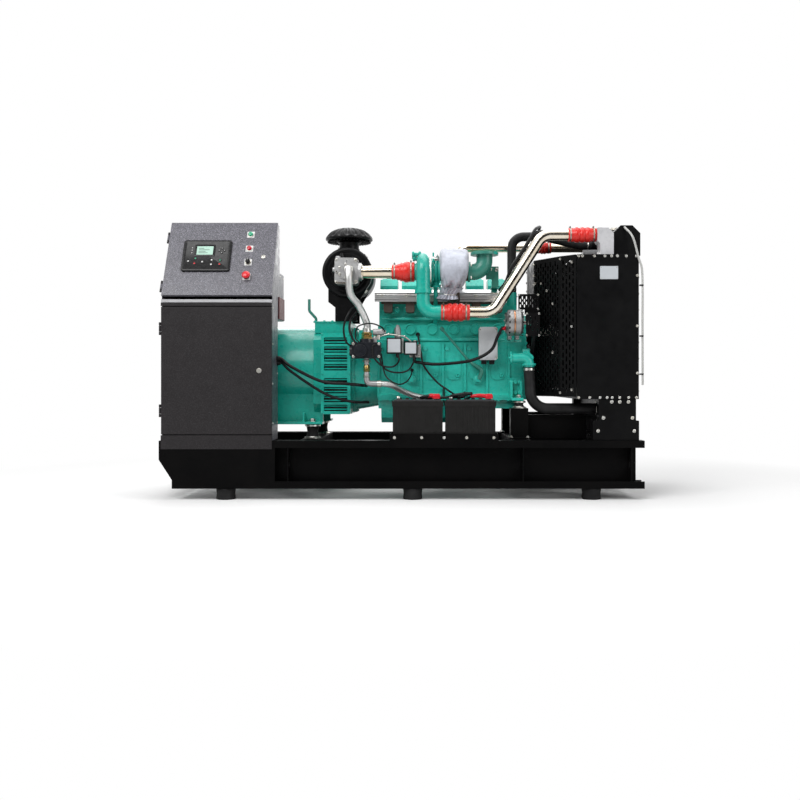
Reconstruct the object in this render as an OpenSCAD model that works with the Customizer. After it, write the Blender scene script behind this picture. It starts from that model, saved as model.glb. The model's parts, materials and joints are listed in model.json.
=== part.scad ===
// Natural-gas engine generating set on an open steel skid.
// +X runs from the control cabinet to the radiator, -Y faces the control panel, +Z is up.
// The origin is on the ground under the middle of the skid. All lengths are millimetres.

/* [Skid] */
// Length of the skid over its flanges
skid_l = 2680; // [2600:10:2800]
// Width over everything that the skid carries
skid_w = 1000; // [980:10:1100]
// Height of a side rail
skid_h = 265; // [240:5:300]
// Width of a rail's flanges
rail_flange = 85; // [75:5:100]
// Height of the returned lip on each flange
rail_lip = 40; // [30:1:50]
// Thickness of the rail's plate
rail_t = 6; // [5:0.5:8]
// Length of the sloping nose under the cabinet end
nose_l = 72; // [50:1:90]
// How far the flanges run past the end plate at the radiator end
flange_overrun = 32; // [20:1:45]
// Width of a cross member
cross_w = 100; // [80:5:120]
// Depth of a cross member
cross_h = 120; // [100:5:160]
// Diameter of a rubber foot
foot_d = 108; // [90:2:130]
// Height of a rubber foot
foot_h = 62; // [45:1:80]

/* [Cabinet] */
// Width of the control cabinet
cabinet_w = 612; // [580:2:640]
// Gap between the cabinet's back and the alternator's barrel
cabinet_gap = 44; // [30:1:60]
// Height of the lower cabinet above the deck
lower_h = 780; // [760:5:800]
// Height of the skirt below the lower door
skirt_h = 35; // [25:1:45]
// Height of the ledge between the door and the console
ledge_h = 42; // [36:1:50]
// Thickness of a door pan
door_t = 18; // [14:1:22]
// Gap between a door's back and its frame
door_gap = 5; // [5:0.5:7]
// Length of the console face up its slope
console_l = 484; // [470:2:500]
// Lean of the console face from upright, in degrees
console_lean = 26; // [22:1:28]
// Depth of the breaker housing, from the cabinet's front
housing_d = 411; // [380:5:440]
// Height of the breaker housing
housing_h = 272; // [255:1:280]
// Thickness of the cabinet's sheet
sheet_t = 3; // [2:0.5:4]
// Radius of a hinge knuckle
knuckle_r = 6; // [5:0.5:7]

/* [Alternator] */
// Height of the shaft's centre line above the deck
shaft_h = 398; // [390:1:405]
// Diameter of the alternator's barrel
barrel_d = 500; // [480:5:510]
// Length of the alternator's barrel
barrel_l = 540; // [500:10:580]
// Length of the drive-end bracket
bracket_l = 217; // [210:1:230]
// Width of the drive-end bracket
bracket_w = 550; // [530:5:560]
// Height of the terminal box
terminal_h = 68; // [60:1:80]
// Length of a louvred cover
louver_l = 170; // [160:1:180]
// Height of a louvred cover
louver_h = 466; // [440:2:480]
// Number of louvre openings in each half of a cover
louver_rows = 4; // [3:1:5]

/* [Engine] */
// Length of the cylinder block
block_l = 840; // [820:5:860]
// Distance between cylinder centres
cylinder_pitch = 128; // [124:1:130]
// Width of the crankcase
crankcase_w = 400; // [380:5:410]
// From the crankshaft up to the head joint
head_joint = 260; // [250:1:265]
// From the crankshaft down to the sump joint
sump_joint = 167; // [160:1:170]
// Height of the cylinder head
head_h = 135; // [125:1:140]
// Height of a rocker cover
rocker_h = 150; // [130:2:160]
// Depth of the sump's deep end
sump_h = 146; // [130:2:150]
// Length of the flywheel housing
bell_l = 150; // [150:1:160]

/* [Air and exhaust] */
// Height of the turbocharger's axis above the crankshaft
turbo_rise = 550; // [540:2:560]
// Distance of the turbocharger's axis in front of the crankshaft
turbo_y = 340; // [335:1:350]
// Outer diameter of the hot charge pipe
charge_d = 64; // [60:1:68]
// Outer diameter of the cold charge pipe
cold_d = 54; // [50:1:58]
// Wall of a silicone hose
hose_wall = 6; // [4:0.5:8]
// Bore of the exhaust elbow
exhaust_bore = 80; // [70:1:84]
// Diameter of the exhaust flange
exhaust_flange = 158; // [150:1:170]
// Diameter of the air cleaner's canister
cleaner_d = 288; // [270:2:296]
// Length of the air cleaner's canister
cleaner_l = 380; // [340:5:400]
// Diameter of the pre-cleaner's dome
dome_d = 277; // [260:1:290]

/* [Cooling] */
// Length of the radiator package along the skid
radiator_l = 371; // [350:1:371]
// Height of the radiator package
radiator_h = 801; // [780:1:810]
// Height of the radiator above the deck
radiator_rise = 229; // [220:1:240]
// Thickness of the radiator core
core_t = 150; // [120:5:170]
// Height of the top tank
tank_h = 170; // [150:1:180]
// Width of the top tank
tank_w = 154; // [140:1:165]
// Radius of the cooling fan
fan_r = 325; // [300:5:330]
// Number of fan blades
fan_blades = 8; // [6:1:10]
// Outer diameter of the lower coolant hose
coolant_d = 62; // [56:1:68]

/* [Batteries] */
// Length of a battery
battery_l = 284; // [270:1:288]
// Width of a battery
battery_w = 172; // [160:1:175]
// Height of a battery
battery_h = 222; // [210:1:230]

/* [Hidden] */
$fn = 48;

green = [0.20, 0.66, 0.55];
black = [0.10, 0.10, 0.11];
grey = [0.25, 0.25, 0.27];
silver = [0.80, 0.80, 0.80];
red = [0.86, 0.16, 0.13];
white = [0.92, 0.92, 0.92];

// Heights that the assemblies share
deck_z = foot_h + skid_h;
shaft_z = deck_z + shaft_h;
joint_z = shaft_z + head_joint;
head_top = joint_z + head_h;
sump_z = shaft_z - sump_joint;
turbo_z = shaft_z + turbo_rise;

// The lock stands lock_h proud of the cabinet's face, and the cabinet's skirt and the battery tray's lip
// stand one skin in front of the rails.
skin = 3;
lock_h = 6;
rail_y = skid_w / 2 - lock_h - skin;
web_y = rail_y - rail_flange;
left_x = -skid_l / 2;
right_x = skid_l / 2;
end_x = right_x - flange_overrun;
nose_z = foot_h + 160;

// The cabinet
cab_x0 = left_x + 2 * knuckle_r;
cab_x1 = cab_x0 + cabinet_w;
cab_y = -skid_w / 2 + lock_h;
cabinet_d = skid_w / 2 - lock_h - barrel_d / 2 - cabinet_gap;
door_h = lower_h - skirt_h - ledge_h;
frame_y = cab_y + door_t + door_gap;
cab_back = cab_y + cabinet_d;
ledge_z = deck_z + lower_h;
door_z = deck_z + skirt_h;
housing_y = cab_y + housing_d;
housing_z = shaft_z + barrel_d / 2 + 35;
console_z = ledge_z + 23;
console_rise = console_l * cos(console_lean);
console_run = console_l * sin(console_lean);
console_back = cab_y + console_run + 55;
face_back = door_t + door_gap;
pin_r = knuckle_r / 2;
pin_gap = 0.3;
knuckle_l = 34;

// Places along the skid
rad_x0 = right_x - radiator_l;
fan_space = 279;
block_end = rad_x0 - fan_space;
block_x = block_end - block_l;
bell_x = block_x - bell_l;
bracket_x = bell_x - bracket_l;
barrel_x = bracket_x - barrel_l;
cylinder_x = block_x + 62;
front_mount_x = block_end - 26;
mount_y = 238;
post_y = 300;
post_h = 175;
pad_h = 43;
foot_rail_h = 81;

// The turbocharger and its pipes
comp_x = block_x + 268;
scroll_r = 72;
turbine_x0 = comp_x + 95;
turbine_l = 158;
elbow_x = turbine_x0 + turbine_l + 94;
exhaust_top = turbo_z + 110;
comp_out_r = 38;
comp_out_z = turbo_z - 235;
hose_a0 = comp_x + 100;
hose_l = 160;
hose_a1 = hose_a0 + hose_l;
charge_z = turbo_z + 199;
clamp_w = 22;

// The radiator
rad_z = deck_z + radiator_rise;
rad_top = rad_z + radiator_h;
fan_z = rad_z + radiator_h / 2;
tank_x = rad_x0 + 209;
core_x = rad_x0 + 150;
stand_x = rad_x0 + 88;
header_x = rad_x0 + 117;
header_l = 90;
cold_y = 60;
cold_z = charge_z - 4;
guard_x = rad_x0 - 205;
belt_x = block_end + 45;
belt_w = 26;
dyn_y = 330;
dyn_z = shaft_z + 262;
dyn_r = 74;
dynamo_x = block_end - 105;

// Batteries
tray_x = block_x + 84;
tray_t = 4;
tray_lip = 38;
battery_gap = 8;
tray_l = 2 * battery_l + battery_gap + 24;
battery_y = cab_y + 15;

// The air cleaner and the mixer
cleaner_x = block_x - 172;
cleaner_z = turbo_z + 8;
cleaner_y = -268;
inlet_r = 36;
inlet_z = turbo_z;
mixer_y = -turbo_y;

// Puts a flat outline in the YZ plane and extrudes it along X from x0.
module extrude_x(x0, len) {
    translate([x0, 0, 0]) rotate([90, 0, 90]) linear_extrude(len) children();
}

// Puts a flat outline in the XZ plane and extrudes it along Y from y0.
module extrude_y(y0, len) {
    translate([0, y0 + len, 0]) rotate([90, 0, 0]) linear_extrude(len) children();
}

// A box given by its lowest and highest corners.
module box(a, b) {
    translate(a) cube(b - a);
}

// A round bar along X, Y or Z.
module bar_x(x0, x1, y, z, r) {
    translate([x0, y, z]) rotate([0, 90, 0]) cylinder(r = r, h = x1 - x0);
}
module bar_y(y0, y1, x, z, r) {
    translate([x, y0, z]) rotate([-90, 0, 0]) cylinder(r = r, h = y1 - y0);
}
module bar_z(z0, z1, x, y, r) {
    translate([x, y, z0]) cylinder(r = r, h = z1 - z0);
}

// Both sides of the set: the part as drawn at -Y, and its mirror image.
module both_sides() {
    children();
    mirror([0, 1, 0]) children();
}

// A rectangle with round corners, from its lowest corner.
module round_rect(w, h, r) {
    translate([r, 0]) square([w - 2 * r, h]);
    translate([0, r]) square([w, h - 2 * r]);
    for (x = [r, w - r], y = [r, h - r]) translate([x, y]) circle(r);
}

// Moves children so that their Z axis points along d from p, with X along the vector u.
module place(p, d, u) {
    w = cross(d, u);
    multmatrix([[u[0], w[0], d[0], p[0]], [u[1], w[1], d[1], p[1]], [u[2], w[2], d[2], p[2]], [0, 0, 0, 1]])
        children();
}

function unit(v) = v / norm(v);
function any_side(d) = unit(cross(d, abs(d[2]) < 0.9 ? [0, 0, 1] : [1, 0, 0]));
// The tangent length that a bend of radius b takes off each side of corner i.
function bend_cut(p, i, b) =
    (i == 0 || i == len(p) - 1) ? 0
    : let (a = unit(p[i] - p[i - 1]), c = unit(p[i + 1] - p[i])) b * tan(acos(a * c) / 2);

// A cast elbow through the points p: straight runs of radius r joined by true bends of radius b.
module elbow(p, r, b) {
    for (i = [0 : len(p) - 2]) {
        d = unit(p[i + 1] - p[i]);
        s = p[i] + d * bend_cut(p, i, b);
        e = p[i + 1] - d * bend_cut(p, i + 1, b);
        place(s, d, any_side(d)) cylinder(r = r, h = norm(e - s));
    }
    for (i = [1 : 1 : len(p) - 2]) {
        a = unit(p[i] - p[i - 1]);
        c = unit(p[i + 1] - p[i]);
        n = unit(c - a * (a * c));
        s = p[i] - a * bend_cut(p, i, b);
        place(s + n * b, cross(-n, a), -n)
            rotate_extrude(angle = acos(a * c)) translate([b, 0]) circle(r);
    }
}

// One ring of a swept skin: n points round the path point q, square to the direction t. The direction up
// is never parallel to t, so that neighbouring rings line up.
function ring(q, t, r, n, up) =
    let (u = unit(cross(t, up)), w = cross(t, u))
    [for (i = [0 : n - 1]) q + r * (cos(360 * i / n) * u + sin(360 * i / n) * w)];

// Triangles that join the rings of a swept skin and close its two ends.
function skin_faces(m, n) = concat(
    [for (k = [0 : m - 2], i = [0 : n - 1]) [k * n + i, (k + 1) * n + i, (k + 1) * n + (i + 1) % n]],
    [for (k = [0 : m - 2], i = [0 : n - 1]) [k * n + i, (k + 1) * n + (i + 1) % n, k * n + (i + 1) % n]],
    [[for (i = [0 : n - 1]) i]],
    [[for (i = [n - 1 : -1 : 0]) (m - 1) * n + i]]);

// A point on the smooth curve through the points p, at fraction t of span i.
function spline(p, i, t) =
    let (a = p[max(i - 1, 0)], b = p[i], c = p[i + 1], d = p[min(i + 2, len(p) - 1)])
    0.5 * (2 * b + (c - a) * t + (2 * a - 5 * b + 4 * c - d) * t * t + (3 * b - a - 3 * c + d) * t * t * t);
function curve(p, steps) =
    concat([for (i = [0 : len(p) - 2], j = [0 : steps - 1]) spline(p, i, j / steps)], [p[len(p) - 1]]);

// The skin that joins a list of rings of n points each.
module swept(rings, n) {
    polyhedron([for (g = rings) for (v = g) v], skin_faces(len(rings), n));
}

// A cable or braided hose of radius r along the smooth curve through the points p. Its ends are square to
// the first and the last leg.
module cable(p, r, steps = 4, n = 8) {
    q = curve(p, steps);
    m = len(q);
    e = len(p) - 1;
    swept([for (k = [0 : m - 1]) ring(q[k], k == 0 ? unit(p[1] - p[0]) : k == m - 1 ? unit(p[e] - p[e - 1])
        : unit(q[k + 1] - q[k - 1]), r, n, [0, 1, 0.02])], n);
}

// The points and directions of the bend of radius b at corner i.
function bend_arc(p, i, b, steps) =
    let (a = unit(p[i] - p[i - 1]), c = unit(p[i + 1] - p[i]), n = unit(c - a * (a * c)), q = acos(a * c),
        m = p[i] - a * bend_cut(p, i, b) + n * b)
    [for (j = [0 : steps]) let (f = q * j / steps) [m + b * (a * sin(f) - n * cos(f)), a * cos(f) + n * sin(f)]];

// A bent tube through the points p, as one skin: radius r, bends of radius b.
module tube(p, r, b, n = 20, steps = 6, up = [0, 1, 0]) {
    l = len(p) - 1;
    q = concat([[p[0], unit(p[1] - p[0])]], [for (i = [1 : 1 : l - 1]) each bend_arc(p, i, b, steps)],
        [[p[l], unit(p[l] - p[l - 1])]]);
    swept([for (k = q) ring(k[0], k[1], r, n, up)], n);
}

// The lipped channel of a side rail, open to the outside, at the -Y side.
module rail_outline() {
    t = rail_t;
    f = rail_flange;
    h = skid_h;
    translate([-rail_y, foot_h]) polygon([[0, 0], [f, 0], [f, h], [0, h], [0, h - rail_lip], [t, h - rail_lip],
        [t, h - t], [f - t, h - t], [f - t, t], [t, t], [t, rail_lip], [0, rail_lip]]);
}

// What the sloping nose takes off the lower left corner of anything as wide as the skid.
module nose_cut(grow = 0) {
    extrude_y(-skid_w, 2 * skid_w)
        polygon([[left_x - 10, foot_h - 10], [left_x + nose_l + grow, foot_h - 10],
            [left_x + nose_l + grow, foot_h + rail_lip + 8], [left_x + grow, nose_z], [left_x - 10, nose_z]]);
}

// A stiffener in a rail's channel, with its tie-down hole.
module rib(x) {
    difference() {
        box([x, -rail_y + rail_t, foot_h + rail_t], [x + rail_t, -web_y - rail_t, deck_z - rail_t]);
        bar_x(x - 1, x + rail_t + 1, -rail_y + rail_flange / 2, foot_h + skid_h / 2, 22);
    }
}

// One side rail with the cover plate and ribs that are welded into it, at the -Y side.
module rail() {
    plate_x1 = cab_x1 + 14;
    difference() {
        extrude_x(left_x, skid_l) rail_outline();
        nose_cut();
        box([end_x, -skid_w, foot_h + rail_lip], [right_x + 1, 0, deck_z - rail_lip]);
    }
    difference() {
        box([left_x, -rail_y, foot_h + rail_lip], [plate_x1, -rail_y + rail_t, deck_z - rail_lip]);
        nose_cut();
    }
    for (x = [plate_x1 + 70, front_mount_x + 4, end_x - 42]) rib(x);
}

module near_rail() {
    color(black) rail();
}

// The far rail has a rubbing bar on its top lip.
module far_rail() {
    color(black) {
        mirror([0, 1, 0]) rail();
        box([tray_x, rail_y, deck_z - rail_lip], [tray_x + tray_l, skid_w / 2, deck_z]);
    }
}

// The folded sheet of the sled nose and the plate across the radiator end.
module end_plates() {
    color(black) {
        extrude_y(-web_y, 2 * web_y) polygon([[left_x, deck_z], [left_x, nose_z], [left_x + nose_l, foot_h + rail_lip + 8],
            [left_x + nose_l, foot_h], [left_x + nose_l + rail_t, foot_h],
            [left_x + nose_l + rail_t, foot_h + rail_lip + 10], [left_x + rail_t, nose_z + 2], [left_x + rail_t, deck_z]]);
        box([end_x - rail_t, -web_y, foot_h], [end_x, web_y, deck_z]);
    }
}

cross_xs = [barrel_x + 90, bracket_x - 6, tray_x + tray_l / 2, front_mount_x, rad_x0 + 215];

// An inverted channel between the webs of the two rails.
module cross_member(x) {
    t = rail_t;
    translate([x, 0, deck_z]) extrude_y(-web_y, 2 * web_y) translate([-cross_w / 2, -cross_h])
        polygon([[0, 0], [t, 0], [t, cross_h - t], [cross_w - t, cross_h - t], [cross_w - t, 0], [cross_w, 0],
            [cross_w, cross_h], [0, cross_h]]);
}

// The box post under a front engine mount.
module engine_post() {
    translate([front_mount_x, -post_y, deck_z]) {
        translate([-cross_w / 2 - 6, -50, 0]) cube([cross_w + 12, 100, 8]);
        difference() {
            translate([-cross_w / 2, -44, 0]) cube([cross_w, 88, post_h]);
            translate([-cross_w / 2 + 6, -38, -1]) cube([cross_w - 12, 100, post_h - 9]);
        }
    }
}

module skid_cross_members() {
    color(black) for (x = cross_xs) cross_member(x);
}

// The low beam that ties each post to the radiator's stand.
module base_beam() {
    x0 = front_mount_x + cross_w / 2 + 6.3;
    box([x0, -post_y + 20, deck_z], [stand_x - 0.3, -post_y + 26, deck_z + 136]);
    box([x0, -post_y + 20, deck_z + 130], [stand_x - 0.3, -post_y + 80, deck_z + 136]);
}

module engine_posts() {
    color(black) both_sides() {
        engine_post();
        base_beam();
    }
}

foot_xs = [left_x + 360, 60, right_x - 286];

module skid_feet() {
    foot_y = rail_y - rail_flange / 2 - 12;
    color([0.13, 0.13, 0.14]) both_sides() for (x = foot_xs) translate([x, -foot_y, 0])
        rotate_extrude() polygon([[0, 0], [foot_d / 2 - 4, 0], [foot_d / 2, 5], [foot_d / 2 - 3, foot_h / 2],
            [foot_d / 2, foot_h - 5], [foot_d / 2 - 4, foot_h], [0, foot_h]]);
}

module battery_tray() {
    y1 = battery_y + battery_w + 6;
    z1 = deck_z + tray_lip;
    color(black) difference() {
        union() {
            box([tray_x, cab_y, deck_z], [tray_x + tray_l, y1, z1]);
            box([tray_x, cab_y, deck_z - rail_lip], [tray_x + tray_l, cab_y + skin, deck_z]);
        }
        box([tray_x + tray_t, cab_y + skin, deck_z + tray_t], [tray_x + tray_l - tray_t, y1 - tray_t, z1 + 1]);
    }
}

// One starting battery: case, ribbed front, lid, carrying lip and two posts.
module battery(x) {
    lid_h = 38;
    z0 = deck_z + tray_t;
    rib_n = 14;
    translate([x, battery_y, z0]) {
        translate([4, 4, 0]) cube([battery_l - 8, battery_w - 8, battery_h - lid_h]);
        for (i = [1 : rib_n - 1]) translate([i * battery_l / rib_n - 2, 1.5, 30])
            cube([4, battery_w - 3, battery_h - lid_h - 30]);
        translate([0, 0, battery_h - lid_h]) cube([battery_l, battery_w, lid_h - 8]);
        translate([10, 10, battery_h - 8]) cube([battery_l - 20, battery_w - 20, 8]);
        for (px = [34, battery_l - 34]) translate([px, 38, battery_h - 1]) cylinder(r1 = 9, r2 = 8, h = 15);
        for (k = [1 : 6]) translate([k * battery_l / 7, battery_w - 50, battery_h - 1]) cylinder(r = 11, h = 5);
    }
}

module batteries() {
    color(black) for (k = [0, 1]) battery(tray_x + 12 + k * (battery_l + battery_gap));
}

// The side view of the cabinet: lower box, sloping console and breaker housing.
module cabinet_outline() {
    c = cos(console_lean);
    s = sin(console_lean);
    y0 = cab_y + face_back * c;
    z0 = console_z - face_back * s;
    polygon([[frame_y, deck_z], [frame_y, z0], [y0, z0], [y0 + console_run, z0 + console_rise],
        [console_back, z0 + console_rise], [console_back, housing_z + housing_h], [housing_y, housing_z + housing_h],
        [housing_y, housing_z], [cab_back, housing_z], [cab_back, deck_z]]);
}

module cabinet_shell() {
    color(grey) {
        cabinet_back();
        extrude_x(cab_x0, sheet_t) cabinet_outline();
        extrude_x(cab_x1 - sheet_t, sheet_t) cabinet_outline();
    }
}

// The folded sheet that closes the cabinet's back, roof and housing.
module cabinet_back() {
    t = sheet_t;
    z_top = console_z - face_back * sin(console_lean) + console_rise;
    y_top = cab_y + face_back * cos(console_lean) + console_run;
    z_h = housing_z + housing_h;
    extrude_x(cab_x0 + t, cabinet_w - 2 * t)
        polygon([[y_top, z_top], [console_back, z_top], [console_back, z_h], [housing_y, z_h],
            [housing_y, housing_z], [cab_back, housing_z], [cab_back, deck_z], [cab_back - t, deck_z],
            [cab_back - t, housing_z + t], [housing_y - t, housing_z + t], [housing_y - t, z_h - t],
            [console_back - t, z_h - t], [console_back - t, z_top - t], [y_top, z_top - t]]);
}

// The fixed half of a hinge: a leaf on the cabinet's side, two knuckles and the pin.
module fixed_hinge() {
    k = knuckle_l;
    for (z = [-k - 1, k / 2 + 1]) translate([0, 0, z]) difference() {
        union() {
            cylinder(r = knuckle_r, h = k / 2);
            translate([knuckle_r - sheet_t, 0, 0]) cube([sheet_t, 40, k / 2]);
        }
    }
    translate([0, 0, -k / 2 - 2]) cylinder(r = pin_r, h = k + 4);
    translate([knuckle_r - sheet_t, 22, -k - 1]) cube([sheet_t, 18, 2 * k + 2]);
}

// The moving half of a hinge: one knuckle round the pin and the lug to the door's edge.
module door_knuckle(reach) {
    k = knuckle_l;
    difference() {
        union() {
            translate([0, 0, -k / 2 + 1]) cylinder(r = knuckle_r, h = k - 2);
            translate([0, -3, -k / 2 + 1]) cube([reach, 6, k - 2]);
        }
        translate([0, 0, -k]) cylinder(r = pin_r + pin_gap, h = 2 * k);
    }
}

// The frame in which the console's door is drawn: X across, Z up the slope, -Y out of its face.
module on_console() {
    translate([cab_x0, cab_y, console_z]) rotate([-console_lean, 0, 0]) children();
}

hinge_y = 8;
hinge_x = -knuckle_r;
lower_hinges = [130, door_h - 120];
console_hinges = [60, console_l - 100];

// The front frame with the lower door's opening, the ledge, the skirt over the rail and the hinges.
module cabinet_frame() {
    rim = 34;
    z_led = ledge_z - 19;
    color(grey) {
        extrude_y(frame_y, sheet_t) difference() {
            translate([cab_x0 + sheet_t, deck_z]) square([cabinet_w - 2 * sheet_t, lower_h - 19]);
            translate([cab_x0 + sheet_t + rim, door_z + rim / 2]) square([cabinet_w - 2 * rim - 2 * sheet_t, door_h - rim]);
        }
        extrude_x(cab_x0, cabinet_w) polygon([[cab_y, deck_z - rail_lip - 7], [cab_y, door_z - 5], [frame_y, door_z - 5],
            [frame_y, deck_z], [cab_y + skin, deck_z], [cab_y + skin, deck_z - rail_lip - 7]]);
        extrude_x(cab_x0, cabinet_w) polygon([[cab_y + 2, door_z + door_h + 5], [cab_y + 2, z_led], [frame_y, ledge_z],
            [frame_y, door_z + door_h + 5]]);
        for (z = lower_hinges) translate([cab_x0 + hinge_x, cab_y + hinge_y, door_z + z]) fixed_hinge();
        on_console() for (z = console_hinges) translate([hinge_x, hinge_y, z]) fixed_hinge();
    }
}

// A door as a folded pan: a face with its four edges turned back.
module door_pan(w, h) {
    difference() {
        cube([w, door_t, h]);
        translate([2, 2, 2]) cube([w - 4, door_t, h - 4]);
    }
}

module cabinet_door() {
    edge = 2;
    color(grey) translate([cab_x0, cab_y, door_z]) {
        translate([edge, 0, 0]) door_pan(cabinet_w - edge, door_h);
        for (z = lower_hinges) translate([hinge_x, hinge_y, z]) door_knuckle(edge - hinge_x + 1);
        translate([cabinet_w - 70, 1, door_h / 2]) rotate([90, 0, 0]) cylinder(r = 13, h = lock_h + 1);
    }
}

// Places across and up the console's face
ctrl_x = 0.151 * cabinet_w;
ctrl_w = 272;
ctrl_z = 0.312 * console_l;
ctrl_h = 206;
device_x = 0.757 * cabinet_w;
device_z = [for (k = [0.826, 0.628, 0.441, 0.243]) k * console_l];
device_r = 11;

module console_door() {
    edge = 2;
    color(grey) on_console() difference() {
        union() {
            translate([edge, 0, 0]) door_pan(cabinet_w - edge, console_l);
            for (z = console_hinges) translate([hinge_x, hinge_y, z]) door_knuckle(edge - hinge_x + 1);
            translate([0.893 * cabinet_w, 1, 0.516 * console_l]) rotate([90, 0, 0]) cylinder(r = 12, h = 6);
        }
        translate([ctrl_x + 12, -1, ctrl_z + 12]) cube([ctrl_w - 24, door_t + 2, ctrl_h - 24]);
        for (k = [2, 3]) translate([device_x, -1, device_z[k]]) rotate([-90, 0, 0]) cylinder(r = device_r, h = 8);
    }
}

// The set controller: bezel, raised screen surround, screen and keys.
module controller() {
    color(black) on_console() translate([ctrl_x, 0, ctrl_z]) {
        difference() {
            extrude_y(-13, 13) round_rect(ctrl_w, ctrl_h, 12);
            translate([0, -13.5, 0]) extrude_y(-1, 4) translate([72, 102]) square([104, 62]);
        }
        translate([14, 0, 14]) cube([ctrl_w - 28, door_t + 22, ctrl_h - 28]);
        for (k = [0 : 4]) translate([36 + k * 46, -12, 42]) rotate([90, 0, 0]) cylinder(r = 9, h = 4);
        for (a = [0 : 90 : 270]) translate([220 + 14 * cos(a), -12, 133 + 14 * sin(a)])
            rotate([90, 0, 0]) cylinder(r = 5, h = 4);
    }
}

// Legend plate with a domed lens, and the legend and collar of the two moving devices.
module panel_lamps() {
    on_console() {
        for (k = [0, 1]) color(k == 0 ? [0.1, 0.7, 0.4] : red) translate([device_x, 0, device_z[k]]) {
            extrude_y(-2, 2) translate([-20, -20]) round_rect(40, 40, 3);
            rotate([90, 0, 0]) cylinder(r = 15, h = 8);
            rotate([90, 0, 0]) cylinder(r = 12, h = 14);
        }
        for (k = [2, 3]) color(silver) translate([device_x, 0, device_z[k]]) difference() {
            union() {
                extrude_y(-2, 2) translate([-20, -20]) round_rect(40, 40, 3);
                rotate([90, 0, 0]) cylinder(r = 16, h = 5);
                rotate([-90, 0, 0]) cylinder(r = device_r - 0.3, h = door_t + 16);
            }
            rotate([90, 0, 0]) translate([0, 0, -30]) cylinder(r = 6.3, h = 60);
        }
    }
}

module estop_button() {
    color(red) on_console() translate([device_x, 0, device_z[3]]) rotate([90, 0, 0]) {
        translate([0, 0, -24]) cylinder(r = 6, h = 40);
        translate([0, 0, 15]) rotate_extrude() polygon([[0, 0], [17, 0], [21, 4], [21, 9], [17, 14], [9, 17], [0, 18]]);
    }
}

module selector_knob() {
    color(black) on_console() translate([device_x, 0, device_z[2]]) rotate([90, 0, 0]) {
        translate([0, 0, -24]) cylinder(r = 6, h = 40);
        translate([0, 0, 12.5]) cylinder(r = 14, h = 6);
        translate([-4, -14, 17]) cube([8, 28, 12]);
    }
}

// The moulded-case breaker in the housing and the red insulating board beside its cable opening.
module circuit_breaker() {
    x0 = cab_x0 + 190;
    z0 = housing_z + 20;
    color(black) {
        box([x0, housing_y - sheet_t - 110, z0 + 40], [x0 + 140, housing_y - sheet_t, z0 + 230]);
        box([x0 + 8, housing_y - sheet_t - 128, z0 + 80], [x0 + 132, housing_y - sheet_t - 109, z0 + 190]);
        box([x0 + 56, housing_y - sheet_t - 150, z0 + 120], [x0 + 84, housing_y - sheet_t - 127, z0 + 150]);
    }
    color([0.45, 0.13, 0.12]) box([cab_x1, cab_back + 20, housing_z + 4], [cab_x1 + 6, housing_y - 4, housing_z + 130]);
}

module alternator_frame() {
    w = bracket_w / 2 - 20;
    z0 = shaft_z - 259;
    z1 = shaft_z + 210;
    fz = deck_z + foot_rail_h;
    color(green) {
        bar_x(barrel_x, bracket_x + 5, 0, shaft_z, barrel_d / 2);
        bar_x(barrel_x - 40, barrel_x + 1, 0, shaft_z, barrel_d / 2 - 45);
        bar_x(barrel_x - 58, barrel_x - 39, 0, shaft_z, 70);
        extrude_x(bracket_x, bracket_l)
            polygon([[-w + 60, z0], [w - 60, z0], [w, z0 + 60], [w, z1 - 40], [w - 40, z1], [-w + 40, z1],
                [-w, z1 - 40], [-w, z0 + 60]]);
        both_sides() {
            box([barrel_x + 30, -mount_y - 50, fz], [bracket_x + 56, -mount_y + 50, fz + 14]);
            box([barrel_x + 40, -mount_y + 34, fz + 13], [bracket_x + 50, -mount_y + 50, fz + 190]);
            for (x = [barrel_x + 150, bracket_x - 60]) box([x, -mount_y - 40, fz + 13], [x + 10, -mount_y + 40, fz + 66]);
        }
    }
}

// A louvred cover on each side of the drive-end bracket.
module alternator_louvers() {
    y0 = bracket_w / 2 - 20;
    y1 = y0 + 34;
    z0 = shaft_z - 259;
    half = louver_h / 2;
    pitch = (half - 30) / louver_rows;
    color(green) both_sides() difference() {
        extrude_y(-y1, y1 - y0) translate([bell_x - louver_l, z0]) round_rect(louver_l, louver_h, 10);
        extrude_y(-y1 + 2, y1) translate([bell_x - louver_l + 2, z0 + 2]) square([louver_l - 4, louver_h - 4]);
        for (h = [0, 1], k = [0 : louver_rows - 1]) extrude_y(-y1 - 1, 4)
            translate([bell_x - louver_l + 18, z0 + 18 + h * half + k * pitch]) round_rect(louver_l - 36, pitch - 14, 5);
    }
}

module terminal_box() {
    z0 = shaft_z + 210;
    z1 = z0 + terminal_h;
    color(green) {
        box([bracket_x + 5, -225, z0], [bell_x - 6, 225, z1 - 8]);
        box([bracket_x - 4, -230, z1 - 8], [bell_x - 2, 230, z1]);
        tube([[bracket_x + 9, -200, z1 - 1], [bracket_x + 9, -200, z1 + 18], [bracket_x - 31, -200, z1 + 62],
            [bracket_x - 31, -200, z1 + 130]], 8, 20, 10, 3);
    }
}

// One rubber mount between a bolted base and a top plate.
module rubber_mount(h, r) {
    rotate_extrude() polygon([[0, 0], [r, 0], [r, 7], [r - 12, 10], [r - 16, h / 2], [r - 10, h - 9], [r - 6, h - 6],
        [r - 6, h], [0, h]]);
}

module vibration_mounts() {
    color([0.3, 0.3, 0.32]) both_sides() {
        for (x = [barrel_x + 90, bracket_x - 6]) translate([x, -mount_y, deck_z]) rubber_mount(foot_rail_h, 48);
        translate([front_mount_x, -post_y, deck_z + post_h]) rubber_mount(pad_h, 42);
    }
}

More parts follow.
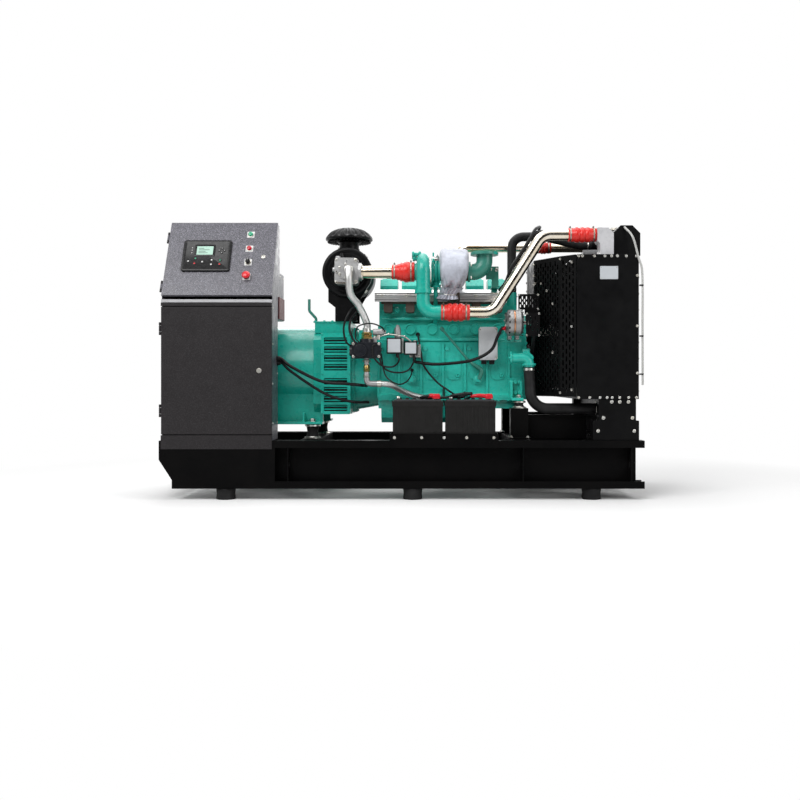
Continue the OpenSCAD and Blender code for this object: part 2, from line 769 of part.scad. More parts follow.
module flywheel_housing() {
    color(green) {
        bar_x(bell_x, bell_x + 16, 0, shaft_z, 256);
        translate([bell_x + 15, 0, shaft_z]) rotate([0, 90, 0]) cylinder(r1 = 240, r2 = 216, h = bell_l - 15);
        box([bell_x + 60, 150, shaft_z - 140], [block_x, 300, shaft_z - 10]);
        box([valve_x + 50, pad_y, valve_z + 30], [valve_x + 110, -150, valve_z + 96]);
        box([bell_x + 40, -180, shaft_z + 120], [block_x, 180, shaft_z + 230]);
    }
}

jacket_step = 48;

// The far side carries the same ribs, so one outline serves both sides of the block.
module engine_block() {
    w = crankcase_w / 2;
    jacket = w - jacket_step;
    ledge = joint_z - 73;
    color(green) {
        extrude_x(block_x, block_l)
            polygon([[-w - 12, sump_z], [w + 12, sump_z], [w + 12, sump_z + 18], [w, sump_z + 26], [w, ledge - 30],
                [jacket, ledge], [jacket, joint_z], [-jacket, joint_z], [-jacket, ledge], [-w, ledge - 30],
                [-w, sump_z + 26], [-w - 12, sump_z + 18]]);
        both_sides() {
            for (k = [0 : 6]) let (x = max(block_x, cylinder_x + (k - 0.5) * cylinder_pitch - 6))
                box([x, -w - 12, sump_z + 17], [x + 12, -w + 10, ledge - 34]);
            for (k = [1, 4]) bar_y(-w - 20, -w + 5, cylinder_x + (k + 0.07) * cylinder_pitch, shaft_z - 60, 27);
            for (k = [0 : 5]) difference() {
                bar_y(-jacket - 6, -jacket + 5, cylinder_x + k * cylinder_pitch, joint_z - 30, 24);
                bar_y(-jacket - 7, -jacket - 2, cylinder_x + k * cylinder_pitch, joint_z - 30, 18);
            }
        }
    }
}

// The bolted bracket from the block to each front mount.
module engine_brackets() {
    w = crankcase_w / 2;
    z = deck_z + post_h + pad_h;
    color(green) both_sides() {
        box([front_mount_x - 46, -post_y - 44, z], [front_mount_x + 24, -w - 12.3, z + 16]);
        for (dx = [-46, 10]) box([front_mount_x + dx, -post_y + 30, z + 15],
            [front_mount_x + dx + 14, -w - 12.3, z + 110]);
        box([front_mount_x - 46, -w - 27, z + 15], [front_mount_x + 24, -w - 12.3, z + 130]);
    }
}

module oil_pan() {
    w = crankcase_w / 2;
    x1 = block_x + 590;
    color(green) {
        extrude_x(block_x + 4, block_l - 8) polygon([[-w - 10, sump_z], [-w - 10, sump_z - 12], [-w + 18, sump_z - 12],
            [-w + 30, sump_z - 62], [w - 30, sump_z - 62], [w - 18, sump_z - 12], [w + 10, sump_z - 12], [w + 10, sump_z]]);
        extrude_x(block_x + 20, x1 - block_x - 20) polygon([[-w + 24, sump_z - 30], [-w + 40, sump_z - sump_h + 30],
            [-w + 70, sump_z - sump_h], [w - 70, sump_z - sump_h], [w - 40, sump_z - sump_h + 30], [w - 24, sump_z - 30]]);
        bar_y(-w + 22, -w + 60, x1 - 60, sump_z - sump_h + 45, 16);
    }
}

module cylinder_head() {
    x0 = cylinder_x - 56;
    x1 = cylinder_x + 5 * cylinder_pitch + 60;
    color(green) {
        box([x0, -126, joint_z], [x1, 126, head_top]);
        for (k = [0 : 5]) {
            x = cylinder_x + k * cylinder_pitch;
            box([x - 34, -140, joint_z + 66], [x + 34, -125, joint_z + 128]);
            box([x - 30, 125, joint_z + 30], [x + 30, 140, joint_z + 110]);
        }
        bar_z(joint_z + 40, joint_z + 200, x1 + 33, -60, 30);
        box([x1 - 1, -90, joint_z + 10], [x1 + 60, -30, joint_z + 120]);
    }
}

module rocker_covers() {
    l = cylinder_pitch - 18;
    color(green) for (k = [0 : 5]) {
        x = cylinder_x + k * cylinder_pitch - l / 2;
        extrude_x(x - 3, l + 6) translate([0, head_top]) polygon([[-98, 0], [98, 0], [98, 12], [-98, 12]]);
        extrude_x(x + 3, l - 6) translate([0, head_top + 11]) polygon([[-88, 0], [88, 0], [88, rocker_h - 58],
            [60, rocker_h - 18], [-60, rocker_h - 18], [-88, rocker_h - 58]]);
        extrude_x(x + 14, l - 28) translate([0, head_top + rocker_h - 8]) polygon([[-58, 0], [58, 0], [50, 8], [-50, 8]]);
        extrude_x(x + 10, l - 20) translate([0, head_top + rocker_h - 20]) polygon([[-58, 0], [58, 0], [58, 13], [-58, 13]]);
    }
}

man_y = -205;
man_z = head_top + 20;
turbine_mid = turbine_x0 + turbine_l / 2;

module exhaust_manifold() {
    color([0.35, 0.33, 0.31]) {
        bar_x(cylinder_x - 40, cylinder_x + 5 * cylinder_pitch + 40, man_y, man_z, 36);
        for (k = [0, 2, 3, 5]) bar_z(man_z + 20, man_z + 42, cylinder_x + (k + 0.5 - k / 5) * cylinder_pitch, man_y + 12, 8);
        for (k = [0 : 5]) extrude_y(man_y - 18, -140 - man_y + 18)
            translate([cylinder_x + k * cylinder_pitch - 25, joint_z + 70]) round_rect(50, man_z - joint_z - 70, 12);
        elbow([[turbine_mid, man_y, man_z], [turbine_mid, -turbo_y, man_z], [turbine_mid, -turbo_y, turbo_z - 84]],
            32, 40);
    }
}

// The polished shield over the hot manifold, with the turbocharger's riser passing through it.
module manifold_shield() {
    x0 = block_x - 13;
    y0 = man_y - 45;
    z0 = man_z - 25;
    color(silver) difference() {
        extrude_x(x0, cylinder_x + 5 * cylinder_pitch + 42 - x0) polygon([[y0, z0], [y0, z0 + 52], [y0 + 17, z0 + 69],
            [y0 + 100, z0 + 69], [y0 + 100, z0 + 67], [y0 + 18, z0 + 67], [y0 + 2, z0 + 51], [y0 + 2, z0]]);
        box([turbine_mid - 36, y0 - 1, z0 - 1], [turbine_mid + 36, y0 + 40, z0 + 62]);
    }
}

module intake_manifold() {
    x1 = cylinder_x + 5 * cylinder_pitch + 44;
    color(green) {
        extrude_x(cylinder_x - 40, x1 - cylinder_x + 40) polygon([[150, joint_z + 20], [235, joint_z + 20],
            [250, joint_z + 50], [250, joint_z + 95], [230, joint_z + 118], [150, joint_z + 118]]);
        for (k = [0 : 5]) box([cylinder_x + k * cylinder_pitch - 26, 140, joint_z + 34],
            [cylinder_x + k * cylinder_pitch + 26, 151, joint_z + 106]);
        bar_z(joint_z + 117, joint_z + 150, cold_drop_x, cold_drop_y, 34);
    }
}

module gear_cover() {
    w = 190;
    color(green) {
        extrude_x(block_end, 30) polygon([[-w, sump_z - 10], [w, sump_z - 10], [w, shaft_z + 60], [150, joint_z + 10],
            [90, fan_z + 90], [-90, fan_z + 90], [-150, joint_z + 10], [-w, shaft_z + 60]]);
        bar_x(block_end + 29, block_end + 40, 0, fan_z, 62);
        bar_x(block_end + 29, block_end + 40, 0, shaft_z, 78);
        // The water pump stands out from the cover's near side, and its inlet turns down to the hose.
        bar_x(block_end, block_end + 38, -235, pump_z, 58);
        bar_y(-pump_y, -234, pump_x, pump_z, 26);
        elbow([[block_end - 70, -pump_y, pump_z], [pump_x, -pump_y, pump_z], [pump_x, -pump_y, pump_z - 52]], 29, 36);
        bar_x(block_end - 78, block_end - 69, -pump_y, pump_z, 38);
        bar_z(pump_z - 42, pump_z - 30, pump_x, -pump_y, 40);
    }
}

pump_x = block_end + 31;
pump_y = 312;
pump_z = shaft_z + 62;

// The direction of the outer tangent's foot on pulleys a and b, each given as [y, z, r], going clockwise.
function belt_angle(a, b) =
    atan2(b[1] - a[1], b[0] - a[0]) + acos((a[2] - b[2]) / norm([b[0] - a[0], b[1] - a[1]]));

// The outline of a belt round three pulleys, g outside their rims: an arc on each, joined by tangents.
function belt_outline(c, g, steps = 14) =
    [for (i = [0 : 2]) let (b = c[i], t0 = belt_angle(c[(i + 2) % 3], b), t1 = belt_angle(b, c[(i + 1) % 3]),
        w = (t0 - t1 + 720) % 360)
        for (j = [0 : steps]) let (t = t0 - w * j / steps) [b[0] + (b[2] + g) * cos(t), b[1] + (b[2] + g) * sin(t)]];

pulleys = [[0, shaft_z, 95], [-dyn_y, dyn_z, 36], [0, fan_z, 80]];

module belt_drive() {
    color(black) {
        for (k = pulleys) {
            bar_x(belt_x, belt_x + belt_w, k[0], k[1], k[2]);
            bar_x(belt_x - 5, belt_x + belt_w + 5, k[0], k[1], k[2] * 0.55);
        }
        extrude_x(belt_x + 3, belt_w - 6) difference() {
            polygon(belt_outline(pulleys, 6));
            polygon(belt_outline(pulleys, 0.6));
        }
        bar_x(belt_x + belt_w, fan_x - 22, 0, fan_z, 27);
        bar_x(block_end - 5, belt_x, -dyn_y, dyn_z, 11);
    }
}

fan_x = rad_x0 - 60;

module cooling_fan() {
    color([0.12, 0.12, 0.13]) translate([fan_x, 0, fan_z]) {
        bar_x(-22, 24, 0, 0, 62);
        bar_x(-12, 14, 0, 0, 92);
        for (k = [0 : fan_blades - 1]) rotate([k * 360 / fan_blades, 0, 0]) translate([0, 0, 70])
            rotate([0, 0, 62]) translate([-58, -2.5, 0]) cube([116, 5, fan_r - 70]);
    }
}

module charging_alternator() {
    x0 = dynamo_x;
    color(silver) {
        translate([x0, -dyn_y, dyn_z]) rotate([0, 90, 0])
            rotate_extrude() polygon([[0, 0], [52, 0], [dyn_r, 16], [dyn_r, 44], [dyn_r - 4, 46], [dyn_r - 4, 54],
                [dyn_r, 56], [dyn_r, 84], [54, 100], [0, 100]]);
        box([x0 + 18, -dyn_y + 40, dyn_z - 92], [x0 + 38, -crankcase_w / 2 + 6, dyn_z - 30]);
        box([x0 + 62, -dyn_y + 40, dyn_z - 92], [x0 + 82, -crankcase_w / 2 + 6, dyn_z - 30]);
    }
}

// The slotted side of the belt guard and the mesh panel above it.
module belt_guard() {
    x0 = block_end + 6;
    x1 = belt_x + belt_w + 14;
    y = -dyn_y - 52;
    color(green) {
        difference() {
            box([x0, y, dyn_z - 78], [x1, y + 2, dyn_z + 54]);
            for (k = [0 : 6]) box([x0 + 10, y - 1, dyn_z - 66 + k * 17], [x1 - 10, y + 3, dyn_z - 58 + k * 17]);
        }
        box([x1 - 2, y + 2, dyn_z - 78], [x1, -dyn_y + 60, dyn_z + 54]);
        box([x0, y + 2, dyn_z + 52], [x1, -dyn_y + 60, dyn_z + 54]);
        // The arm by which the guard is bolted to the gear cover
        box([block_end + 30.3, -dyn_y + 58, joint_z - 5], [block_end + 34, -120, dyn_z + 54]);
        box([x0, -dyn_y + 20, dyn_z + 54], [x1 + 2, -dyn_y + 23, dyn_z + dyn_r + 4]);
        box([block_end - 30, -dyn_y + 20, dyn_z + dyn_r + 3], [x1 + 2, -dyn_y + 23, dyn_z + 166]);
    }
}

module control_module() {
    x0 = cylinder_x + 525;
    z0 = shaft_z + 52;
    y = -crankcase_w / 2;
    color([0.70, 0.72, 0.72]) {
        extrude_y(y - 78, 60) translate([x0, z0]) round_rect(107, 190, 14);
        for (dx = [20, 80]) {
            bar_y(y - 19, y - 0.3, x0 + dx, z0 + 16, 7);
            bar_y(y - 19, y + jacket_step - 0.3, x0 + dx, z0 + 174, 7);
        }
    }
}

module dipstick_tube() {
    y = -crankcase_w / 2 - 34;
    color([0.10, 0.35, 0.30]) {
        tube([[block_x + 381, y, shaft_z + 226], [block_x + 537, y, shaft_z + 41], [block_x + 610, y, shaft_z - 6],
            [block_x + 590, -crankcase_w / 2 - 27.3, shaft_z - 58]], 7, 12, 10, 3);
        translate([block_x + 381, y, shaft_z + 226]) rotate([0, -40, 0]) cylinder(r = 13, h = 26);
    }
}

// The compressor's spiral casing, swept with a section that grows towards its outlet.
module volute(steps = 22, n = 12) {
    a0 = -150;
    rings = [for (k = [0 : steps]) let (a = a0 + 330 * k / steps, r = 15 + 25 * k / steps, rc = scroll_r + 4 - 4 * k / steps)
        ring([comp_x, -turbo_y + rc * cos(a), turbo_z + rc * sin(a)], [0, -sin(a), cos(a)], r, n, [1, 0, 0])];
    swept(rings, n);
}

module compressor_elbow() {
    y = -turbo_y - scroll_r;
    color(green) {
        bar_z(turbo_z - 130, turbo_z - 118, comp_x, y, comp_out_r + 10);
        elbow([[comp_x, y, turbo_z - 120], [comp_x, y, comp_out_z], [hose_a0 + 28, y, comp_out_z]], comp_out_r, 62);
    }
}

module turbocharger() {
    color(silver) {
        volute();
        bar_z(turbo_z - 108, turbo_z + 2, comp_x, -turbo_y - scroll_r, comp_out_r + 1);
        bar_z(turbo_z - 118, turbo_z - 106, comp_x, -turbo_y - scroll_r, comp_out_r + 10);
        bar_x(comp_x - 32, comp_x + 38, -turbo_y, turbo_z, scroll_r - 8);
        bar_x(comp_x - 78, comp_x - 30, -turbo_y, turbo_z, 50);
    }
    color(green) {
        bar_x(comp_x + 37, comp_x + 50, -turbo_y, turbo_z, 84);
        bar_x(comp_x + 49, turbine_x0 + 14, -turbo_y, turbo_z, 44);
        bar_z(turbo_z - 90, turbo_z + 62, comp_x + 70, -turbo_y, 20);
        bar_x(turbine_x0 + 13, turbine_x0 + turbine_l - 20, -turbo_y, turbo_z, 78);
        bar_x(turbine_x0 + turbine_l - 21, turbine_x0 + turbine_l, -turbo_y, turbo_z, 52);
        bar_z(turbo_z - 84, turbo_z - 70, turbine_mid, -turbo_y, 42);
    }
    compressor_elbow();
}

// The quilted blanket round the turbine, open below for the manifold's riser.
module turbine_blanket() {
    r = 124;
    x1 = turbine_x0 + turbine_l;
    color([0.72, 0.71, 0.68]) difference() {
        translate([turbine_x0, -turbo_y, turbo_z + 4]) rotate([0, 90, 0])
            rotate_extrude() polygon([[58, 0], [92, 0], [112, 10], [r, 32], [r, turbine_l - 32], [112, turbine_l - 10],
                [92, turbine_l], [58, turbine_l]]);
        bar_x(turbine_x0 + 12, x1 - 18, -turbo_y, turbo_z, 84);
        bar_z(turbo_z - 130, turbo_z, turbine_mid, -turbo_y, 46);
        bar_y(-turbo_y, man_y, turbine_mid, man_z, 33);
    }
}

// The bracket that holds the elbow up from the cylinder head.
module elbow_bracket() {
    x1 = elbow_x + 84;
    color(green) {
        box([elbow_x + 12, -turbo_y + 50, turbo_z - 36], [x1, -turbo_y + 58, turbo_z + 38]);
        box([x1 - 40, -turbo_y + 50, head_top + 72], [x1, -turbo_y + 58, turbo_z - 35]);
        box([x1 - 40, -turbo_y + 50, head_top + 72], [x1, -112, head_top + 80]);
        box([x1 - 40, -120, head_top], [x1, -112, head_top + 73]);
        bar_y(-turbo_y + 40, -turbo_y + 51, elbow_x + 30, turbo_z + 8, 14);
    }
}

module exhaust_elbow() {
    x0 = turbine_x0 + turbine_l;
    r = exhaust_bore / 2;
    color([0.13, 0.42, 0.36]) {
        difference() {
            union() {
                bar_x(x0, x0 + 14, -turbo_y, turbo_z, r + 18);
                elbow([[x0 + 6, -turbo_y, turbo_z], [elbow_x, -turbo_y, turbo_z], [elbow_x, -turbo_y, exhaust_top - 8]], r + 6, 66);
                bar_z(exhaust_top - 16, exhaust_top, elbow_x, -turbo_y, exhaust_flange / 2);
            }
            bar_z(turbo_z + 70, exhaust_top + 1, elbow_x, -turbo_y, r);
            for (a = [22.5 : 45 : 360]) bar_z(exhaust_top - 17, exhaust_top + 1,
                elbow_x + (exhaust_flange / 2 - 14) * cos(a), -turbo_y + (exhaust_flange / 2 - 14) * sin(a), 7);
        }
    }
    elbow_bracket();
}

hot_y = -turbo_y - scroll_r;
hot_r = charge_d / 2;
hot_end = rad_x0 - 15;

module hot_pipe() {
    x1 = block_x + 658;
    color(silver) tube([[hose_a1 - 34, hot_y, comp_out_z], [x1, hot_y, comp_out_z],
        [x1 + 278, hot_y, charge_z], [hot_end, hot_y, charge_z]], hot_r, 90);
}

cold_r = cold_d / 2;
cold_drop_x = block_x + 480;
cold_drop_y = 185;
cold_end = rad_x0 - 136;

module cold_pipe() {
    color(silver) tube([[cold_end, cold_y, cold_z], [cold_drop_x, cold_y, cold_z],
        [cold_drop_x, cold_drop_y, cold_z - 150], [cold_drop_x, cold_drop_y, joint_z + 150]], cold_r, 60);
}

module charge_pipes() {
    hot_pipe();
    cold_pipe();
}

// A hose along X from x0 with bore r0 that ends with bore r1.
module hose_x(x0, len, y, z, r0, r1) {
    t = hose_wall;
    e = 0.3;
    translate([x0, y, z]) rotate([0, 90, 0]) rotate_extrude()
        polygon([[r0 + e, 0], [r0 + t, 0], [r0 + t, 34], [r1 + t, len - 34], [r1 + t, len], [r1 + e, len],
            [r1 + e, len - 34], [r0 + e, 34]]);
}

// A hose with raised convolutions between its two clamped ends.
module bellows_x(x0, len, y, z, r) {
    t = hose_wall;
    n = 3;
    w = (len - 72) / n;
    translate([x0, y, z]) rotate([0, 90, 0]) rotate_extrude() polygon(concat([[r + 0.3, 0], [r + t, 0], [r + t, 36]],
        [for (k = [0 : n - 1]) each [[r + t, 36 + k * w + 3], [r + t + 7, 36 + k * w + 9], [r + t + 7, 36 + (k + 1) * w - 9],
            [r + t, 36 + (k + 1) * w - 3]]], [[r + t, len], [r + 0.3, len]]));
}

duct_x = header_x - 26;
inlet_x = -60;

module silicone_hoses() {
    color(red) {
        bellows_x(hose_a0, hose_l, hot_y, comp_out_z, comp_out_r);
        hose_x(inlet_x, comp_x - 50 - inlet_x, -turbo_y, turbo_z, inlet_r, 50);
        hose_x(hot_end - 26, header_x - hot_end + 26, hot_y, charge_z, hot_r, hot_r);
        hose_x(cold_end - 30, 92, cold_y, cold_z, cold_r, cold_r);
    }
}

// A band clamp with its worm housing on top.
module clamp_x(x, y, z, r) {
    difference() {
        union() {
            bar_x(x, x + clamp_w - 8, y, z, r + 2);
            box([x, y - 12, z + r + 1], [x + clamp_w - 8, y + 12, z + r + 12]);
        }
        bar_x(x - 1, x + clamp_w, y, z, r);
    }
}

module hose_clamps() {
    t = hose_wall + 0.3;
    color(silver) {
        for (x = [hose_a0 + 10, hose_a1 - 24]) clamp_x(x, hot_y, comp_out_z, comp_out_r + t);
        clamp_x(inlet_x + 10, -turbo_y, turbo_z, inlet_r + t);
        clamp_x(comp_x - 74, -turbo_y, turbo_z, 50 + t);
        for (x = [hot_end - 18, header_x - 20]) clamp_x(x, hot_y, charge_z, hot_r + t);
        for (x = [cold_end - 24, cold_end + 42]) clamp_x(x, cold_y, cold_z, cold_r + t);
    }
}

neck_y = cleaner_y + 150;
neck_z = cleaner_z + cleaner_d / 2 + 17;

// The mushroom pre-cleaner on the canister's neck.
module precleaner() {
    r = dome_d / 2;
    z = neck_z + 28;
    color(black) translate([cleaner_x, neck_y, z]) rotate_extrude()
        polygon([[0, 0], [66, 0], [66, 4], [r - 8, 14], [r, 24], [r, 38], [r - 22, 62], [r - 70, 82], [0, 90]]);
}

module air_cleaner() {
    r = cleaner_d / 2;
    color(black) {
        translate([cleaner_x, cleaner_y, cleaner_z]) rotate([-90, 0, 0]) rotate_extrude()
            polygon([[0, 0], [r - 14, 0], [r, 14], [r, 60], [r - 5, 62], [r - 5, 82], [r, 84], [r, cleaner_l - 16],
                [r - 16, cleaner_l], [0, cleaner_l]]);
        bar_z(cleaner_z + 80, neck_z + 28, cleaner_x, neck_y, 58);
        bar_z(neck_z - 4, neck_z + 4, cleaner_x, neck_y, 62);
    }
    precleaner();
}

module air_cleaner_bracket() {
    z0 = shaft_z + 210 + terminal_h;
    z1 = cleaner_z - 96;
    w = cleaner_d / 2 - 34;
    r = cleaner_d / 2;
    color(black) for (y = [cleaner_y + 20, cleaner_y + 240]) difference() {
        union() {
            extrude_y(y, 6) translate([cleaner_x, 0]) polygon([[-70, z0], [w * 0.5, z0], [w * 0.5, z0 + 90],
                [w, z1], [w, z1 + 30], [-w, z1 + 30], [-w, z0 + 110], [-70, z0 + 80]]);
            box([cleaner_x - 70, y, z0], [cleaner_x + w * 0.5, y + 46, z0 + 6]);
        }
        bar_y(y - 1, y + 50, cleaner_x, cleaner_z, r + 0.3);
    }
}

module gas_mixer() {
    y0 = cleaner_y;
    color([0.62, 0.63, 0.63]) {
        bar_y(y0 - 30, y0, cleaner_x + 10, cleaner_z, 74);
        extrude_y(mixer_y - 42, y0 - 29 - mixer_y + 42) translate([cleaner_x - 60, inlet_z - 74]) round_rect(134, 150, 22);
        bar_y(mixer_y - 56, mixer_y - 41, cleaner_x + 4, inlet_z, 46);
        bar_x(cleaner_x + 72, cleaner_x + 90, mixer_y, inlet_z, inlet_r + 16);
        bar_x(cleaner_x + 80, inlet_x + 34, mixer_y, inlet_z, inlet_r);
    }
}

valve_x = bell_x + 15;
valve_z = shaft_z + 39;
valve_y = -392;
pad_y = -246;

module gas_valve_train() {
    fit_x = valve_x + 82;
    color(black) {
        box([valve_x, valve_y, valve_z + 20], [valve_x + 164, valve_y + 92, valve_z + 110]);
        bar_z(valve_z + 109, valve_z + 130, fit_x, valve_y + 46, 40);
        bar_y(valve_y - 22, valve_y + 1, valve_x + 50, valve_z + 64, 34);
        bar_x(valve_x - 14, valve_x + 1, valve_y + 46, valve_z + 64, 30);
        box([valve_x + 60, valve_y + 91, valve_z + 40], [valve_x + 100, pad_y, valve_z + 86]);
    }
    color([0.74, 0.60, 0.30]) {
        bar_z(valve_z + 129, valve_z + 168, fit_x, valve_y + 46, 23);
        bar_z(valve_z - 70, valve_z + 21, fit_x, valve_y + 46, 15);
        elbow([[fit_x, valve_y + 46, valve_z - 69], [fit_x, valve_y + 46, shaft_z - 84], [fit_x + 60, valve_y + 46, shaft_z - 84]], 17, 26);
    }
    color([0.16, 0.17, 0.19]) {
        y = -crankcase_w / 2;
        box([cylinder_x + 12, y - 90, shaft_z + 92], [cylinder_x + 92, y - 12.3, shaft_z + 176]);
        bar_y(y - 108, y - 89, cylinder_x + 52, shaft_z + 134, 30);
        box([cylinder_x + 126, y - 74, shaft_z + 68], [cylinder_x + 190, y - 12.3, shaft_z + 142]);
        for (x = [cylinder_x + 30, cylinder_x + 150]) box([x - 10, y - 13, shaft_z + 96], [x + 10, y, shaft_z + 120]);
    }
}

module gas_hoses() {
    fit_x = valve_x + 82;
    run_y = -crankcase_w / 2 - 37;
    color([0.70, 0.71, 0.72]) {
        cable([[cleaner_x + 22, mixer_y - 57, inlet_z + 4], [cleaner_x + 22, mixer_y - 80, inlet_z + 3],
            [cleaner_x + 26, mixer_y - 94, inlet_z - 50],
            [cleaner_x + 34, mixer_y - 74, turbo_z - 134], [fit_x - 40, valve_y + 22, turbo_z - 200],
            [fit_x, valve_y + 46, turbo_z - 290], [fit_x, valve_y + 46, valve_z + 168.3]], 20, 4, 12);
        cable([[fit_x + 60.3, valve_y + 46, shaft_z - 84], [fit_x + 84, valve_y + 46, shaft_z - 84], [fit_x + 140, valve_y + 50, shaft_z - 92],
            [fit_x + 210, valve_y + 110, shaft_z - 130], [fit_x + 300, run_y, shaft_z - 160],
            [fit_x + 400, run_y, shaft_z - 172]], 17, 4, 12);
    }
}

side_y = 480;

module radiator_frame() {
    x1 = right_x - 30;
    color(black) {
        both_sides() {
            box([rad_x0, -side_y, rad_z], [x1, -side_y + 4, rad_top]);
            box([rad_x0, -side_y + 4, rad_z], [rad_x0 + 4, -side_y + 40, rad_top]);
            box([x1 - 4, -side_y + 4, rad_z], [x1, -side_y + 34, rad_top]);
        }
        box([rad_x0 + 4, -side_y + 4, rad_top - 4], [x1 - 4, side_y - 4, rad_top]);
        box([rad_x0 + 4, -side_y + 4, rad_z], [x1 - 4, side_y - 4, rad_z + 4]);
        difference() {
            box([rad_x0, -side_y + 40, rad_z + 4], [rad_x0 + 3, side_y - 40, rad_top - 4]);
            bar_x(rad_x0 - 1, rad_x0 + 4, 0, fan_z, fan_r + 22);
        }
        difference() {
            bar_x(rad_x0 - 80, rad_x0 + 1, 0, fan_z, fan_r + 25);
            bar_x(rad_x0 - 81, rad_x0 + 2, 0, fan_z, fan_r + 22);
        }
    }
}

module radiator_core() {
    w = side_y - 4.3;
    color([0.16, 0.16, 0.17]) {
        box([core_x, -w, rad_z + 60], [core_x + core_t, w, rad_top - 60]);
        box([core_x - 8, -w, rad_top - 60], [core_x + core_t + 8, w, rad_top - 4.3]);
        box([core_x - 8, -w, rad_z + 4.3], [core_x + core_t + 8, w, rad_z + 60]);
        box([rad_x0 + 40.3, -w, rad_z + 4.3], [rad_x0 + 110, w, rad_top - 4.3]);
        box([core_x + 10, -w + 80, rad_z - 78], [core_x + core_t - 10, w - 80, rad_z]);
    }
}

module radiator_top_tank() {
    x1 = tank_x + tank_w;
    c = 44;
    color(black) {
        extrude_y(-420, 840) polygon([[tank_x, rad_top], [x1, rad_top], [x1, rad_top + tank_h - c],
            [x1 - c, rad_top + tank_h], [tank_x + c, rad_top + tank_h], [tank_x, rad_top + tank_h - c]]);
        bar_z(rad_top + tank_h - 1, rad_top + tank_h + 14, tank_x + tank_w / 2, -120, 44);
        bar_z(rad_top + tank_h + 13, rad_top + tank_h + 32, tank_x + tank_w / 2, -120, 36);
        bar_x(tank_x - 60, tank_x + 1, -70, rad_top + 110, 26);
    }
}

// One cast duct that turns a charge pipe down into the radiator package.
module header(y, z, r) {
    x1 = header_x + header_l;
    bar_x(duct_x, header_x + 4, y, z, r);
    extrude_y(y - 48, 96) polygon([[header_x, z - r - 8], [header_x, z + r + 3], [x1 - 30, z + r + 3], [x1, z + 4],
        [x1, rad_top], [header_x + 14, rad_top], [header_x + 14, z - r - 24]]);
}

module charge_cooler_headers() {
    color([0.86, 0.86, 0.85]) {
        header(hot_y, charge_z, hot_r);
        header(cold_y, cold_z, cold_r);
    }
    color(silver) bar_x(cold_end + 28, duct_x + 1, cold_y, cold_z, cold_r);
}

// A folded stand and the bracket on it, on each side of the radiator.
module radiator_stands() {
    x0 = stand_x;
    z1 = deck_z + 110;
    color(black) both_sides() {
        difference() {
            box([x0, -side_y + 6, deck_z], [x0 + 256, -side_y + 86, z1]);
            box([x0 + 6, -side_y + 12, deck_z + 6], [x0 + 250, -side_y + 90, z1 - 6]);
        }
        difference() {
            box([x0 + 32, -side_y + 6, z1], [x0 + 239, -side_y + 66, rad_z]);
            box([x0 + 38, -side_y + 12, z1 + 6], [x0 + 233, -side_y + 70, rad_z - 6]);
        }
    }
}

guard_z0 = rad_z + 13;
guard_z1 = rad_top + 2;
guard_plan = [[rad_x0 - 1.8, -side_y + 21], [rad_x0 - 79, -side_y + 100], [guard_x, -190], [guard_x, 0]];

// A sheet that stands on the plan line from a to b.
module guard_sheet(a, b, z0, z1, t = 2) {
    d = unit([b[0] - a[0], b[1] - a[1]]);
    n = [-d[1], d[0]] * t;
    translate([0, 0, z0]) linear_extrude(z1 - z0) polygon([a, b, b + n, a + n]);
}

module fan_guard() {
    p = guard_plan;
    t = 2;
    color(black) both_sides() {
        for (k = [0, 1]) guard_sheet(p[k + 1], p[k], guard_z0, guard_z1);
        guard_sheet(p[2], p[1], guard_z0, guard_z1);
        difference() {
            box([guard_x, -190, guard_z0], [guard_x + t, 0, guard_z1]);
            bar_x(guard_x - 1, guard_x + t + 1, 0, fan_z, 110);
            box([guard_x - 1, -115, guard_z0 - 1], [guard_x + t + 1, 1, fan_z]);
        }
        for (z = [guard_z0, guard_z1 - 2]) translate([0, 0, z]) linear_extrude(2)
            polygon([p[0], p[1], p[2], [p[3][0], -120], [rad_x0 - 82, -fan_r - 26], [rad_x0 - 0.3, -fan_r - 26]]);
    }
}

module coolant_hoses() {
    x1 = cylinder_x + 5 * cylinder_pitch + 93;
    z1 = rad_top + 162;
    color(black) {
        tube([[pump_x, -pump_y, pump_z - 52.3], [pump_x, -pump_y, pump_z - 80], [block_end + 44, -pump_y, deck_z + 172],
            [core_x + 10, -pump_y, deck_z + 172]], coolant_d / 2, 100);
        tube([[tank_x - 60, -70, rad_top + 110], [tank_x - 130, -70, rad_top + 110], [rad_x0 - 130, -70, z1],
            [x1, -60, z1], [x1, -60, joint_z + 200]], 27, 70);
    }
}

module overflow_tube() {
    color(white) cable([[tank_x + 64, -425, rad_top + 159], [tank_x + 100, -470, rad_top + 96],
        [tank_x + 128, -488, rad_top - 20], [right_x - 13, -488, rad_top - 110], [right_x - 12, -488, rad_top - 400],
        [right_x - 11, -488, rad_z + 78]], 6, 4, 8);
}

// The starter motor and the oil filter with its head, on the far side.
module starter_and_filter() {
    color(black) {
        bar_x(block_x + 1, block_x + 230, 284, shaft_z - 75, 48);
        bar_x(block_x + 1, block_x + 140, 284, shaft_z + 6, 27);
        bar_x(block_x, block_x + 10, 284, shaft_z - 60, 60);
        bar_z(sump_z + 30, sump_z + 210, block_x + 520, 275, 54);
        box([block_x + 450, crankcase_w / 2 + 12.3, sump_z + 209], [block_x + 590, 330, sump_z + 245]);
    }
}

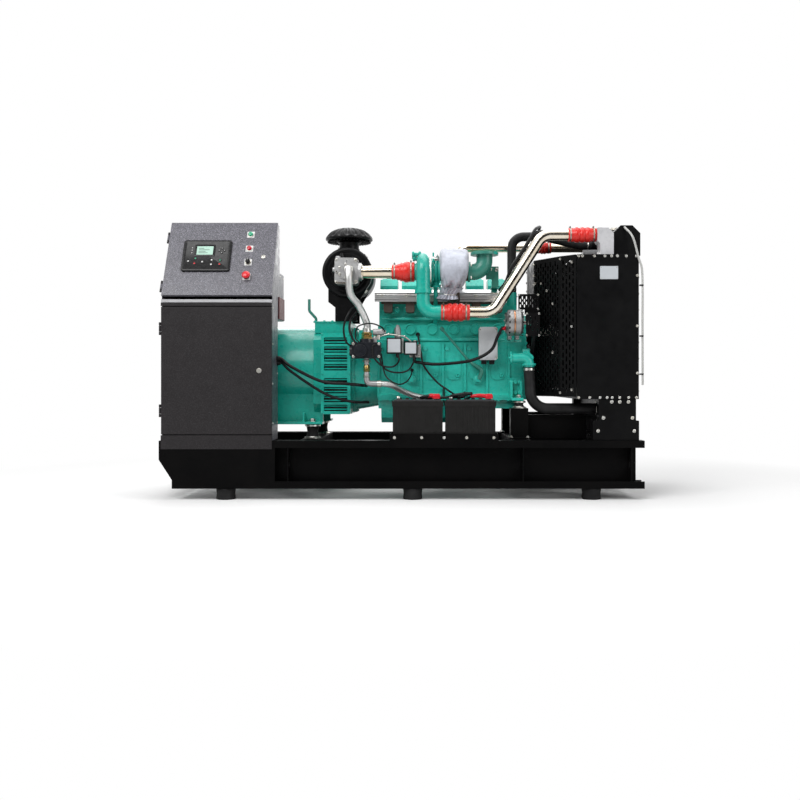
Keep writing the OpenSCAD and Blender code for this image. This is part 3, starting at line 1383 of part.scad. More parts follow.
module engine_cables() {
    y = -crankcase_w / 2;
    color(black) {
        cable([[cab_x1 + 0.5, -330, shaft_z + 60], [cab_x1 + 22, -330, shaft_z + 60], [cab_x1 + 90, -345, shaft_z + 10], [bell_x - 160, -350, shaft_z - 70],
            [bell_x - 20, -350, shaft_z - 84], [bell_x + 60, -330, shaft_z - 92], [bell_x + 90, -250, shaft_z - 95]], 9);
        cable([[cab_x1 + 1, -320, shaft_z + 40], [cab_x1 + 24, -320, shaft_z + 39], [cab_x1 + 90, -335, shaft_z - 20], [bell_x - 140, -345, shaft_z - 140],
            [bell_x + 10, -330, shaft_z - 186], [bell_x + 100, -240, shaft_z - 190]], 8);
        cable([[cylinder_x + 158, y - 44, shaft_z + 66.5], [cylinder_x + 158, y - 44, shaft_z + 44],
            [cylinder_x + 240, y - 70, shaft_z + 30], [cylinder_x + 330, y - 88, shaft_z + 30],
            [cylinder_x + 484, y - 100, shaft_z + 50], [cylinder_x + 590, y - 122, shaft_z + 105],
            [cylinder_x + 628, y - 146, shaft_z + 185], [dynamo_x - 20, 8 - dyn_y - 28, dyn_z - 32],
            [dynamo_x - 0.3, 8 - dyn_y - 28, dyn_z - 32]], 9, 5);
    }
}

near_rail();
far_rail();
end_plates();
skid_cross_members();
engine_posts();
skid_feet();
battery_tray();
batteries();
cabinet_shell();
cabinet_frame();
cabinet_door();
console_door();
controller();
panel_lamps();
estop_button();
selector_knob();
circuit_breaker();
alternator_frame();
alternator_louvers();
terminal_box();
vibration_mounts();
flywheel_housing();
engine_block();
engine_brackets();
oil_pan();
cylinder_head();
rocker_covers();
exhaust_manifold();
manifold_shield();
intake_manifold();
gear_cover();
belt_drive();
belt_guard();
cooling_fan();
charging_alternator();
control_module();
dipstick_tube();
turbocharger();
turbine_blanket();
exhaust_elbow();
charge_pipes();
silicone_hoses();
hose_clamps();
air_cleaner();
air_cleaner_bracket();
gas_mixer();
gas_valve_train();
gas_hoses();
radiator_frame();
radiator_core();
radiator_top_tank();
charge_cooler_headers();
radiator_stands();
fan_guard();
coolant_hoses();
overflow_tube();
starter_and_filter();
engine_cables();
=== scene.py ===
"""Looks of an open-skid gas engine generating set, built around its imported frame.

Every length in this file is in millimetres in the frame of the part, and becomes metres when a mesh is made.
MM is one millimetre in metres, SHEET the thickness of plain sheet, SHARP and ROUNDED the angles in degrees
past which an edge is drawn sharp or rounded, COPLANAR the angle up to which two flats are one, and WELD the
distance in metres within which corners are one.
"""
from __future__ import annotations

import json
import logging
import math
from dataclasses import dataclass, field
from enum import Enum
from typing import Callable, Iterable, Optional, Sequence

import bmesh
import bpy
import numpy as np
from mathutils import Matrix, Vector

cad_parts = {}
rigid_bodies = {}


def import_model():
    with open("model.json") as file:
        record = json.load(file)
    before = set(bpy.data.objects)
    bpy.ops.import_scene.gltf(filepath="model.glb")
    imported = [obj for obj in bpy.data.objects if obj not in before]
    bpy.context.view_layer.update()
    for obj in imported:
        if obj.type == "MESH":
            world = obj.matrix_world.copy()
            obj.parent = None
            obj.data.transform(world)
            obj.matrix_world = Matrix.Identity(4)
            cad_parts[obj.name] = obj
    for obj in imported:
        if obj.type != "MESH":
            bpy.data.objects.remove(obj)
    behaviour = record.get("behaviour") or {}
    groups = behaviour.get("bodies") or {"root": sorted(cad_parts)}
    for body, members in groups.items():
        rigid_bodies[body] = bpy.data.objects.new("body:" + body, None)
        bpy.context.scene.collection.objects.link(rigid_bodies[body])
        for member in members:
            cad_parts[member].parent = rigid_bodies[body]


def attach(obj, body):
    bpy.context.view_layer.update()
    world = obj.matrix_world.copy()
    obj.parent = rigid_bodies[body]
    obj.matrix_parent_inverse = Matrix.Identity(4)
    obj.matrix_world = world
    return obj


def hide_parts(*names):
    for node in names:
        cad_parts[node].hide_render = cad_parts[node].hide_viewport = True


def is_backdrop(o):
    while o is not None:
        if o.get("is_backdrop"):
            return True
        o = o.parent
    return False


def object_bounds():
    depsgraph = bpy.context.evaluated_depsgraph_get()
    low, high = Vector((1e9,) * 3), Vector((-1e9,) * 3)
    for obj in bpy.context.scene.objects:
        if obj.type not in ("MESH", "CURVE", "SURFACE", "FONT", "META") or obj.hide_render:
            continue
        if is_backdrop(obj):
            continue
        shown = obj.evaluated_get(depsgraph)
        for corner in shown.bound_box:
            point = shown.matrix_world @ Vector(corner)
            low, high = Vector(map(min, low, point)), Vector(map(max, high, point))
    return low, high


LOG = logging.getLogger("generating_set")
MM = 0.001
SHEET = 1.6
SHARP = 32.0
ROUNDED = 38.0
COPLANAR = 0.6
WELD = 1e-5
Point = Sequence[float]


# Surfaces


class Cap(Enum):
    """How the two ends of a swept surface are closed."""

    NONE = "none"
    FLAT = "flat"


@dataclass
class Surface:
    """A skin of quads and polygons in millimetres, with a UV pair for each corner."""

    points: np.ndarray
    faces: list
    uvs: list
    finish: int = 0

    def moved(self, shift: Point) -> "Surface":
        """Returns the surface moved by shift."""
        return Surface(self.points + np.asarray(shift, float), self.faces, self.uvs, self.finish)

    def mapped(self, axes: np.ndarray, origin: Point) -> "Surface":
        """Carries the surface from its own axes into the part's frame.

        Args:
            axes: three rows, the directions of the surface's own X, Y and Z.
            origin: where its own origin goes.

        Returns:
            The surface at its place, with its faces turned round if the axes are left-handed.
        """
        rows = np.asarray(axes, float)
        skin = Surface(self.points @ rows + np.asarray(origin, float), self.faces, self.uvs, self.finish)
        return skin if np.linalg.det(rows) > 0 else skin.flipped()

    def flipped(self) -> "Surface":
        """Returns the surface with its faces turned round."""
        faces = [tuple(reversed(f)) for f in self.faces]
        uvs = [tuple(reversed(u)) for u in self.uvs]
        return Surface(self.points, faces, uvs, self.finish)

    def mirrored(self) -> "Surface":
        """Returns the mirror image across the set's middle plane, Y to -Y."""
        return self.mapped(np.diag([1.0, -1.0, 1.0]), (0, 0, 0))

    def painted(self, finish: int) -> "Surface":
        """Returns the surface with another of the piece's finishes."""
        return Surface(self.points, self.faces, self.uvs, finish)


def unit(v: np.ndarray) -> np.ndarray:
    """Returns v, or each row of v, at length one."""
    v = np.asarray(v, float)
    return v / np.maximum(np.linalg.norm(v, axis=-1, keepdims=True), 1e-12)


def grid(points: np.ndarray, wrap: bool = False, cap: Cap = Cap.NONE, size: Point = (1.0, 1.0)) -> Surface:
    """Joins a table of points into quads.

    Point (i, j) is joined to (i + 1, j), (i + 1, j + 1) and (i, j + 1); with wrap the last column joins the
    first. A flat cap closes the first and last rows with one polygon each.

    Args:
        points: rows by columns by 3.
        wrap: whether the columns close on themselves.
        cap: how the first and the last row are closed.
        size: how many UV units the rows and the columns span.

    Returns:
        The surface, its faces outwards when the columns run anticlockwise seen against the rows.
    """
    rows, cols = points.shape[:2]
    span = cols if wrap else cols - 1
    i, j = np.meshgrid(np.arange(rows - 1), np.arange(span), indexing="ij")
    i, j = i.ravel(), j.ravel()
    k = (j + 1) % cols
    quads = np.stack([i * cols + j, i * cols + k, (i + 1) * cols + k, (i + 1) * cols + j], 1)
    u0, u1 = i / (rows - 1) * size[0], (i + 1) / (rows - 1) * size[0]
    v0, v1 = j / span * size[1], (j + 1) / span * size[1]
    uv = np.stack([np.stack(corner, 1) for corner in ((u0, v0), (u0, v1), (u1, v1), (u1, v0))], 1)
    faces = [tuple(q) for q in quads.tolist()]
    uvs = [tuple(map(tuple, q)) for q in uv.tolist()]
    if cap is Cap.FLAT and wrap:
        faces.append(tuple(reversed(range(cols))))
        faces.append(tuple(range((rows - 1) * cols, rows * cols)))
        uvs += [tuple((0.0, 0.0) for _ in range(cols))] * 2
    return Surface(points.reshape(-1, 3).astype(float), faces, uvs)


def ring_frames(path: np.ndarray) -> tuple[np.ndarray, np.ndarray]:
    """Two directions square to a path at each of its points.

    The first is the tangent crossed with the path's flattest direction, so that a path in one plane gets the
    plane's own normal and its rings never twist.

    Args:
        path: points by 3.

    Returns:
        The two directions, points by 3 each.
    """
    tangent = unit(np.gradient(path, axis=0))
    flattest = np.linalg.svd(tangent.T @ tangent)[2][2] if len(path) > 2 else np.array([0.0, 0.0, 1.0])
    if abs(float(np.max(np.abs(tangent @ flattest)))) > 0.93:
        flattest = np.eye(3)[int(np.argmin(np.max(np.abs(tangent), axis=0)))]
    side = unit(np.cross(tangent, flattest))
    return side, np.cross(tangent, side)


def tube(path: np.ndarray, radius: float | np.ndarray, sides: int = 24, cap: Cap = Cap.FLAT) -> Surface:
    """A round tube: at each path point a circle, centre + radius * (cos a * side + sin a * up).

    Args:
        path: points by 3, in millimetres.
        radius: one radius, or one for each point.
        sides: how many sides the circle has.
        cap: how its ends are closed.

    Returns:
        The tube, with UVs in millimetres along it and round it.
    """
    path = np.asarray(path, float)
    side, up = ring_frames(path)
    angle = -2 * np.pi * np.arange(sides) / sides
    r = np.broadcast_to(np.asarray(radius, float), (len(path),))[:, None, None]
    circle = np.cos(angle)[None, :, None] * side[:, None] + np.sin(angle)[None, :, None] * up[:, None]
    length = float(np.linalg.norm(np.diff(path, axis=0), axis=1).sum())
    around = 2 * np.pi * float(np.mean(r))
    return outward(grid(path[:, None] + r * circle, True, cap, (length, around)))


def outward(skin: Surface) -> Surface:
    """Turns a closed skin's faces round if the volume they enclose comes out negative.

    Args:
        skin: the closed skin.

    Returns:
        The skin with its faces outwards.
    """
    p = skin.points
    total = 0.0
    quads = np.array([f for f in skin.faces if len(f) == 4])
    if len(quads):
        a, b, c, d = (p[quads[:, k]] for k in range(4))
        total += float((a * (np.cross(b, c) + np.cross(c, d))).sum())
    for f in (f for f in skin.faces if len(f) != 4):
        q = p[list(f)]
        total += float((q[0] * np.cross(q[1:-1], q[2:])).sum())
    return skin if total >= 0 else skin.flipped()


def bent_path(points: Sequence[Point], radius: float, steps: int = 14, spacing: float = 40.0) -> np.ndarray:
    """A path of straight legs joined by true arcs, as a mandrel bender makes.

    Each corner is replaced by an arc tangent to both legs: centre + radius * (a sin f - n cos f), where a is
    the first leg's direction and n points towards the arc's centre.

    Args:
        points: the corners and the two ends.
        radius: the bend radius.
        steps: how many parts each arc has.
        spacing: the longest distance between points on a straight leg.

    Returns:
        The path's points.
    """
    p = np.asarray(points, float)
    out = [p[:1]]
    for i in range(1, len(p) - 1):
        a, c = unit(p[i] - p[i - 1]), unit(p[i + 1] - p[i])
        bend = math.acos(float(np.clip(a @ c, -1, 1)))
        n = unit(c - a * (a @ c))
        centre = p[i] - a * radius * math.tan(bend / 2) + n * radius
        f = np.linspace(0, bend, steps + 1)[:, None]
        out.append(centre + radius * (a * np.sin(f) - n * np.cos(f)))
    out.append(p[-1:])
    path = np.concatenate(out)
    gap = np.linalg.norm(np.diff(path, axis=0), axis=1)
    parts = [np.linspace(path[k], path[k + 1], max(1, int(gap[k] // spacing)) + 1)[:-1]
             for k in range(len(gap))]
    return np.concatenate(parts + [path[-1:]])


def smooth_path(points: Sequence[Point], steps: int = 10) -> np.ndarray:
    """The smooth curve through the points: on each span the cubic that matches its neighbours' slopes.

    Args:
        points: the points it passes through.
        steps: how many parts each span has.

    Returns:
        The curve's points.
    """
    p = np.asarray(points, float)
    q = np.concatenate([2 * p[:1] - p[1:2], p, 2 * p[-1:] - p[-2:-1]])
    t = (np.arange(steps) / steps)[None, :, None]
    a, b, c, d = (q[k : len(p) - 1 + k][:, None] for k in range(4))
    curve = 0.5 * (2 * b + (c - a) * t + (2 * a - 5 * b + 4 * c - d) * t**2 + (3 * b - a - 3 * c + d) * t**3)
    return np.concatenate([curve.reshape(-1, 3), p[-1:]])


AXES = {
    "x": np.array([[0, 1, 0], [0, 0, 1], [1, 0, 0]], float),
    "-x": np.array([[0, -1, 0], [0, 0, 1], [-1, 0, 0]], float),
    "y": np.array([[0, 0, 1], [1, 0, 0], [0, 1, 0]], float),
    "-y": np.array([[1, 0, 0], [0, 0, 1], [0, -1, 0]], float),
    "z": np.eye(3),
    "-z": np.array([[0, 1, 0], [1, 0, 0], [0, 0, -1]], float),
}


def about(axis: str, angle: float) -> np.ndarray:
    """The directions X, Y and Z turned round one of them: cos and sin of the angle in the other two's rows.

    Args:
        axis: "x" or "z".
        angle: the angle in radians.

    Returns:
        Three rows of directions.
    """
    c, s = math.cos(angle), math.sin(angle)
    rows = [[1, 0, 0], [0, c, s], [0, -s, c]] if axis == "x" else [[c, s, 0], [-s, c, 0], [0, 0, 1]]
    return np.array(rows, float)


def turned(
    profile: Sequence[Point],
    origin: Point = (0, 0, 0),
    axis: str = "z",
    sides: int = 32,
    cap: Cap = Cap.FLAT,
) -> Surface:
    """A turned piece: each profile point (radius, height) swept round the axis.

    Args:
        profile: radius and height pairs, from the foot to the top.
        origin: the point on the axis at height 0.
        axis: one of the names in AXES.
        sides: how many sides the circle has.
        cap: Cap.NONE for a profile that ends where it starts.

    Returns:
        The piece, its ends closed where the profile starts or ends off the axis.
    """
    prof = np.asarray(profile, float)
    prof[:, 0] = np.maximum(prof[:, 0], 0.01)
    angle = 2 * np.pi * np.arange(sides) / sides
    r, z = prof[:, :1], prof[:, 1:]
    points = np.stack([r * np.cos(angle), r * np.sin(angle), z + 0 * angle], -1)
    length = float(np.linalg.norm(np.diff(prof, axis=0), axis=1).sum())
    skin = grid(points, True, cap, (length, 2 * np.pi * float(r.max())))
    return outward(skin).mapped(AXES[axis], origin)


def rod(r: float, low: float, high: float) -> list[Point]:
    """The profile of a plain rod of radius r between two heights."""
    return [(0, low), (r, low), (r, high), (0, high)]


def button(r: float, h: float, top: float, rise: float) -> list[Point]:
    """The profile of a disc of radius r and height h that narrows to the radius top at the height rise."""
    return [(0, 0), (r, 0), (r, h), (top, rise), (0, rise)]


def box(lo: Point, hi: Point) -> Surface:
    """A box between two corners, with UVs in millimetres.

    Args:
        lo: its lowest corner.
        hi: its highest corner.

    Returns:
        The box.
    """
    (x0, y0, z0), (x1, y1, z1) = lo, hi
    points = np.array([[x, y, z] for z in (z0, z1) for y in (y0, y1) for x in (x0, x1)], float)
    faces = [(0, 2, 3, 1), (4, 5, 7, 6), (0, 1, 5, 4), (2, 6, 7, 3), (0, 4, 6, 2), (1, 3, 7, 5)]
    flat = [points[list(f)] for f in faces]
    drop = [2, 2, 1, 1, 0, 0]
    uvs = [tuple(map(tuple, np.delete(q, d, 1).tolist())) for q, d in zip(flat, drop)]
    return Surface(points, faces, uvs)


def blocks(*rows: Point) -> list[Surface]:
    """Boxes from rows of two corners and a finish: x0, y0, z0, x1, y1, z1, finish."""
    return [box(row[:3], row[3:6]).painted(row[6]) for row in rows]


def stacked(levels: Iterable[tuple[np.ndarray, float]], size: Point = (1.0, 1.0)) -> Surface:
    """A closed skin through flat outlines of equal count, each given with its height."""
    rings = [np.column_stack([outline, np.full(len(outline), height)]) for outline, height in levels]
    return outward(grid(np.stack(rings), True, Cap.FLAT, size))


def prism(outline: Sequence[Point], height: float, origin: Point = (0, 0, 0), axis: str = "z") -> Surface:
    """A flat outline given anticlockwise, carried by height along an axis."""
    o = np.asarray(outline, float)
    return stacked([(o, 0.0), (o, height)], (height, 10.0 * len(o))).mapped(AXES[axis], origin)


def round_outline(w: float, h: float, r: float, steps: int = 5) -> np.ndarray:
    """The outline of a w by h rectangle about its middle, with corners of radius r.

    Args:
        w: its width.
        h: its height.
        r: the corners' radius.
        steps: how many parts each corner has.

    Returns:
        Its points, anticlockwise.
    """
    f = np.linspace(0, np.pi / 2, steps + 1)
    arc = np.stack([np.cos(f), np.sin(f)], 1) * r
    a, b = w / 2 - r, h / 2 - r
    quarters = ((1, 0, (a, b)), (0, 1, (-a, b)), (-1, 0, (-a, -b)), (0, -1, (a, -b)))
    return np.concatenate([arc @ np.array([[c, s], [-s, c]]) + middle for c, s, middle in quarters])


def rounded(w: float, h: float, levels: Sequence[Point], steps: int = 5) -> Surface:
    """A moulding on a w by h rectangle about its middle.

    Args:
        w: its width.
        h: its height in the rectangle's plane.
        levels: for each level from the foot up its inset, its height and its corners' radius.
        steps: how many parts each corner has.

    Returns:
        The moulding.
    """
    return stacked((round_outline(w - 2 * inset, h - 2 * inset, r, steps), z) for inset, z, r in levels)


def hex_bolt(size: float, head: float = 0.65, washer: bool = True) -> Surface:
    """A hexagon head on its washer, standing on Z = 0.

    Args:
        size: the thread's diameter.
        head: the head's height as a share of it.
        washer: whether it has its washer.

    Returns:
        The head.
    """
    flat, high = 0.88 * size, head * size
    corner = np.arange(6) * np.pi / 3
    hexagon = np.stack([np.cos(corner), np.sin(corner)], 1)
    base = 0.16 * size if washer else 0.0
    rings = [(flat, base), (flat * 1.04, base), (flat * 1.04, base + high * 0.8), (flat * 0.86, base + high)]
    skin = stacked((hexagon * r, z) for r, z in rings)
    if not washer:
        return skin
    disc = turned([(size * 1.12, 0.0), (size * 1.12, base * 0.8), (size * 1.05, base)], sides=14)
    return merged([skin, disc])


def merged(parts: Iterable[Surface]) -> Surface:
    """Joins several surfaces into one; the finish of the first is kept.

    Args:
        parts: the surfaces.

    Returns:
        One surface with all their faces.
    """
    parts = list(parts)
    points, faces, uvs, n = [], [], [], 0
    for s in parts:
        points.append(s.points)
        faces += [tuple(i + n for i in f) for f in s.faces]
        uvs += list(s.uvs)
        n += len(s.points)
    return Surface(np.concatenate(points), faces, uvs, parts[0].finish)


def repeated(base: Surface, places: Sequence[Point], axis: str = "z") -> Surface:
    """Copies one small surface to many places, all turned the same way."""
    return merged(base.mapped(AXES[axis], p) for p in places)


def bolts(size: float, places: Sequence[Point], axis: str = "z", finish: int = 0,
          head: float = 0.65) -> Surface:
    """Bolts of one size at many places, their heads looking along an axis."""
    return repeated(hex_bolt(size, head), places, axis).painted(finish)


def both_sides(size: float, near: Sequence[Point], head: float = 0.65) -> list[Surface]:
    """Bolts that look to -Y at the places near, and bolts that look to +Y at the places' mirror images."""
    return [bolts(size, near, "-y", head=head), bolts(size, [(x, -y, z) for x, y, z in near], "y", head=head)]


# Finishes


class Shader:
    """Short calls for building one material's node tree on object coordinates."""

    def __init__(self, name: str) -> None:
        """Starts a material with its shader and its coordinates.

        Args:
            name: the material's name.
        """
        self.material = bpy.data.materials.new(name)
        self.material.use_nodes = True
        self.tree = self.material.node_tree
        self.surface = self.tree.nodes["Principled BSDF"]
        self.coords = self.tree.nodes.new("ShaderNodeTexCoord")

    def node(self, kind: str, **values: object) -> bpy.types.Node:
        """Adds a node; values name its properties, or its sockets by their identifiers.

        Args:
            kind: the node's type without the prefix "ShaderNode".
            values: properties and socket values; a socket value may be another node's output.

        Returns:
            The node.
        """
        node = self.tree.nodes.new("ShaderNode" + kind)
        for key, value in values.items():
            if hasattr(node, key):
                setattr(node, key, value)
                continue
            same = (s for s in node.inputs if s.name.replace(" ", "_").lower() == key.lower() and s.enabled)
            socket = next(same)
            if isinstance(value, bpy.types.NodeSocket):
                self.tree.links.new(value, socket)
            else:
                socket.default_value = value
        return node

    def link(self, source: bpy.types.NodeSocket, target: str) -> None:
        """Joins an output to one of the shader's sockets."""
        self.tree.links.new(source, self.surface.inputs[target])

    def set(self, **values: object) -> None:
        """Sets the shader's own sockets to plain values."""
        for key, value in values.items():
            self.surface.inputs[key.replace("_", " ")].default_value = value

    def noise(self, scale: float, detail: float = 4.0, rough: float = 0.5,
              where: Optional[object] = None) -> object:
        """Adds noise.

        Args:
            scale: how many waves a metre has.
            detail: how many octaves it has.
            rough: the share of the finer octaves.
            where: other coordinates than the object's own.

        Returns:
            The noise's output, about 0.5.
        """
        vector = where or self.coords.outputs["Object"]
        n = self.node("TexNoise", Vector=vector, Scale=scale, Detail=detail, Roughness=rough)
        return n.outputs["Fac"]

    def stretched(self, scale: Point) -> object:
        """Object coordinates scaled on each axis."""
        return self.node("Mapping", Vector=self.coords.outputs["Object"],
                         Scale=tuple(scale)).outputs["Vector"]

    def spread(self, value: object, low: float, high: float, to_low: float, to_high: float) -> object:
        """Maps a value from one range to another, clamped.

        Args:
            value: the output to map.
            low: what becomes to_low.
            high: what becomes to_high.
            to_low: the new range's start.
            to_high: the new range's end.

        Returns:
            The mapped output.
        """
        m = self.node("MapRange", From_Min=low, From_Max=high, To_Min=to_low, To_Max=to_high)
        self.tree.links.new(value, m.inputs["Value"])
        return m.outputs["Result"]

    def blend(self, factor: object, a: Point, b: Point) -> object:
        """Mixes two colours: a (1 - factor) + b factor.

        Args:
            factor: a number or an output.
            a: the first colour, or an output.
            b: the second colour, or an output.

        Returns:
            The mixed colour's output.
        """
        m = self.node("Mix", data_type="RGBA")
        for socket, value in ((m.inputs[0], factor), (m.inputs[6], a), (m.inputs[7], b)):
            if isinstance(value, bpy.types.NodeSocket):
                self.tree.links.new(value, socket)
            elif isinstance(value, float):
                socket.default_value = value
            else:
                socket.default_value = (*value, 1.0)
        return m.outputs[2]

    def math(self, op: str, a: object, b: object = 0.0) -> object:
        """One step of arithmetic.

        Args:
            op: the step's name.
            a: a number or an output.
            b: a number or an output.

        Returns:
            The result's output.
        """
        m = self.node("Math", operation=op)
        for socket, value in ((m.inputs[0], a), (m.inputs[1], b)):
            if isinstance(value, bpy.types.NodeSocket):
                self.tree.links.new(value, socket)
            else:
                socket.default_value = value
        return m.outputs[0]

    def bump(self, height: object, strength: float, distance: float,
             under: Optional[object] = None) -> object:
        """A bump from a height.

        Args:
            height: the height's output.
            strength: its share.
            distance: the height in millimetres of the value 1.
            under: the normal it is added to.

        Returns:
            The normal's output.
        """
        b = self.node("Bump", Strength=strength, Distance=distance * MM)
        self.tree.links.new(height, b.inputs["Height"])
        if under is not None:
            self.tree.links.new(under, b.inputs["Normal"])
        return b.outputs["Normal"]


@dataclass(frozen=True)
class Enamel:
    """Sprayed machine paint over a casting or plate: orange peel, cast grain and darker tone at random."""

    name: str
    colour: Point
    shade: Point
    rough: float = 0.32
    coat: float = 0.3
    peel: float = 0.25
    cast: float = 0.3
    gloss: float = 0.35

    def make(self) -> bpy.types.Material:
        """Builds the material.

        Returns:
            The material.
        """
        s = Shader(self.name)
        broad = s.spread(s.noise(5.0, 3.0, 0.55), 0.35, 0.68, 0.0, 1.0)
        fine = s.spread(s.noise(60.0, 5.0, 0.6), 0.45, 0.75, 0.0, 0.35)
        base = s.blend(s.math("MULTIPLY", broad, 0.55), self.colour, self.shade)
        base = s.blend(fine, base, [c * 0.8 for c in self.shade])
        s.link(base, "Base Color")
        s.link(s.spread(s.noise(24.0, 4.0, 0.6), 0.3, 0.7, self.rough - 0.07, self.rough + 0.14), "Roughness")
        cast = s.bump(s.noise(220.0, 3.0, 0.6), self.cast, 1.2)
        s.link(s.bump(s.noise(900.0, 1.0, 0.4), self.peel, 0.25, cast), "Normal")
        s.set(Coat_Weight=self.coat, Coat_Roughness=0.12, Specular_IOR_Level=self.gloss)
        return s.material


@dataclass(frozen=True)
class PowderCoat:
    """Textured powder coat with pale flecks, as on switchgear cabinets."""

    name: str
    colour: Point
    fleck: Point
    amount: float = 0.5
    rough: float = 0.45
    gloss: float = 0.2

    def make(self) -> bpy.types.Material:
        """Builds the material.

        Returns:
            The material.
        """
        s = Shader(self.name)
        cells = s.node("TexVoronoi", Vector=s.coords.outputs["Object"], Scale=420.0)
        grain = s.node("SeparateColor", Color=cells.outputs["Color"]).outputs[0]
        flecks = s.spread(grain, 0.62, 0.98, 0.0, self.amount)
        cloud = s.spread(s.noise(7.0, 2.0, 0.5), 0.3, 0.7, 0.0, 0.5)
        base = s.blend(cloud, self.colour, [c * 1.25 for c in self.colour])
        s.link(s.blend(flecks, base, self.fleck), "Base Color")
        s.link(s.spread(s.noise(30.0, 3.0, 0.5), 0.3, 0.7, self.rough - 0.08, self.rough + 0.1), "Roughness")
        grains = s.bump(s.noise(520.0, 3.0, 0.7), 0.5, 0.6)
        s.link(s.bump(cells.outputs["Distance"], 0.25, 0.4, grains), "Normal")
        s.set(Specular_IOR_Level=self.gloss)
        return s.material


@dataclass(frozen=True)
class Rubber:
    """Rubber or soft plastic with a dusty bloom; weave gives the cloth marks of a wrapped hose."""

    name: str
    colour: Point
    rough: float = 0.6
    weave: float = 0.0
    bloom: float = 0.3
    coat: float = 0.0

    def make(self) -> bpy.types.Material:
        """Builds the material.

        Returns:
            The material.
        """
        s = Shader(self.name)
        dust = s.spread(s.noise(14.0, 5.0, 0.6), 0.4, 0.75, 0.0, self.bloom)
        pale = [c * 0.6 + 0.08 for c in self.colour]
        s.link(s.blend(dust, self.colour, pale), "Base Color")
        s.link(s.spread(s.noise(40.0, 4.0, 0.5), 0.3, 0.7, self.rough - 0.08, self.rough + 0.1), "Roughness")
        skin = s.bump(s.noise(480.0, 4.0, 0.6), 0.25, 0.4)
        if self.weave > 0:
            a = s.node("TexWave", Vector=s.stretched((1, 1, 1)), Scale=160.0, Distortion=1.0,
                       wave_type="BANDS")
            a.bands_direction = "DIAGONAL"
            skin = s.bump(a.outputs["Fac"], self.weave, 0.35, skin)
        s.link(skin, "Normal")
        s.set(Coat_Weight=self.coat, Coat_Roughness=0.2, Specular_IOR_Level=0.18)
        return s.material


@dataclass(frozen=True)
class Metal:
    """Bare metal: polished tube, brushed strip or sand-cast alloy by its roughness, streaks and grain."""

    name: str
    colour: Point
    tint: Point
    rough: float = 0.2
    streak: float = 0.15
    grain: float = 0.0
    metallic: float = 1.0
    axis: Point = (3.0, 160.0, 160.0)

    def make(self) -> bpy.types.Material:
        """Builds the material.

        Returns:
            The material.
        """
        s = Shader(self.name)
        warm = s.spread(s.noise(6.0, 3.0, 0.6), 0.35, 0.7, 0.0, 1.0)
        smut = s.spread(s.noise(38.0, 6.0, 0.65), 0.5, 0.8, 0.0, 0.35)
        base = s.blend(warm, self.colour, self.tint)
        s.link(s.blend(smut, base, [c * 0.62 for c in self.colour]), "Base Color")
        lines = s.noise(1.0, 3.0, 0.5, s.stretched(self.axis))
        rough = s.spread(lines, 0.3, 0.7, self.rough - self.streak * 0.5, self.rough + self.streak)
        s.link(rough, "Roughness")
        normal = s.bump(lines, 0.12 + self.streak, 0.12)
        if self.grain > 0:
            normal = s.bump(s.noise(340.0, 5.0, 0.65), self.grain, 0.9, normal)
        s.link(normal, "Normal")
        s.set(Metallic=self.metallic)
        return s.material


@dataclass(frozen=True)
class Braid:
    """Stainless wire braid, its strands crossing on the piece's own UV map in millimetres."""

    name: str
    colour: Point
    pitch: float = 3.2

    def make(self) -> bpy.types.Material:
        """Builds the material: the strands are ridges of sin(u + v) and sin(u - v).

        Returns:
            The material.
        """
        s = Shader(self.name)
        uv = s.node("SeparateXYZ", Vector=s.coords.outputs["UV"])
        k = 2 * math.pi / self.pitch
        u = s.math("MULTIPLY", uv.outputs[0], k)
        v = s.math("MULTIPLY", uv.outputs[1], k)
        a = s.math("SINE", s.math("ADD", u, v))
        b = s.math("SINE", s.math("SUBTRACT", u, v))
        ridge = s.spread(s.math("MAXIMUM", a, b), -0.6, 1.0, 0.0, 1.0)
        s.link(s.blend(ridge, [c * 0.5 for c in self.colour], self.colour), "Base Color")
        s.link(s.bump(ridge, 0.5, 0.5), "Normal")
        s.set(Metallic=0.9, Roughness=0.30)
        return s.material


@dataclass(frozen=True)
class GlassCloth:
    """Silver-coated glass cloth: a plain weave on the piece's UV map, with darker patches at random as
    painted shade for its creases.
    """

    name: str
    colour: Point
    shade: Point
    pitch: float = 2.6

    def make(self) -> bpy.types.Material:
        """Builds the material: warp and weft are ridges of sin(u) and sin(v).

        Returns:
            The material.
        """
        s = Shader(self.name)
        uv = s.node("SeparateXYZ", Vector=s.coords.outputs["UV"])
        k = 2 * math.pi / self.pitch
        a = s.math("SINE", s.math("MULTIPLY", uv.outputs[0], k))
        b = s.math("SINE", s.math("MULTIPLY", uv.outputs[1], k))
        weave = s.spread(s.math("MULTIPLY", a, b), -1.0, 1.0, 0.0, 1.0)
        # Darker patches at random towards the shade colour: painted shade that stands in for the shade in the
        # creases.
        painted_crease_shade = s.spread(s.noise(16.0, 5.0, 0.65), 0.44, 0.76, 0.0, 0.85)
        base = s.blend(painted_crease_shade, self.colour, self.shade)
        s.link(s.blend(s.math("MULTIPLY", weave, 0.25), base, [c * 0.7 for c in self.shade]), "Base Color")
        crease = s.bump(s.noise(34.0, 4.0, 0.6), 0.6, 6.0)
        s.link(s.bump(weave, 0.35, 0.5, crease), "Normal")
        s.set(Roughness=0.5, Metallic=0.25, Sheen_Weight=0.25, Sheen_Roughness=0.4)
        return s.material


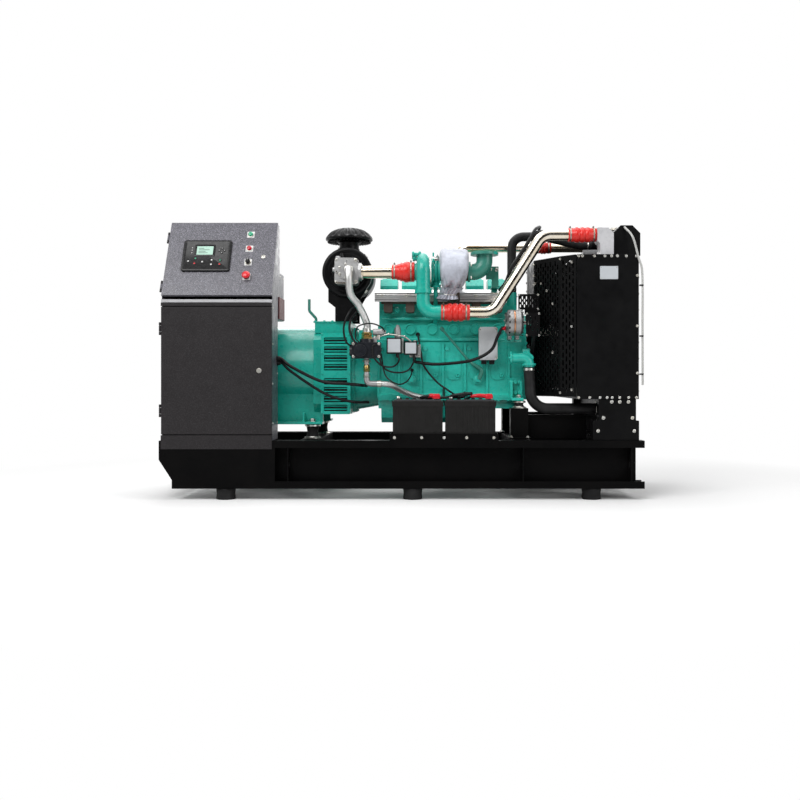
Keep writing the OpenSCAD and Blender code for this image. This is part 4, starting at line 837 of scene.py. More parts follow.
@dataclass(frozen=True)
class Plastic:
    """Moulded plastic, from matt to glossy, with a faint mould texture."""

    name: str
    colour: Point
    rough: float = 0.4
    grain: float = 0.2
    coat: float = 0.0
    through: float = 0.0
    glow: float = 0.0

    def make(self) -> bpy.types.Material:
        """Builds the material.

        Returns:
            The material.
        """
        s = Shader(self.name)
        soft = s.spread(s.noise(20.0, 4.0, 0.6), 0.35, 0.75, 0.0, 0.3)
        s.link(s.blend(soft, self.colour, [c * 0.75 + 0.02 for c in self.colour]), "Base Color")
        s.link(s.spread(s.noise(55.0, 3.0, 0.5), 0.3, 0.7, self.rough - 0.06, self.rough + 0.08), "Roughness")
        s.link(s.bump(s.noise(620.0, 2.0, 0.5), self.grain, 0.3), "Normal")
        s.set(Coat_Weight=self.coat, Coat_Roughness=0.08, Specular_IOR_Level=0.22)
        if self.through > 0:
            s.set(Transmission_Weight=self.through)
        if self.glow > 0:
            s.set(Emission_Color=(*self.colour, 1.0), Emission_Strength=self.glow)
        return s.material


@dataclass
class Finishes:
    """Every finish of the set, made once and shared."""

    made: dict = field(default_factory=dict)

    GREEN = Enamel("engine_green_enamel", (0.012, 0.44, 0.345), (0.008, 0.27, 0.215), 0.28, 0.25)
    # A lighter copy of the engine green for the block and what is bolted to it: painted light, since the
    # block stands in brighter light than the alternator.
    BLOCK_GREEN_LIT = Enamel("block_green_enamel", (0.034, 0.60, 0.485), (0.012, 0.35, 0.28), 0.28, 0.25)
    DARK_GREEN = Enamel("dark_green_enamel", (0.045, 0.26, 0.20), (0.02, 0.15, 0.115), 0.34, 0.2)
    SKID_BLACK = Enamel(
        "skid_black_paint", (0.002, 0.002, 0.0022), (0.0055, 0.005, 0.0048), 0.42, 0.0, 0.3, 0.15, 0.05)
    RADIATOR_BLACK = Enamel(
        "radiator_black_paint", (0.0035, 0.0035, 0.0038), (0.0065, 0.0065, 0.0068), 0.38, 0.0, 0.2, 0.1, 0.08)
    CABINET = PowderCoat("cabinet_graphite_powder", (0.046, 0.045, 0.056), (0.36, 0.35, 0.42), 0.6, 0.36,
                         0.55)
    LOWER_DOOR = PowderCoat("cabinet_dark_powder", (0.021, 0.019, 0.020), (0.085, 0.08, 0.085), 0.3, 0.45,
                            0.16)
    # Pale paint on the ledge under the console: a painted highlight of the light that its upward face
    # catches.
    LEDGE_HIGHLIGHT = Enamel("ledge_pale_paint", (0.50, 0.50, 0.52), (0.40, 0.40, 0.41), 0.4, 0.1)
    FOOT_RUBBER = Rubber("foot_rubber", (0.008, 0.008, 0.0085), 0.7, 0.0, 0.2)
    HOSE_BLACK = Rubber("coolant_hose_rubber", (0.009, 0.009, 0.0095), 0.5, 0.3, 0.2)
    CABLE_BLACK = Rubber("cable_sheath", (0.006, 0.006, 0.0065), 0.38, 0.0, 0.1)
    HOSE_RED = Rubber("silicone_hose_red", (0.70, 0.028, 0.021), 0.28, 0.3, 0.0, 0.35)
    BOOT_RED = Plastic("terminal_boot_red", (0.62, 0.010, 0.02), 0.35, 0.1, 0.2)
    POLISHED = Metal("polished_steel_tube", (0.74, 0.69, 0.60), (0.62, 0.49, 0.32), 0.17, 0.07, 0.0, 1.0,
                     (4, 90, 90))
    BRUSHED = Metal("brushed_steel", (0.76, 0.76, 0.78), (0.62, 0.61, 0.58), 0.30, 0.16)
    CLAMP = Metal("clamp_band_steel", (0.33, 0.32, 0.30), (0.30, 0.22, 0.16), 0.30, 0.12)
    ZINC = Metal("zinc_plated_steel", (0.66, 0.66, 0.64), (0.56, 0.53, 0.45), 0.3, 0.12)
    BRASS = Metal("brass_fitting", (0.62, 0.42, 0.14), (0.50, 0.34, 0.13), 0.25, 0.1)
    CAST = Metal("sand_cast_alloy", (0.46, 0.46, 0.46), (0.30, 0.30, 0.30), 0.40, 0.12, 0.8, 0.85,
                 (20, 20, 20))
    CAST_IRON = Metal("manifold_iron", (0.085, 0.062, 0.045), (0.05, 0.04, 0.034), 0.62, 0.1, 0.8, 0.4,
                      (20, 20, 20))
    DUCT = Enamel("charge_duct_white", (0.60, 0.60, 0.62), (0.44, 0.44, 0.45), 0.35, 0.2, 0.3, 0.6)
    BRAID = Braid("stainless_braid", (0.66, 0.66, 0.65))
    # The blanket's second colour is the painted shade of its creases and the dark of its weave.
    CLOTH = GlassCloth("blanket_glass_cloth", (0.50, 0.525, 0.60), (0.25, 0.25, 0.28))
    BATTERY = Plastic("battery_case_black", (0.009, 0.0085, 0.008), 0.42, 0.5)
    # The batteries' lids, lighter than their cases: a painted highlight of the light on their tops.
    BATTERY_LID_HIGHLIGHT = Plastic("battery_lid", (0.06, 0.06, 0.064), 0.3, 0.3, 0.1)
    BLACK = Plastic("moulded_black", (0.007, 0.007, 0.0075), 0.34, 0.3, 0.1)
    GLOSS_BLACK = Plastic("glossy_black", (0.0035, 0.0035, 0.004), 0.26, 0.1, 0.04)
    CLEANER = Enamel("cleaner_black", (0.003, 0.003, 0.0033), (0.005, 0.005, 0.0055), 0.33, 0.0, 0.08, 0.0,
                     0.14)
    SCREEN = Plastic("screen_pale_green", (0.40, 0.60, 0.50), 0.12, 0.0, 0.6, 0.0, 0.10)
    WHITE = Plastic("legend_white", (0.66, 0.66, 0.65), 0.35, 0.1)
    LAMP_GREEN = Plastic("lamp_green", (0.005, 0.34, 0.17), 0.12, 0.0, 0.8, 0.1)
    LAMP_RED = Plastic("lamp_red", (0.50, 0.006, 0.02), 0.12, 0.0, 0.8, 0.1)
    STOP_RED = Plastic("stop_button_red", (0.62, 0.012, 0.02), 0.22, 0.05, 0.5)
    MODULE = Plastic("module_cover_silver", (0.56, 0.58, 0.60), 0.36, 0.35, 0.15)
    LABEL = Plastic("bare_label", (0.54, 0.57, 0.60), 0.4, 0.05)
    CLEAR = Plastic("overflow_tube_clear", (0.62, 0.62, 0.60), 0.3, 0.0, 0.2, 0.3)
    BOARD = Plastic("insulating_board_red", (0.12, 0.014, 0.014), 0.45, 0.4)
    COPPER = Metal("copper_bar", (0.62, 0.30, 0.17), (0.50, 0.24, 0.13), 0.3, 0.1)
    CORE = Metal("core_fin_alloy", (0.022, 0.022, 0.024), (0.014, 0.014, 0.015), 0.5, 0.1, 0.2, 0.5)
    BLUE_GREY = Enamel("valve_dark_paint", (0.010, 0.012, 0.017), (0.006, 0.007, 0.009), 0.3, 0.2, 0.2, 0.5,
                       0.3)

    def get(self, finish: object) -> bpy.types.Material:
        """Makes a finish's material on its first use.

        Args:
            finish: the finish.

        Returns:
            Its material.
        """
        if finish.name not in self.made:
            self.made[finish.name] = finish.make()
        return self.made[finish.name]


F = Finishes()


# Pieces


def piece(
    name: str,
    skins: Sequence[Surface],
    finishes: Sequence[object],
    body: str = "genset",
    replaces: Sequence[str] = (),
    bevel: float = 0.0,
    angle: float = SHARP,
) -> bpy.types.Object:
    """Makes one object of the set from its surfaces and hangs it on its body.

    Args:
        name: the piece's name.
        skins: its surfaces in millimetres; each one's finish picks from finishes.
        finishes: the finishes it wears.
        body: the CAD body it rides on.
        replaces: the CAD nodes it stands for.
        bevel: the width of its rounded edges in millimetres, 0 for none.
        angle: the angle in degrees past which an edge is drawn sharp.

    Returns:
        The object.
    """
    whole = merged(skins)
    mesh = bpy.data.meshes.new(name)
    mesh.from_pydata((whole.points * MM).tolist(), [], whole.faces)
    mesh.update()
    for f in finishes:
        mesh.materials.append(F.get(f))
    index = np.concatenate([np.full(len(s.faces), s.finish, np.int32) for s in skins])
    mesh.polygons.foreach_set("material_index", index)
    layer = mesh.uv_layers.new(name="UVMap")
    flat = np.array([c for u in whole.uvs for c in u], np.float32).ravel()
    layer.data.foreach_set("uv", flat)
    obj = bpy.data.objects.new(name, mesh)
    bpy.context.scene.collection.objects.link(obj)
    dress(obj, bevel, angle)
    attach(obj, body)
    if replaces:
        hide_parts(*replaces)
    LOG.info("%s: %d faces", name, len(mesh.polygons))
    return obj


def dress(obj: bpy.types.Object, bevel: float, angle: float) -> None:
    """Smooths an object's shading up to an angle and rounds its sharper edges.

    Args:
        obj: the object.
        bevel: the width of its rounded edges in millimetres, 0 for none.
        angle: the angle in degrees past which an edge is drawn sharp.
    """
    obj.data.shade_smooth()
    obj.data.set_sharp_from_angle(angle=math.radians(angle))
    if bevel > 0:
        b = obj.modifiers.new("edge", "BEVEL")
        b.width = bevel * MM
        b.segments = 2
        b.limit_method = "ANGLE"
        b.angle_limit = math.radians(ROUNDED)
        b.harden_normals = True


def softened(
    node: str,
    finishes: Sequence[object],
    body: str = "genset",
    bevel: float = 1.5,
    zone: Optional[Callable[[np.ndarray], np.ndarray]] = None,
) -> bpy.types.Object:
    """Stands a copy of a CAD node, with its flats made whole and its edges rounded, in the node's place.

    Args:
        node: the CAD node.
        finishes: the finishes it wears.
        body: the CAD body it rides on.
        bevel: the width of its rounded edges in millimetres.
        zone: gives each face's finish from the faces' centres in millimetres.

    Returns:
        The new object.
    """
    mesh = bpy.data.objects[node].data.copy()
    mesh.name = node + "_dressed"
    mesh.materials.clear()
    for f in finishes:
        mesh.materials.append(F.get(f))
    for layer in [a.name for a in mesh.attributes if a.name == "custom_normal"]:
        mesh.attributes.remove(mesh.attributes[layer])
    work = bmesh.new()
    work.from_mesh(mesh)
    bmesh.ops.remove_doubles(work, verts=work.verts, dist=WELD)
    bmesh.ops.dissolve_limit(work, angle_limit=math.radians(COPLANAR), verts=work.verts, edges=work.edges)
    work.to_mesh(mesh)
    work.free()
    centres = np.empty(len(mesh.polygons) * 3)
    mesh.polygons.foreach_get("center", centres)
    index = np.zeros(len(mesh.polygons), np.int32)
    if zone is not None:
        index = np.asarray(zone(centres.reshape(-1, 3) / MM)).astype(np.int32)
    mesh.polygons.foreach_set("material_index", index)
    obj = bpy.data.objects.new(node + "_dressed", mesh)
    bpy.context.scene.collection.objects.link(obj)
    dress(obj, bevel, SHARP)
    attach(obj, body)
    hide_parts(node)
    LOG.info("%s: %d faces", obj.name, len(mesh.polygons))
    return obj


# Sizes that the assemblies share


@dataclass(frozen=True)
class Sizes:
    """Places that several assemblies share, in millimetres, as in the part's source."""

    deck: float = 327.0
    shaft: float = 725.0
    sump: float = 558.0
    turbo: float = 1275.0
    turbo_y: float = -340.0
    hot_y: float = -412.0
    out_z: float = 1040.0
    charge_z: float = 1474.0
    cab_x0: float = -1328.0
    cab_x1: float = -716.0
    cab_y: float = -494.0
    console_z: float = 1130.0
    lean: float = math.radians(26.0)
    cylinder_x: float = -88.0
    pitch: float = 128.0
    foot_x: Point = (-967.0, -523.0)
    foot_y: float = 238.0
    post_x: float = 664.0
    post_y: float = 300.0
    fan_x: float = 909.0
    fan_z: float = 956.5
    side_y: float = -480.0


S = Sizes()


def along(a: Point, b: Point, n: int) -> np.ndarray:
    """Returns n places in a row from a to b."""
    return np.linspace(np.asarray(a, float), np.asarray(b, float), n)


def round_x(x: float, y: float, z: float, r: float, n: int, start: float = 0.0) -> np.ndarray:
    """Returns n places on a circle of radius r about the X line through (y, z)."""
    a = np.radians(start) + 2 * np.pi * np.arange(n) / n
    return np.column_stack([np.full(n, x), y + r * np.cos(a), z + r * np.sin(a)])


def lobe(a: np.ndarray, middle: float, width: float) -> np.ndarray:
    """A soft hump round the angle middle: exp(-(d / width)^2), where d is the angle from middle, below pi."""
    d = np.angle(np.exp(1j * (a - middle)))
    return np.exp(-((d / width) ** 2))


def band(x: float, y: float, z: float, r: float, finish: int = 0) -> Surface:
    """A T-bolt clamp round a hose that runs along X: the band, its bridge, the bolt and the nut.

    Args:
        x: where the band starts.
        y: the hose's axis.
        z: the hose's axis.
        r: the hose's radius under the band.
        finish: the piece's finish for it.

    Returns:
        The clamp.
    """
    width = 8.0
    lip = [(r - 0.5, 0), (r + 1.4, 0), (r + 2.0, 0.8), (r + 1.3, 1.8)]
    ring = turned(lip + [(a, width - h) for a, h in reversed(lip)], (x, y, z), "x", 48)
    bridge = [box((x + 1.5, y + a, z + r + 1), (x + width - 1.5, y + a + 6, z + r + 10)) for a in (-11, 5)]
    mid, top = x + width / 2, z + r + 6.2
    bolt = turned(rod(2.6, -13, 15), (mid, y, top), "y", 12)
    nut = hex_bolt(6.0, 0.9, False).mapped(AXES["y"], (mid, y + 9, top))
    return merged([ring, *bridge, bolt, nut]).painted(finish)


def upright(a: np.ndarray, b: np.ndarray) -> np.ndarray:
    """The axes of an upright sheet over the plan line a-b: along it, up, and out on its right hand."""
    x, y = (b - a) / np.linalg.norm(b - a)
    return np.array([[x, y, 0], [0, 0, 1], [y, -x, 0]])


def perforated(a: Point, b: Point, z0: float, z1: float, cell: Point, hole: Point, edge: Point) -> Surface:
    """An upright sheet over the plan line a-b with staggered oval holes.

    Each cell is a rectangle with an oval hole: a ring of sixteen quads on both faces and round the hole.

    Args:
        a: the sheet's first plan point, in X and Y.
        b: its second plan point; the outer face is on the right hand from a to b.
        z0: the sheet's foot.
        z1: its top.
        cell: the width and height of a cell.
        hole: the width and height of a hole.
        edge: the plain margin at the sides and at the foot and top.

    Returns:
        The sheet.
    """
    a, b = np.asarray(a, float), np.asarray(b, float)
    run, rise = float(np.linalg.norm(b - a)), z1 - z0
    cols = max(1, int((run - 2 * edge[0]) // cell[0]))
    rows = max(1, int((rise - 2 * edge[1]) // cell[1] - 0.5))
    w, h = (run - 2 * edge[0]) / cols, (rise - 2 * edge[1]) / (rows + 0.5)
    corner = math.atan2(h, w)
    quarter = np.array([0, corner / 2, corner, (corner + np.pi / 2) / 2])
    t = np.concatenate([quarter, np.pi - np.append(quarter[1:], np.pi / 2)[::-1]])
    t = np.concatenate([t, t + np.pi])
    c, s = np.cos(t), np.sin(t)
    reach = np.minimum(w / 2 / np.maximum(abs(c), 1e-9), h / 2 / np.maximum(abs(s), 1e-9))
    outer = np.stack([c * reach, s * reach], 1)
    straight = (hole[1] - hole[0]) / 2
    inner = np.stack([hole[0] / 2 * c, hole[0] / 2 * s + np.sign(np.round(s, 6)) * straight], 1)
    n = len(t)
    flat = np.concatenate([outer, inner, outer, inner])
    deep = np.repeat([0.0, SHEET], 2 * n)
    i = np.arange(n)
    j = (i + 1) % n
    bands = ((i, j, j + n, i + n), (i + 3 * n, j + 3 * n, j + 2 * n, i + 2 * n),
             (i + n, j + n, j + 3 * n, i + 3 * n))
    quads = np.concatenate([np.stack(quad, 1) for quad in bands])
    k, m = np.meshgrid(np.arange(cols), np.arange(rows), indexing="ij")
    mid = np.stack([edge[0] + (k + 0.5) * w, edge[1] + (m + 0.5 + 0.5 * (k % 2)) * h], -1).reshape(-1, 2)
    uv = mid[:, None] + flat[None]
    axes, origin = upright(a, b), np.array([*a, z0])
    points = origin + uv[..., :1] * axes[0] + uv[..., 1:] * axes[1] - deep[None, :, None] * axes[2]
    faces = (quads[None] + (np.arange(len(mid)) * 4 * n)[:, None, None]).reshape(-1, 4)
    flat_uv = [((0.0, 0.0),) * 4] * len(faces)
    holes = Surface(points.reshape(-1, 3), [tuple(f) for f in faces.tolist()], flat_uv)
    rim = [(0, 0, run, edge[1]), (0, rise - edge[1], run, rise), (0, edge[1], edge[0], rise - edge[1])]
    rim.append((run - edge[0], edge[1], run, rise - edge[1]))
    for q in range(cols):
        low = edge[1] if q % 2 else rise - edge[1] - h / 2
        rim.append((edge[0] + q * w, low, edge[0] + (q + 1) * w, low + h / 2))
    strips = [box((p, q, -SHEET), (r, v, 0)).mapped(axes, origin) for p, q, r, v in rim]
    return merged([holes, *strips])


def sheet(a: Point, b: Point, z0: float, z1: float) -> Surface:
    """A plain upright sheet over the plan line a-b.

    Args:
        a: the first plan point, in X and Y.
        b: the second; the outer face is on the right hand from a to b.
        z0: the sheet's foot.
        z1: its top.

    Returns:
        The sheet.
    """
    a, b = np.asarray(a, float), np.asarray(b, float)
    run = float(np.linalg.norm(b - a))
    return box((0, 0, -SHEET), (run, z1 - z0, 0)).mapped(upright(a, b), (*a, z0))


def folded(lo: Point, hi: Point, face: float, depth: float, pitch: float, tube_pitch: float) -> Surface:
    """A radiator's face in the YZ plane: upright flat tubes with folded fins between them.

    Args:
        lo: the face's lowest Y and Z.
        hi: the face's highest Y and Z.
        face: the X of the fins' front edges.
        depth: how far the fins run back, below 0 for a face that looks to -X.
        pitch: the height of one fold.
        tube_pitch: the distance from tube to tube.

    Returns:
        Tubes and fins as one surface.
    """
    count = int((hi[0] - lo[0]) // tube_pitch)
    step = (hi[0] - lo[0]) / count
    n = int((hi[1] - lo[1]) // (pitch / 2))
    z = np.linspace(lo[1], hi[1], n + 1)
    x = face - depth * (np.arange(n + 1) % 2)
    left = lo[0] + step * np.arange(count) + 1.0
    sides = np.stack([left, left + step - 2.0], 1)
    points = np.empty((count, n + 1, 2, 3))
    points[..., 0] = x[None, :, None]
    points[..., 1] = sides[:, None, :]
    points[..., 2] = z[None, :, None]
    base = (np.arange(count) * (n + 1) * 2)[:, None]
    i = np.arange(n)[None, :] * 2 + base
    quads = np.stack([i, i + 1, i + 3, i + 2], -1).reshape(-1, 4)
    fins = Surface(points.reshape(-1, 3), [tuple(q) for q in quads.tolist()],
                   [((0.0, 0.0),) * 4] * len(quads))
    x0, x1 = sorted((face, face - depth))
    tubes = [box((x0, y - 1, lo[1]), (x1, y + 1, hi[1])) for y in np.append(left - 1.0, hi[0] - 1.0)]
    return merged([fins, *tubes])


# Assemblies


@dataclass
class Skid:
    """The rails, cross members, posts, feet and the battery tray."""

    edge: float = 1.2
    bolt: float = 12.0
    bead: float = 2.4
    uneven: float = 0.5
    seed: int = 7

    def build(self) -> None:
        """Dresses the skid and adds its bolts and welds."""
        for node in ("near_rail", "far_rail", "end_plates", "skid_cross_members", "engine_posts",
                     "battery_tray"):
            softened(node, [F.SKID_BLACK], bevel=self.edge)
        softened("skid_feet", [F.FOOT_RUBBER], bevel=1.0)
        self.fasteners()
        self.welds()

    def fasteners(self) -> None:
        """Bolts on the posts' base plates, the battery tray and the end plate."""
        posts = [(S.post_x + dx, s * (S.post_y + dy), 335) for dx in (-46, 46) for dy in (-38, 38)
                 for s in (-1, 1)]
        tray = [(x, -494, 344) for x in (-40, 110, 234, 358, 508)]
        ends = [(1308, y, z) for y in (-330, -110, 110, 330) for z in (130, 262)]
        skins = [bolts(self.bolt, posts), bolts(7, tray, "-y"), bolts(self.bolt, ends, "x")]
        piece("skid_bolts", skins, [F.ZINC])

    def welds(self) -> None:
        """Weld beads where the ribs and cover plates meet the rails."""
        rng = np.random.default_rng(self.seed)
        runs = []
        for side in (-1, 1):
            for x in (-632, 668, 1266):
                runs.append(((x + 3, side * 487, 70), (x + 3, side * 487, 100)))
                runs.append(((x - 1, side * 480, 69), (x - 1, side * 412, 69)))
            runs.append(((-701, side * 490, 104), (-701, side * 490, 286)))
        skins = []
        for a, b in runs:
            path = along(a, b, max(8, int(math.dist(a, b) / 4)))
            skins.append(tube(path, self.bead + self.uneven * rng.random(len(path)), 8))
        piece("skid_welds", skins, [F.SKID_BLACK])


@dataclass
class ConsoleFace:
    """The sloping face's own axes: X across, Y up the slope, Z out of the face."""

    origin: Point = (S.cab_x0, S.cab_y, S.console_z)

    def axes(self) -> np.ndarray:
        """Returns the directions of the face's X, Y and Z."""
        c, s = math.cos(S.lean), math.sin(S.lean)
        return np.array([[1, 0, 0], [0, s, c], [0, -c, s]], float)

    def put(self, skin: Surface, x: float = 0.0, y: float = 0.0, out: float = 0.0) -> Surface:
        """Carries a surface drawn on the face into the part's frame."""
        return skin.moved((x, y, out)).mapped(self.axes(), self.origin)


@dataclass
class Cabinet:
    """The control cabinet: shell, doors, locks, controller, lamps, stop button, selector and breaker."""

    controller_at: Point = (92.4, 151.0)
    controller_size: Point = (272.0, 206.0)
    device_x: float = 463.3
    rows: Point = (399.8, 304.0, 213.4, 117.6)
    console_lock: Point = (546.5, 249.7, 0.2)
    door_lock: Point = (S.cab_x0 + 542, S.cab_y - 0.1, 713.5)
    face: ConsoleFace = field(default_factory=ConsoleFace)

    def build(self) -> None:
        """Dresses the cabinet."""
        softened("cabinet_shell", [F.CABINET], bevel=0.8)
        # The frame's strip under the console wears the pale paint: painted highlight.
        softened("cabinet_frame", [F.LOWER_DOOR, F.LEDGE_HIGHLIGHT], bevel=0.8, zone=self.ledge_highlight)
        softened("cabinet_door", [F.LOWER_DOOR, F.ZINC], "lower_door", 1.2,
                 self.lock_zone)
        softened("console_door", [F.CABINET], "console", 1.2)
        softened("circuit_breaker", [F.BLACK, F.BOARD], bevel=1.5,
                 zone=lambda c: c[:, 0] > -717)
        self.locks()
        self.controller()
        self.contents()
        self.devices()
        self.moving_devices()
        self.screws()

    def ledge_highlight(self, c: np.ndarray) -> np.ndarray:
        """Marks the strip between the door and the console that is painted pale: a painted highlight of the
        light its upward face catches.
        """
        return (c[:, 2] > 1087) & (c[:, 2] < 1108) & (c[:, 1] < -469)

    def lock_zone(self, c: np.ndarray) -> np.ndarray:
        """Marks the lock's barrel on the lower door."""
        return (c[:, 1] < -494.5) & (abs(c[:, 0] - self.door_lock[0]) < 30)

    def lock(self, r: float) -> list[Surface]:
        """A quarter-turn lock of radius r: a stepped ring, a cylinder and its slot.

        Args:
            r: the ring's radius.

        Returns:
            The lock's surfaces, its foot on Z = 0.
        """
        ring = [(r - 0.5, 0), (r, 0.8), (r, 3.8), (r - 2, 5.6), (r - 3.5, 5.8), (r - 4.2, 4.4), (0, 4.4)]
        core = [(r - 5.2, 4), (r - 5.2, 5.0), (r - 6, 5.6), (0, 5.6)]
        return [turned(ring, sides=40), turned(core), *blocks((-1.2, -r + 7.5, 5.5, 1.2, r - 7.5, 5.75, 1))]

    def locks(self) -> None:
        """The locks of the two doors."""
        skins = [self.face.put(s, *self.console_lock) for s in self.lock(12.6)]
        piece("console_lock", skins, [F.ZINC, F.BLACK], "console")
        skins = [s.mapped(AXES["-y"], self.door_lock) for s in self.lock(13.6)]
        piece("door_lock", skins, [F.ZINC, F.BLACK], "lower_door")
        cam = [box((-5, -12, -16), (5, 34, -13)), turned([(6, -17), (6, -3), (0, -3)], sides=20)]
        skins = [s.mapped(AXES["-y"], self.door_lock) for s in cam]
        piece("door_lock_cam", skins, [F.ZINC], "lower_door")

    def controller(self) -> None:
        """The set controller: bezel, screen and keys, bare of any name."""
        w, h = self.controller_size
        skins = []

        def add(skin: Surface, x: float = 0.0, y: float = 0.0, finish: int = 0) -> None:
            """Adds a surface at (x, y) on the controller's face."""
            at = (self.controller_at[0] + x, self.controller_at[1] + y)
            skins.append(self.face.put(skin.painted(finish), *at))

        shell = [(0, 0, 14), (0, 9, 14), (3, 12.2, 13), (7, 13, 11), (13, 13, 8), (17, 11.6, 7)]
        surround = [(0, 11.6, 7), (0, 13.6, 7), (3, 14.2, 6), (7, 14.2, 4), (9, 12.4, 3)]
        x0, y0, wide, high = 0.245 * w, 0.46 * h, 0.425 * w, 0.38 * h
        add(rounded(w, h, shell, 6), w / 2, h / 2)
        add(rounded(wide, high, surround, 6), x0 + wide / 2, y0 + high / 2)
        add(box((x0 + 12, y0 + 11, 12.2), (x0 + wide - 12, y0 + high - 11, 12.9)), finish=1)
        for k, reach in enumerate((52, 40, 62, 30)):
            line = y0 + 22 + 10 * k
            add(box((x0 + 22, line, 12.9), (x0 + 22 + reach, line + 3, 13.05)), finish=2)
        add(box((14, 14, -38), (w - 14, h - 14, 0.5)))
        key = turned([(0, 0), (8.6, 0), (8.6, 1.2), (7.6, 2.8), (6.2, 3.4), (0, 3.0)], (0, 0, 11.4), sides=24)
        mark = turned([(0, 0), (5.0, 0), (4.6, 0.5), (0, 0.6)], (0, 0, 14.4), sides=20)
        for u, v, finish in (
            (0.139, 0.30, 3), (0.281, 0.389, 4), (0.273, 0.229, 5), (0.429, 0.28, 3),
            (0.62, 0.338, 3), (0.618, 0.197, 3), (0.794, 0.33, 4), (0.79, 0.204, 5),
        ):
            add(key, u * w, v * h, 2)
            add(mark, u * w, v * h, finish)
        arrow = turned([(0, 0), (6.6, 0), (6.4, 2.0), (5.2, 2.8), (0, 2.6)], (0, 0, 11.4), sides=20)
        tip = prism([(3.2, 0), (-1.8, 3.0), (-1.8, -3.0)], 0.5, (0, 0, 13.9))
        for turn in np.arange(4) * math.pi / 2:
            at = (0.807 * w + 15 * math.cos(turn), 0.65 * h + 15 * math.sin(turn))
            add(arrow, *at, 2)
            add(tip.mapped(about("z", turn), (0, 0, 0)), *at, 3)
        for v in (0.74, 0.66, 0.58):
            add(turned([(0, 0), (2.6, 0), (2.2, 1.2), (0, 1.5)], (0, 0, 11.4), sides=14), 0.19 * w, v * h, 3)
        for x in (10, w - 10):
            for y in (10, h - 10):
                add(turned([(0, 0), (3, 0), (3, 1.0), (0, 1.4)], (0, 0, 12.9), sides=12), x, y, 2)
        finishes = [F.GLOSS_BLACK, F.SCREEN, F.BLACK, F.WHITE, F.LAMP_GREEN, F.STOP_RED]
        piece("controller_face", skins, finishes, "console", ["controller"], 0.0, 30)

    def contents(self) -> None:
        """What the lower door hides: a mounting plate with ducts, rails, relays, contactors and terminals."""
        skins = [box((-1288, -304, 396), (-756, -300.5, 1034))]

        def rank(count: int, x: float, step: float, *rows: Point) -> None:
            """Adds equal devices in a row.

            Args:
                count: how many.
                x: where the first one stands.
                step: the distance from one to the next.
                rows: the blocks each one is made of, as from its own X = 0.
            """
            for k in range(count):
                at = x + k * step
                skins.extend(blocks(*[(at + x0, y0, z0, at + x1, *rest) for x0, y0, z0, x1, *rest in rows]))

        for x0, z0, x1, z1 in (
            (-1284, 404, -1252, 1026), (-792, 404, -760, 1026), (-1252, 994, -792, 1026),
            (-1252, 764, -792, 794), (-1252, 560, -792, 590),
        ):
            skins += blocks((x0, -352, z0, x1, -304, z1, 1))
        for z in (880, 670, 475):
            skins += blocks((-1244, -310, z - 17, -800, -304, z + 17, 2))
        rank(9, -1236, 20, (0, -366, 838, 18, -310, 924, 0), (5, -374, 872, 13, -365, 890, 3))
        rank(3, -1034, 74, (0, -392, 834, 62, -310, 926, 3), (8, -400, 850, 54, -391, 910, 1))
        rank(7, -1236, 34, (0, -376, 636, 27, -310, 706, 0), (5, -382, 648, 22, -375, 694, 4))
        skins += blocks((-984, -384, 622, -812, -310, 718, 3), (-972, -388, 634, -824, -383, 706, 2))
        for k in range(34):
            rank(1, -1236 + k * 12.4, 0, (0, -350, 448, 11, -310, 502, (0, 1, 0, 5)[k % 4]))
        for k, x in enumerate(np.linspace(-1220, -830, 16)):
            drop = smooth_path([(x, -340, 560), (x + 2, -362, 540), (x + 1, -360, 514), (x, -346, 500)], 5)
            skins.append(tube(drop, 2.6, 8).painted((3, 5, 6)[k % 3]))
        loom = [(-800, -330, 1010), (-770, -340, 1030), (-740, -372, 1040), (-734, -380, 900),
                (-736, -360, 800)]
        skins.append(tube(smooth_path([*loom, (-724, -330, 785)], 10), 9, 14).painted(3))
        finishes = [F.LABEL, F.MODULE, F.ZINC, F.BLACK, F.CLEAR, F.STOP_RED, F.GREEN]
        piece("cabinet_contents", skins, finishes, bevel=0.8)
        # A pale strip on the ledge under the console: painted highlight.
        strip = box((-1326, -495.2, 1090), (-718, -493.2, 1106))
        piece("ledge_strip", [strip], [F.LEDGE_HIGHLIGHT], bevel=0.6)

    def devices(self) -> None:
        """The lamps, and the fixed collars of the stop button and the selector."""
        legend = rounded(42, 42, [(0, 0, 4), (0, 1.4, 4), (1, 2.0, 3)])
        collar = [(17.5, 1.5), (17.5, 4.5), (16.4, 6.2)]
        lamp = turned([*collar, (15.2, 6.6), (14.4, 5.4), (0, 5.4)], sides=36).painted(1)
        dome = turned([(14.4, 5.2), (14.6, 9.5), (13.4, 12.8), (9.8, 15.0), (5.0, 16.2), (0, 16.6)], sides=36)
        sleeve = turned([(6.4, -30), (10.6, -30), (10.6, 0.5), *collar, (6.4, 6.2), (6.4, -30)], cap=Cap.NONE)
        shapes = ([dome.painted(2), lamp], [dome.painted(3), lamp], [sleeve.painted(1)], [sleeve.painted(4)])
        skins = []
        for row, shape in zip(self.rows, shapes):
            skins += [self.face.put(s, self.device_x, row) for s in (legend, *shape)]
        socket = turned(rod(11, -44, -18), sides=20).painted(4)
        skins += [self.face.put(socket, self.device_x, row) for row in self.rows[:2]]
        finishes = [F.WHITE, F.ZINC, F.LAMP_GREEN, F.LAMP_RED, F.BLACK]
        piece("panel_devices", skins, finishes, "console", ["panel_lamps"], 0.0, 35)

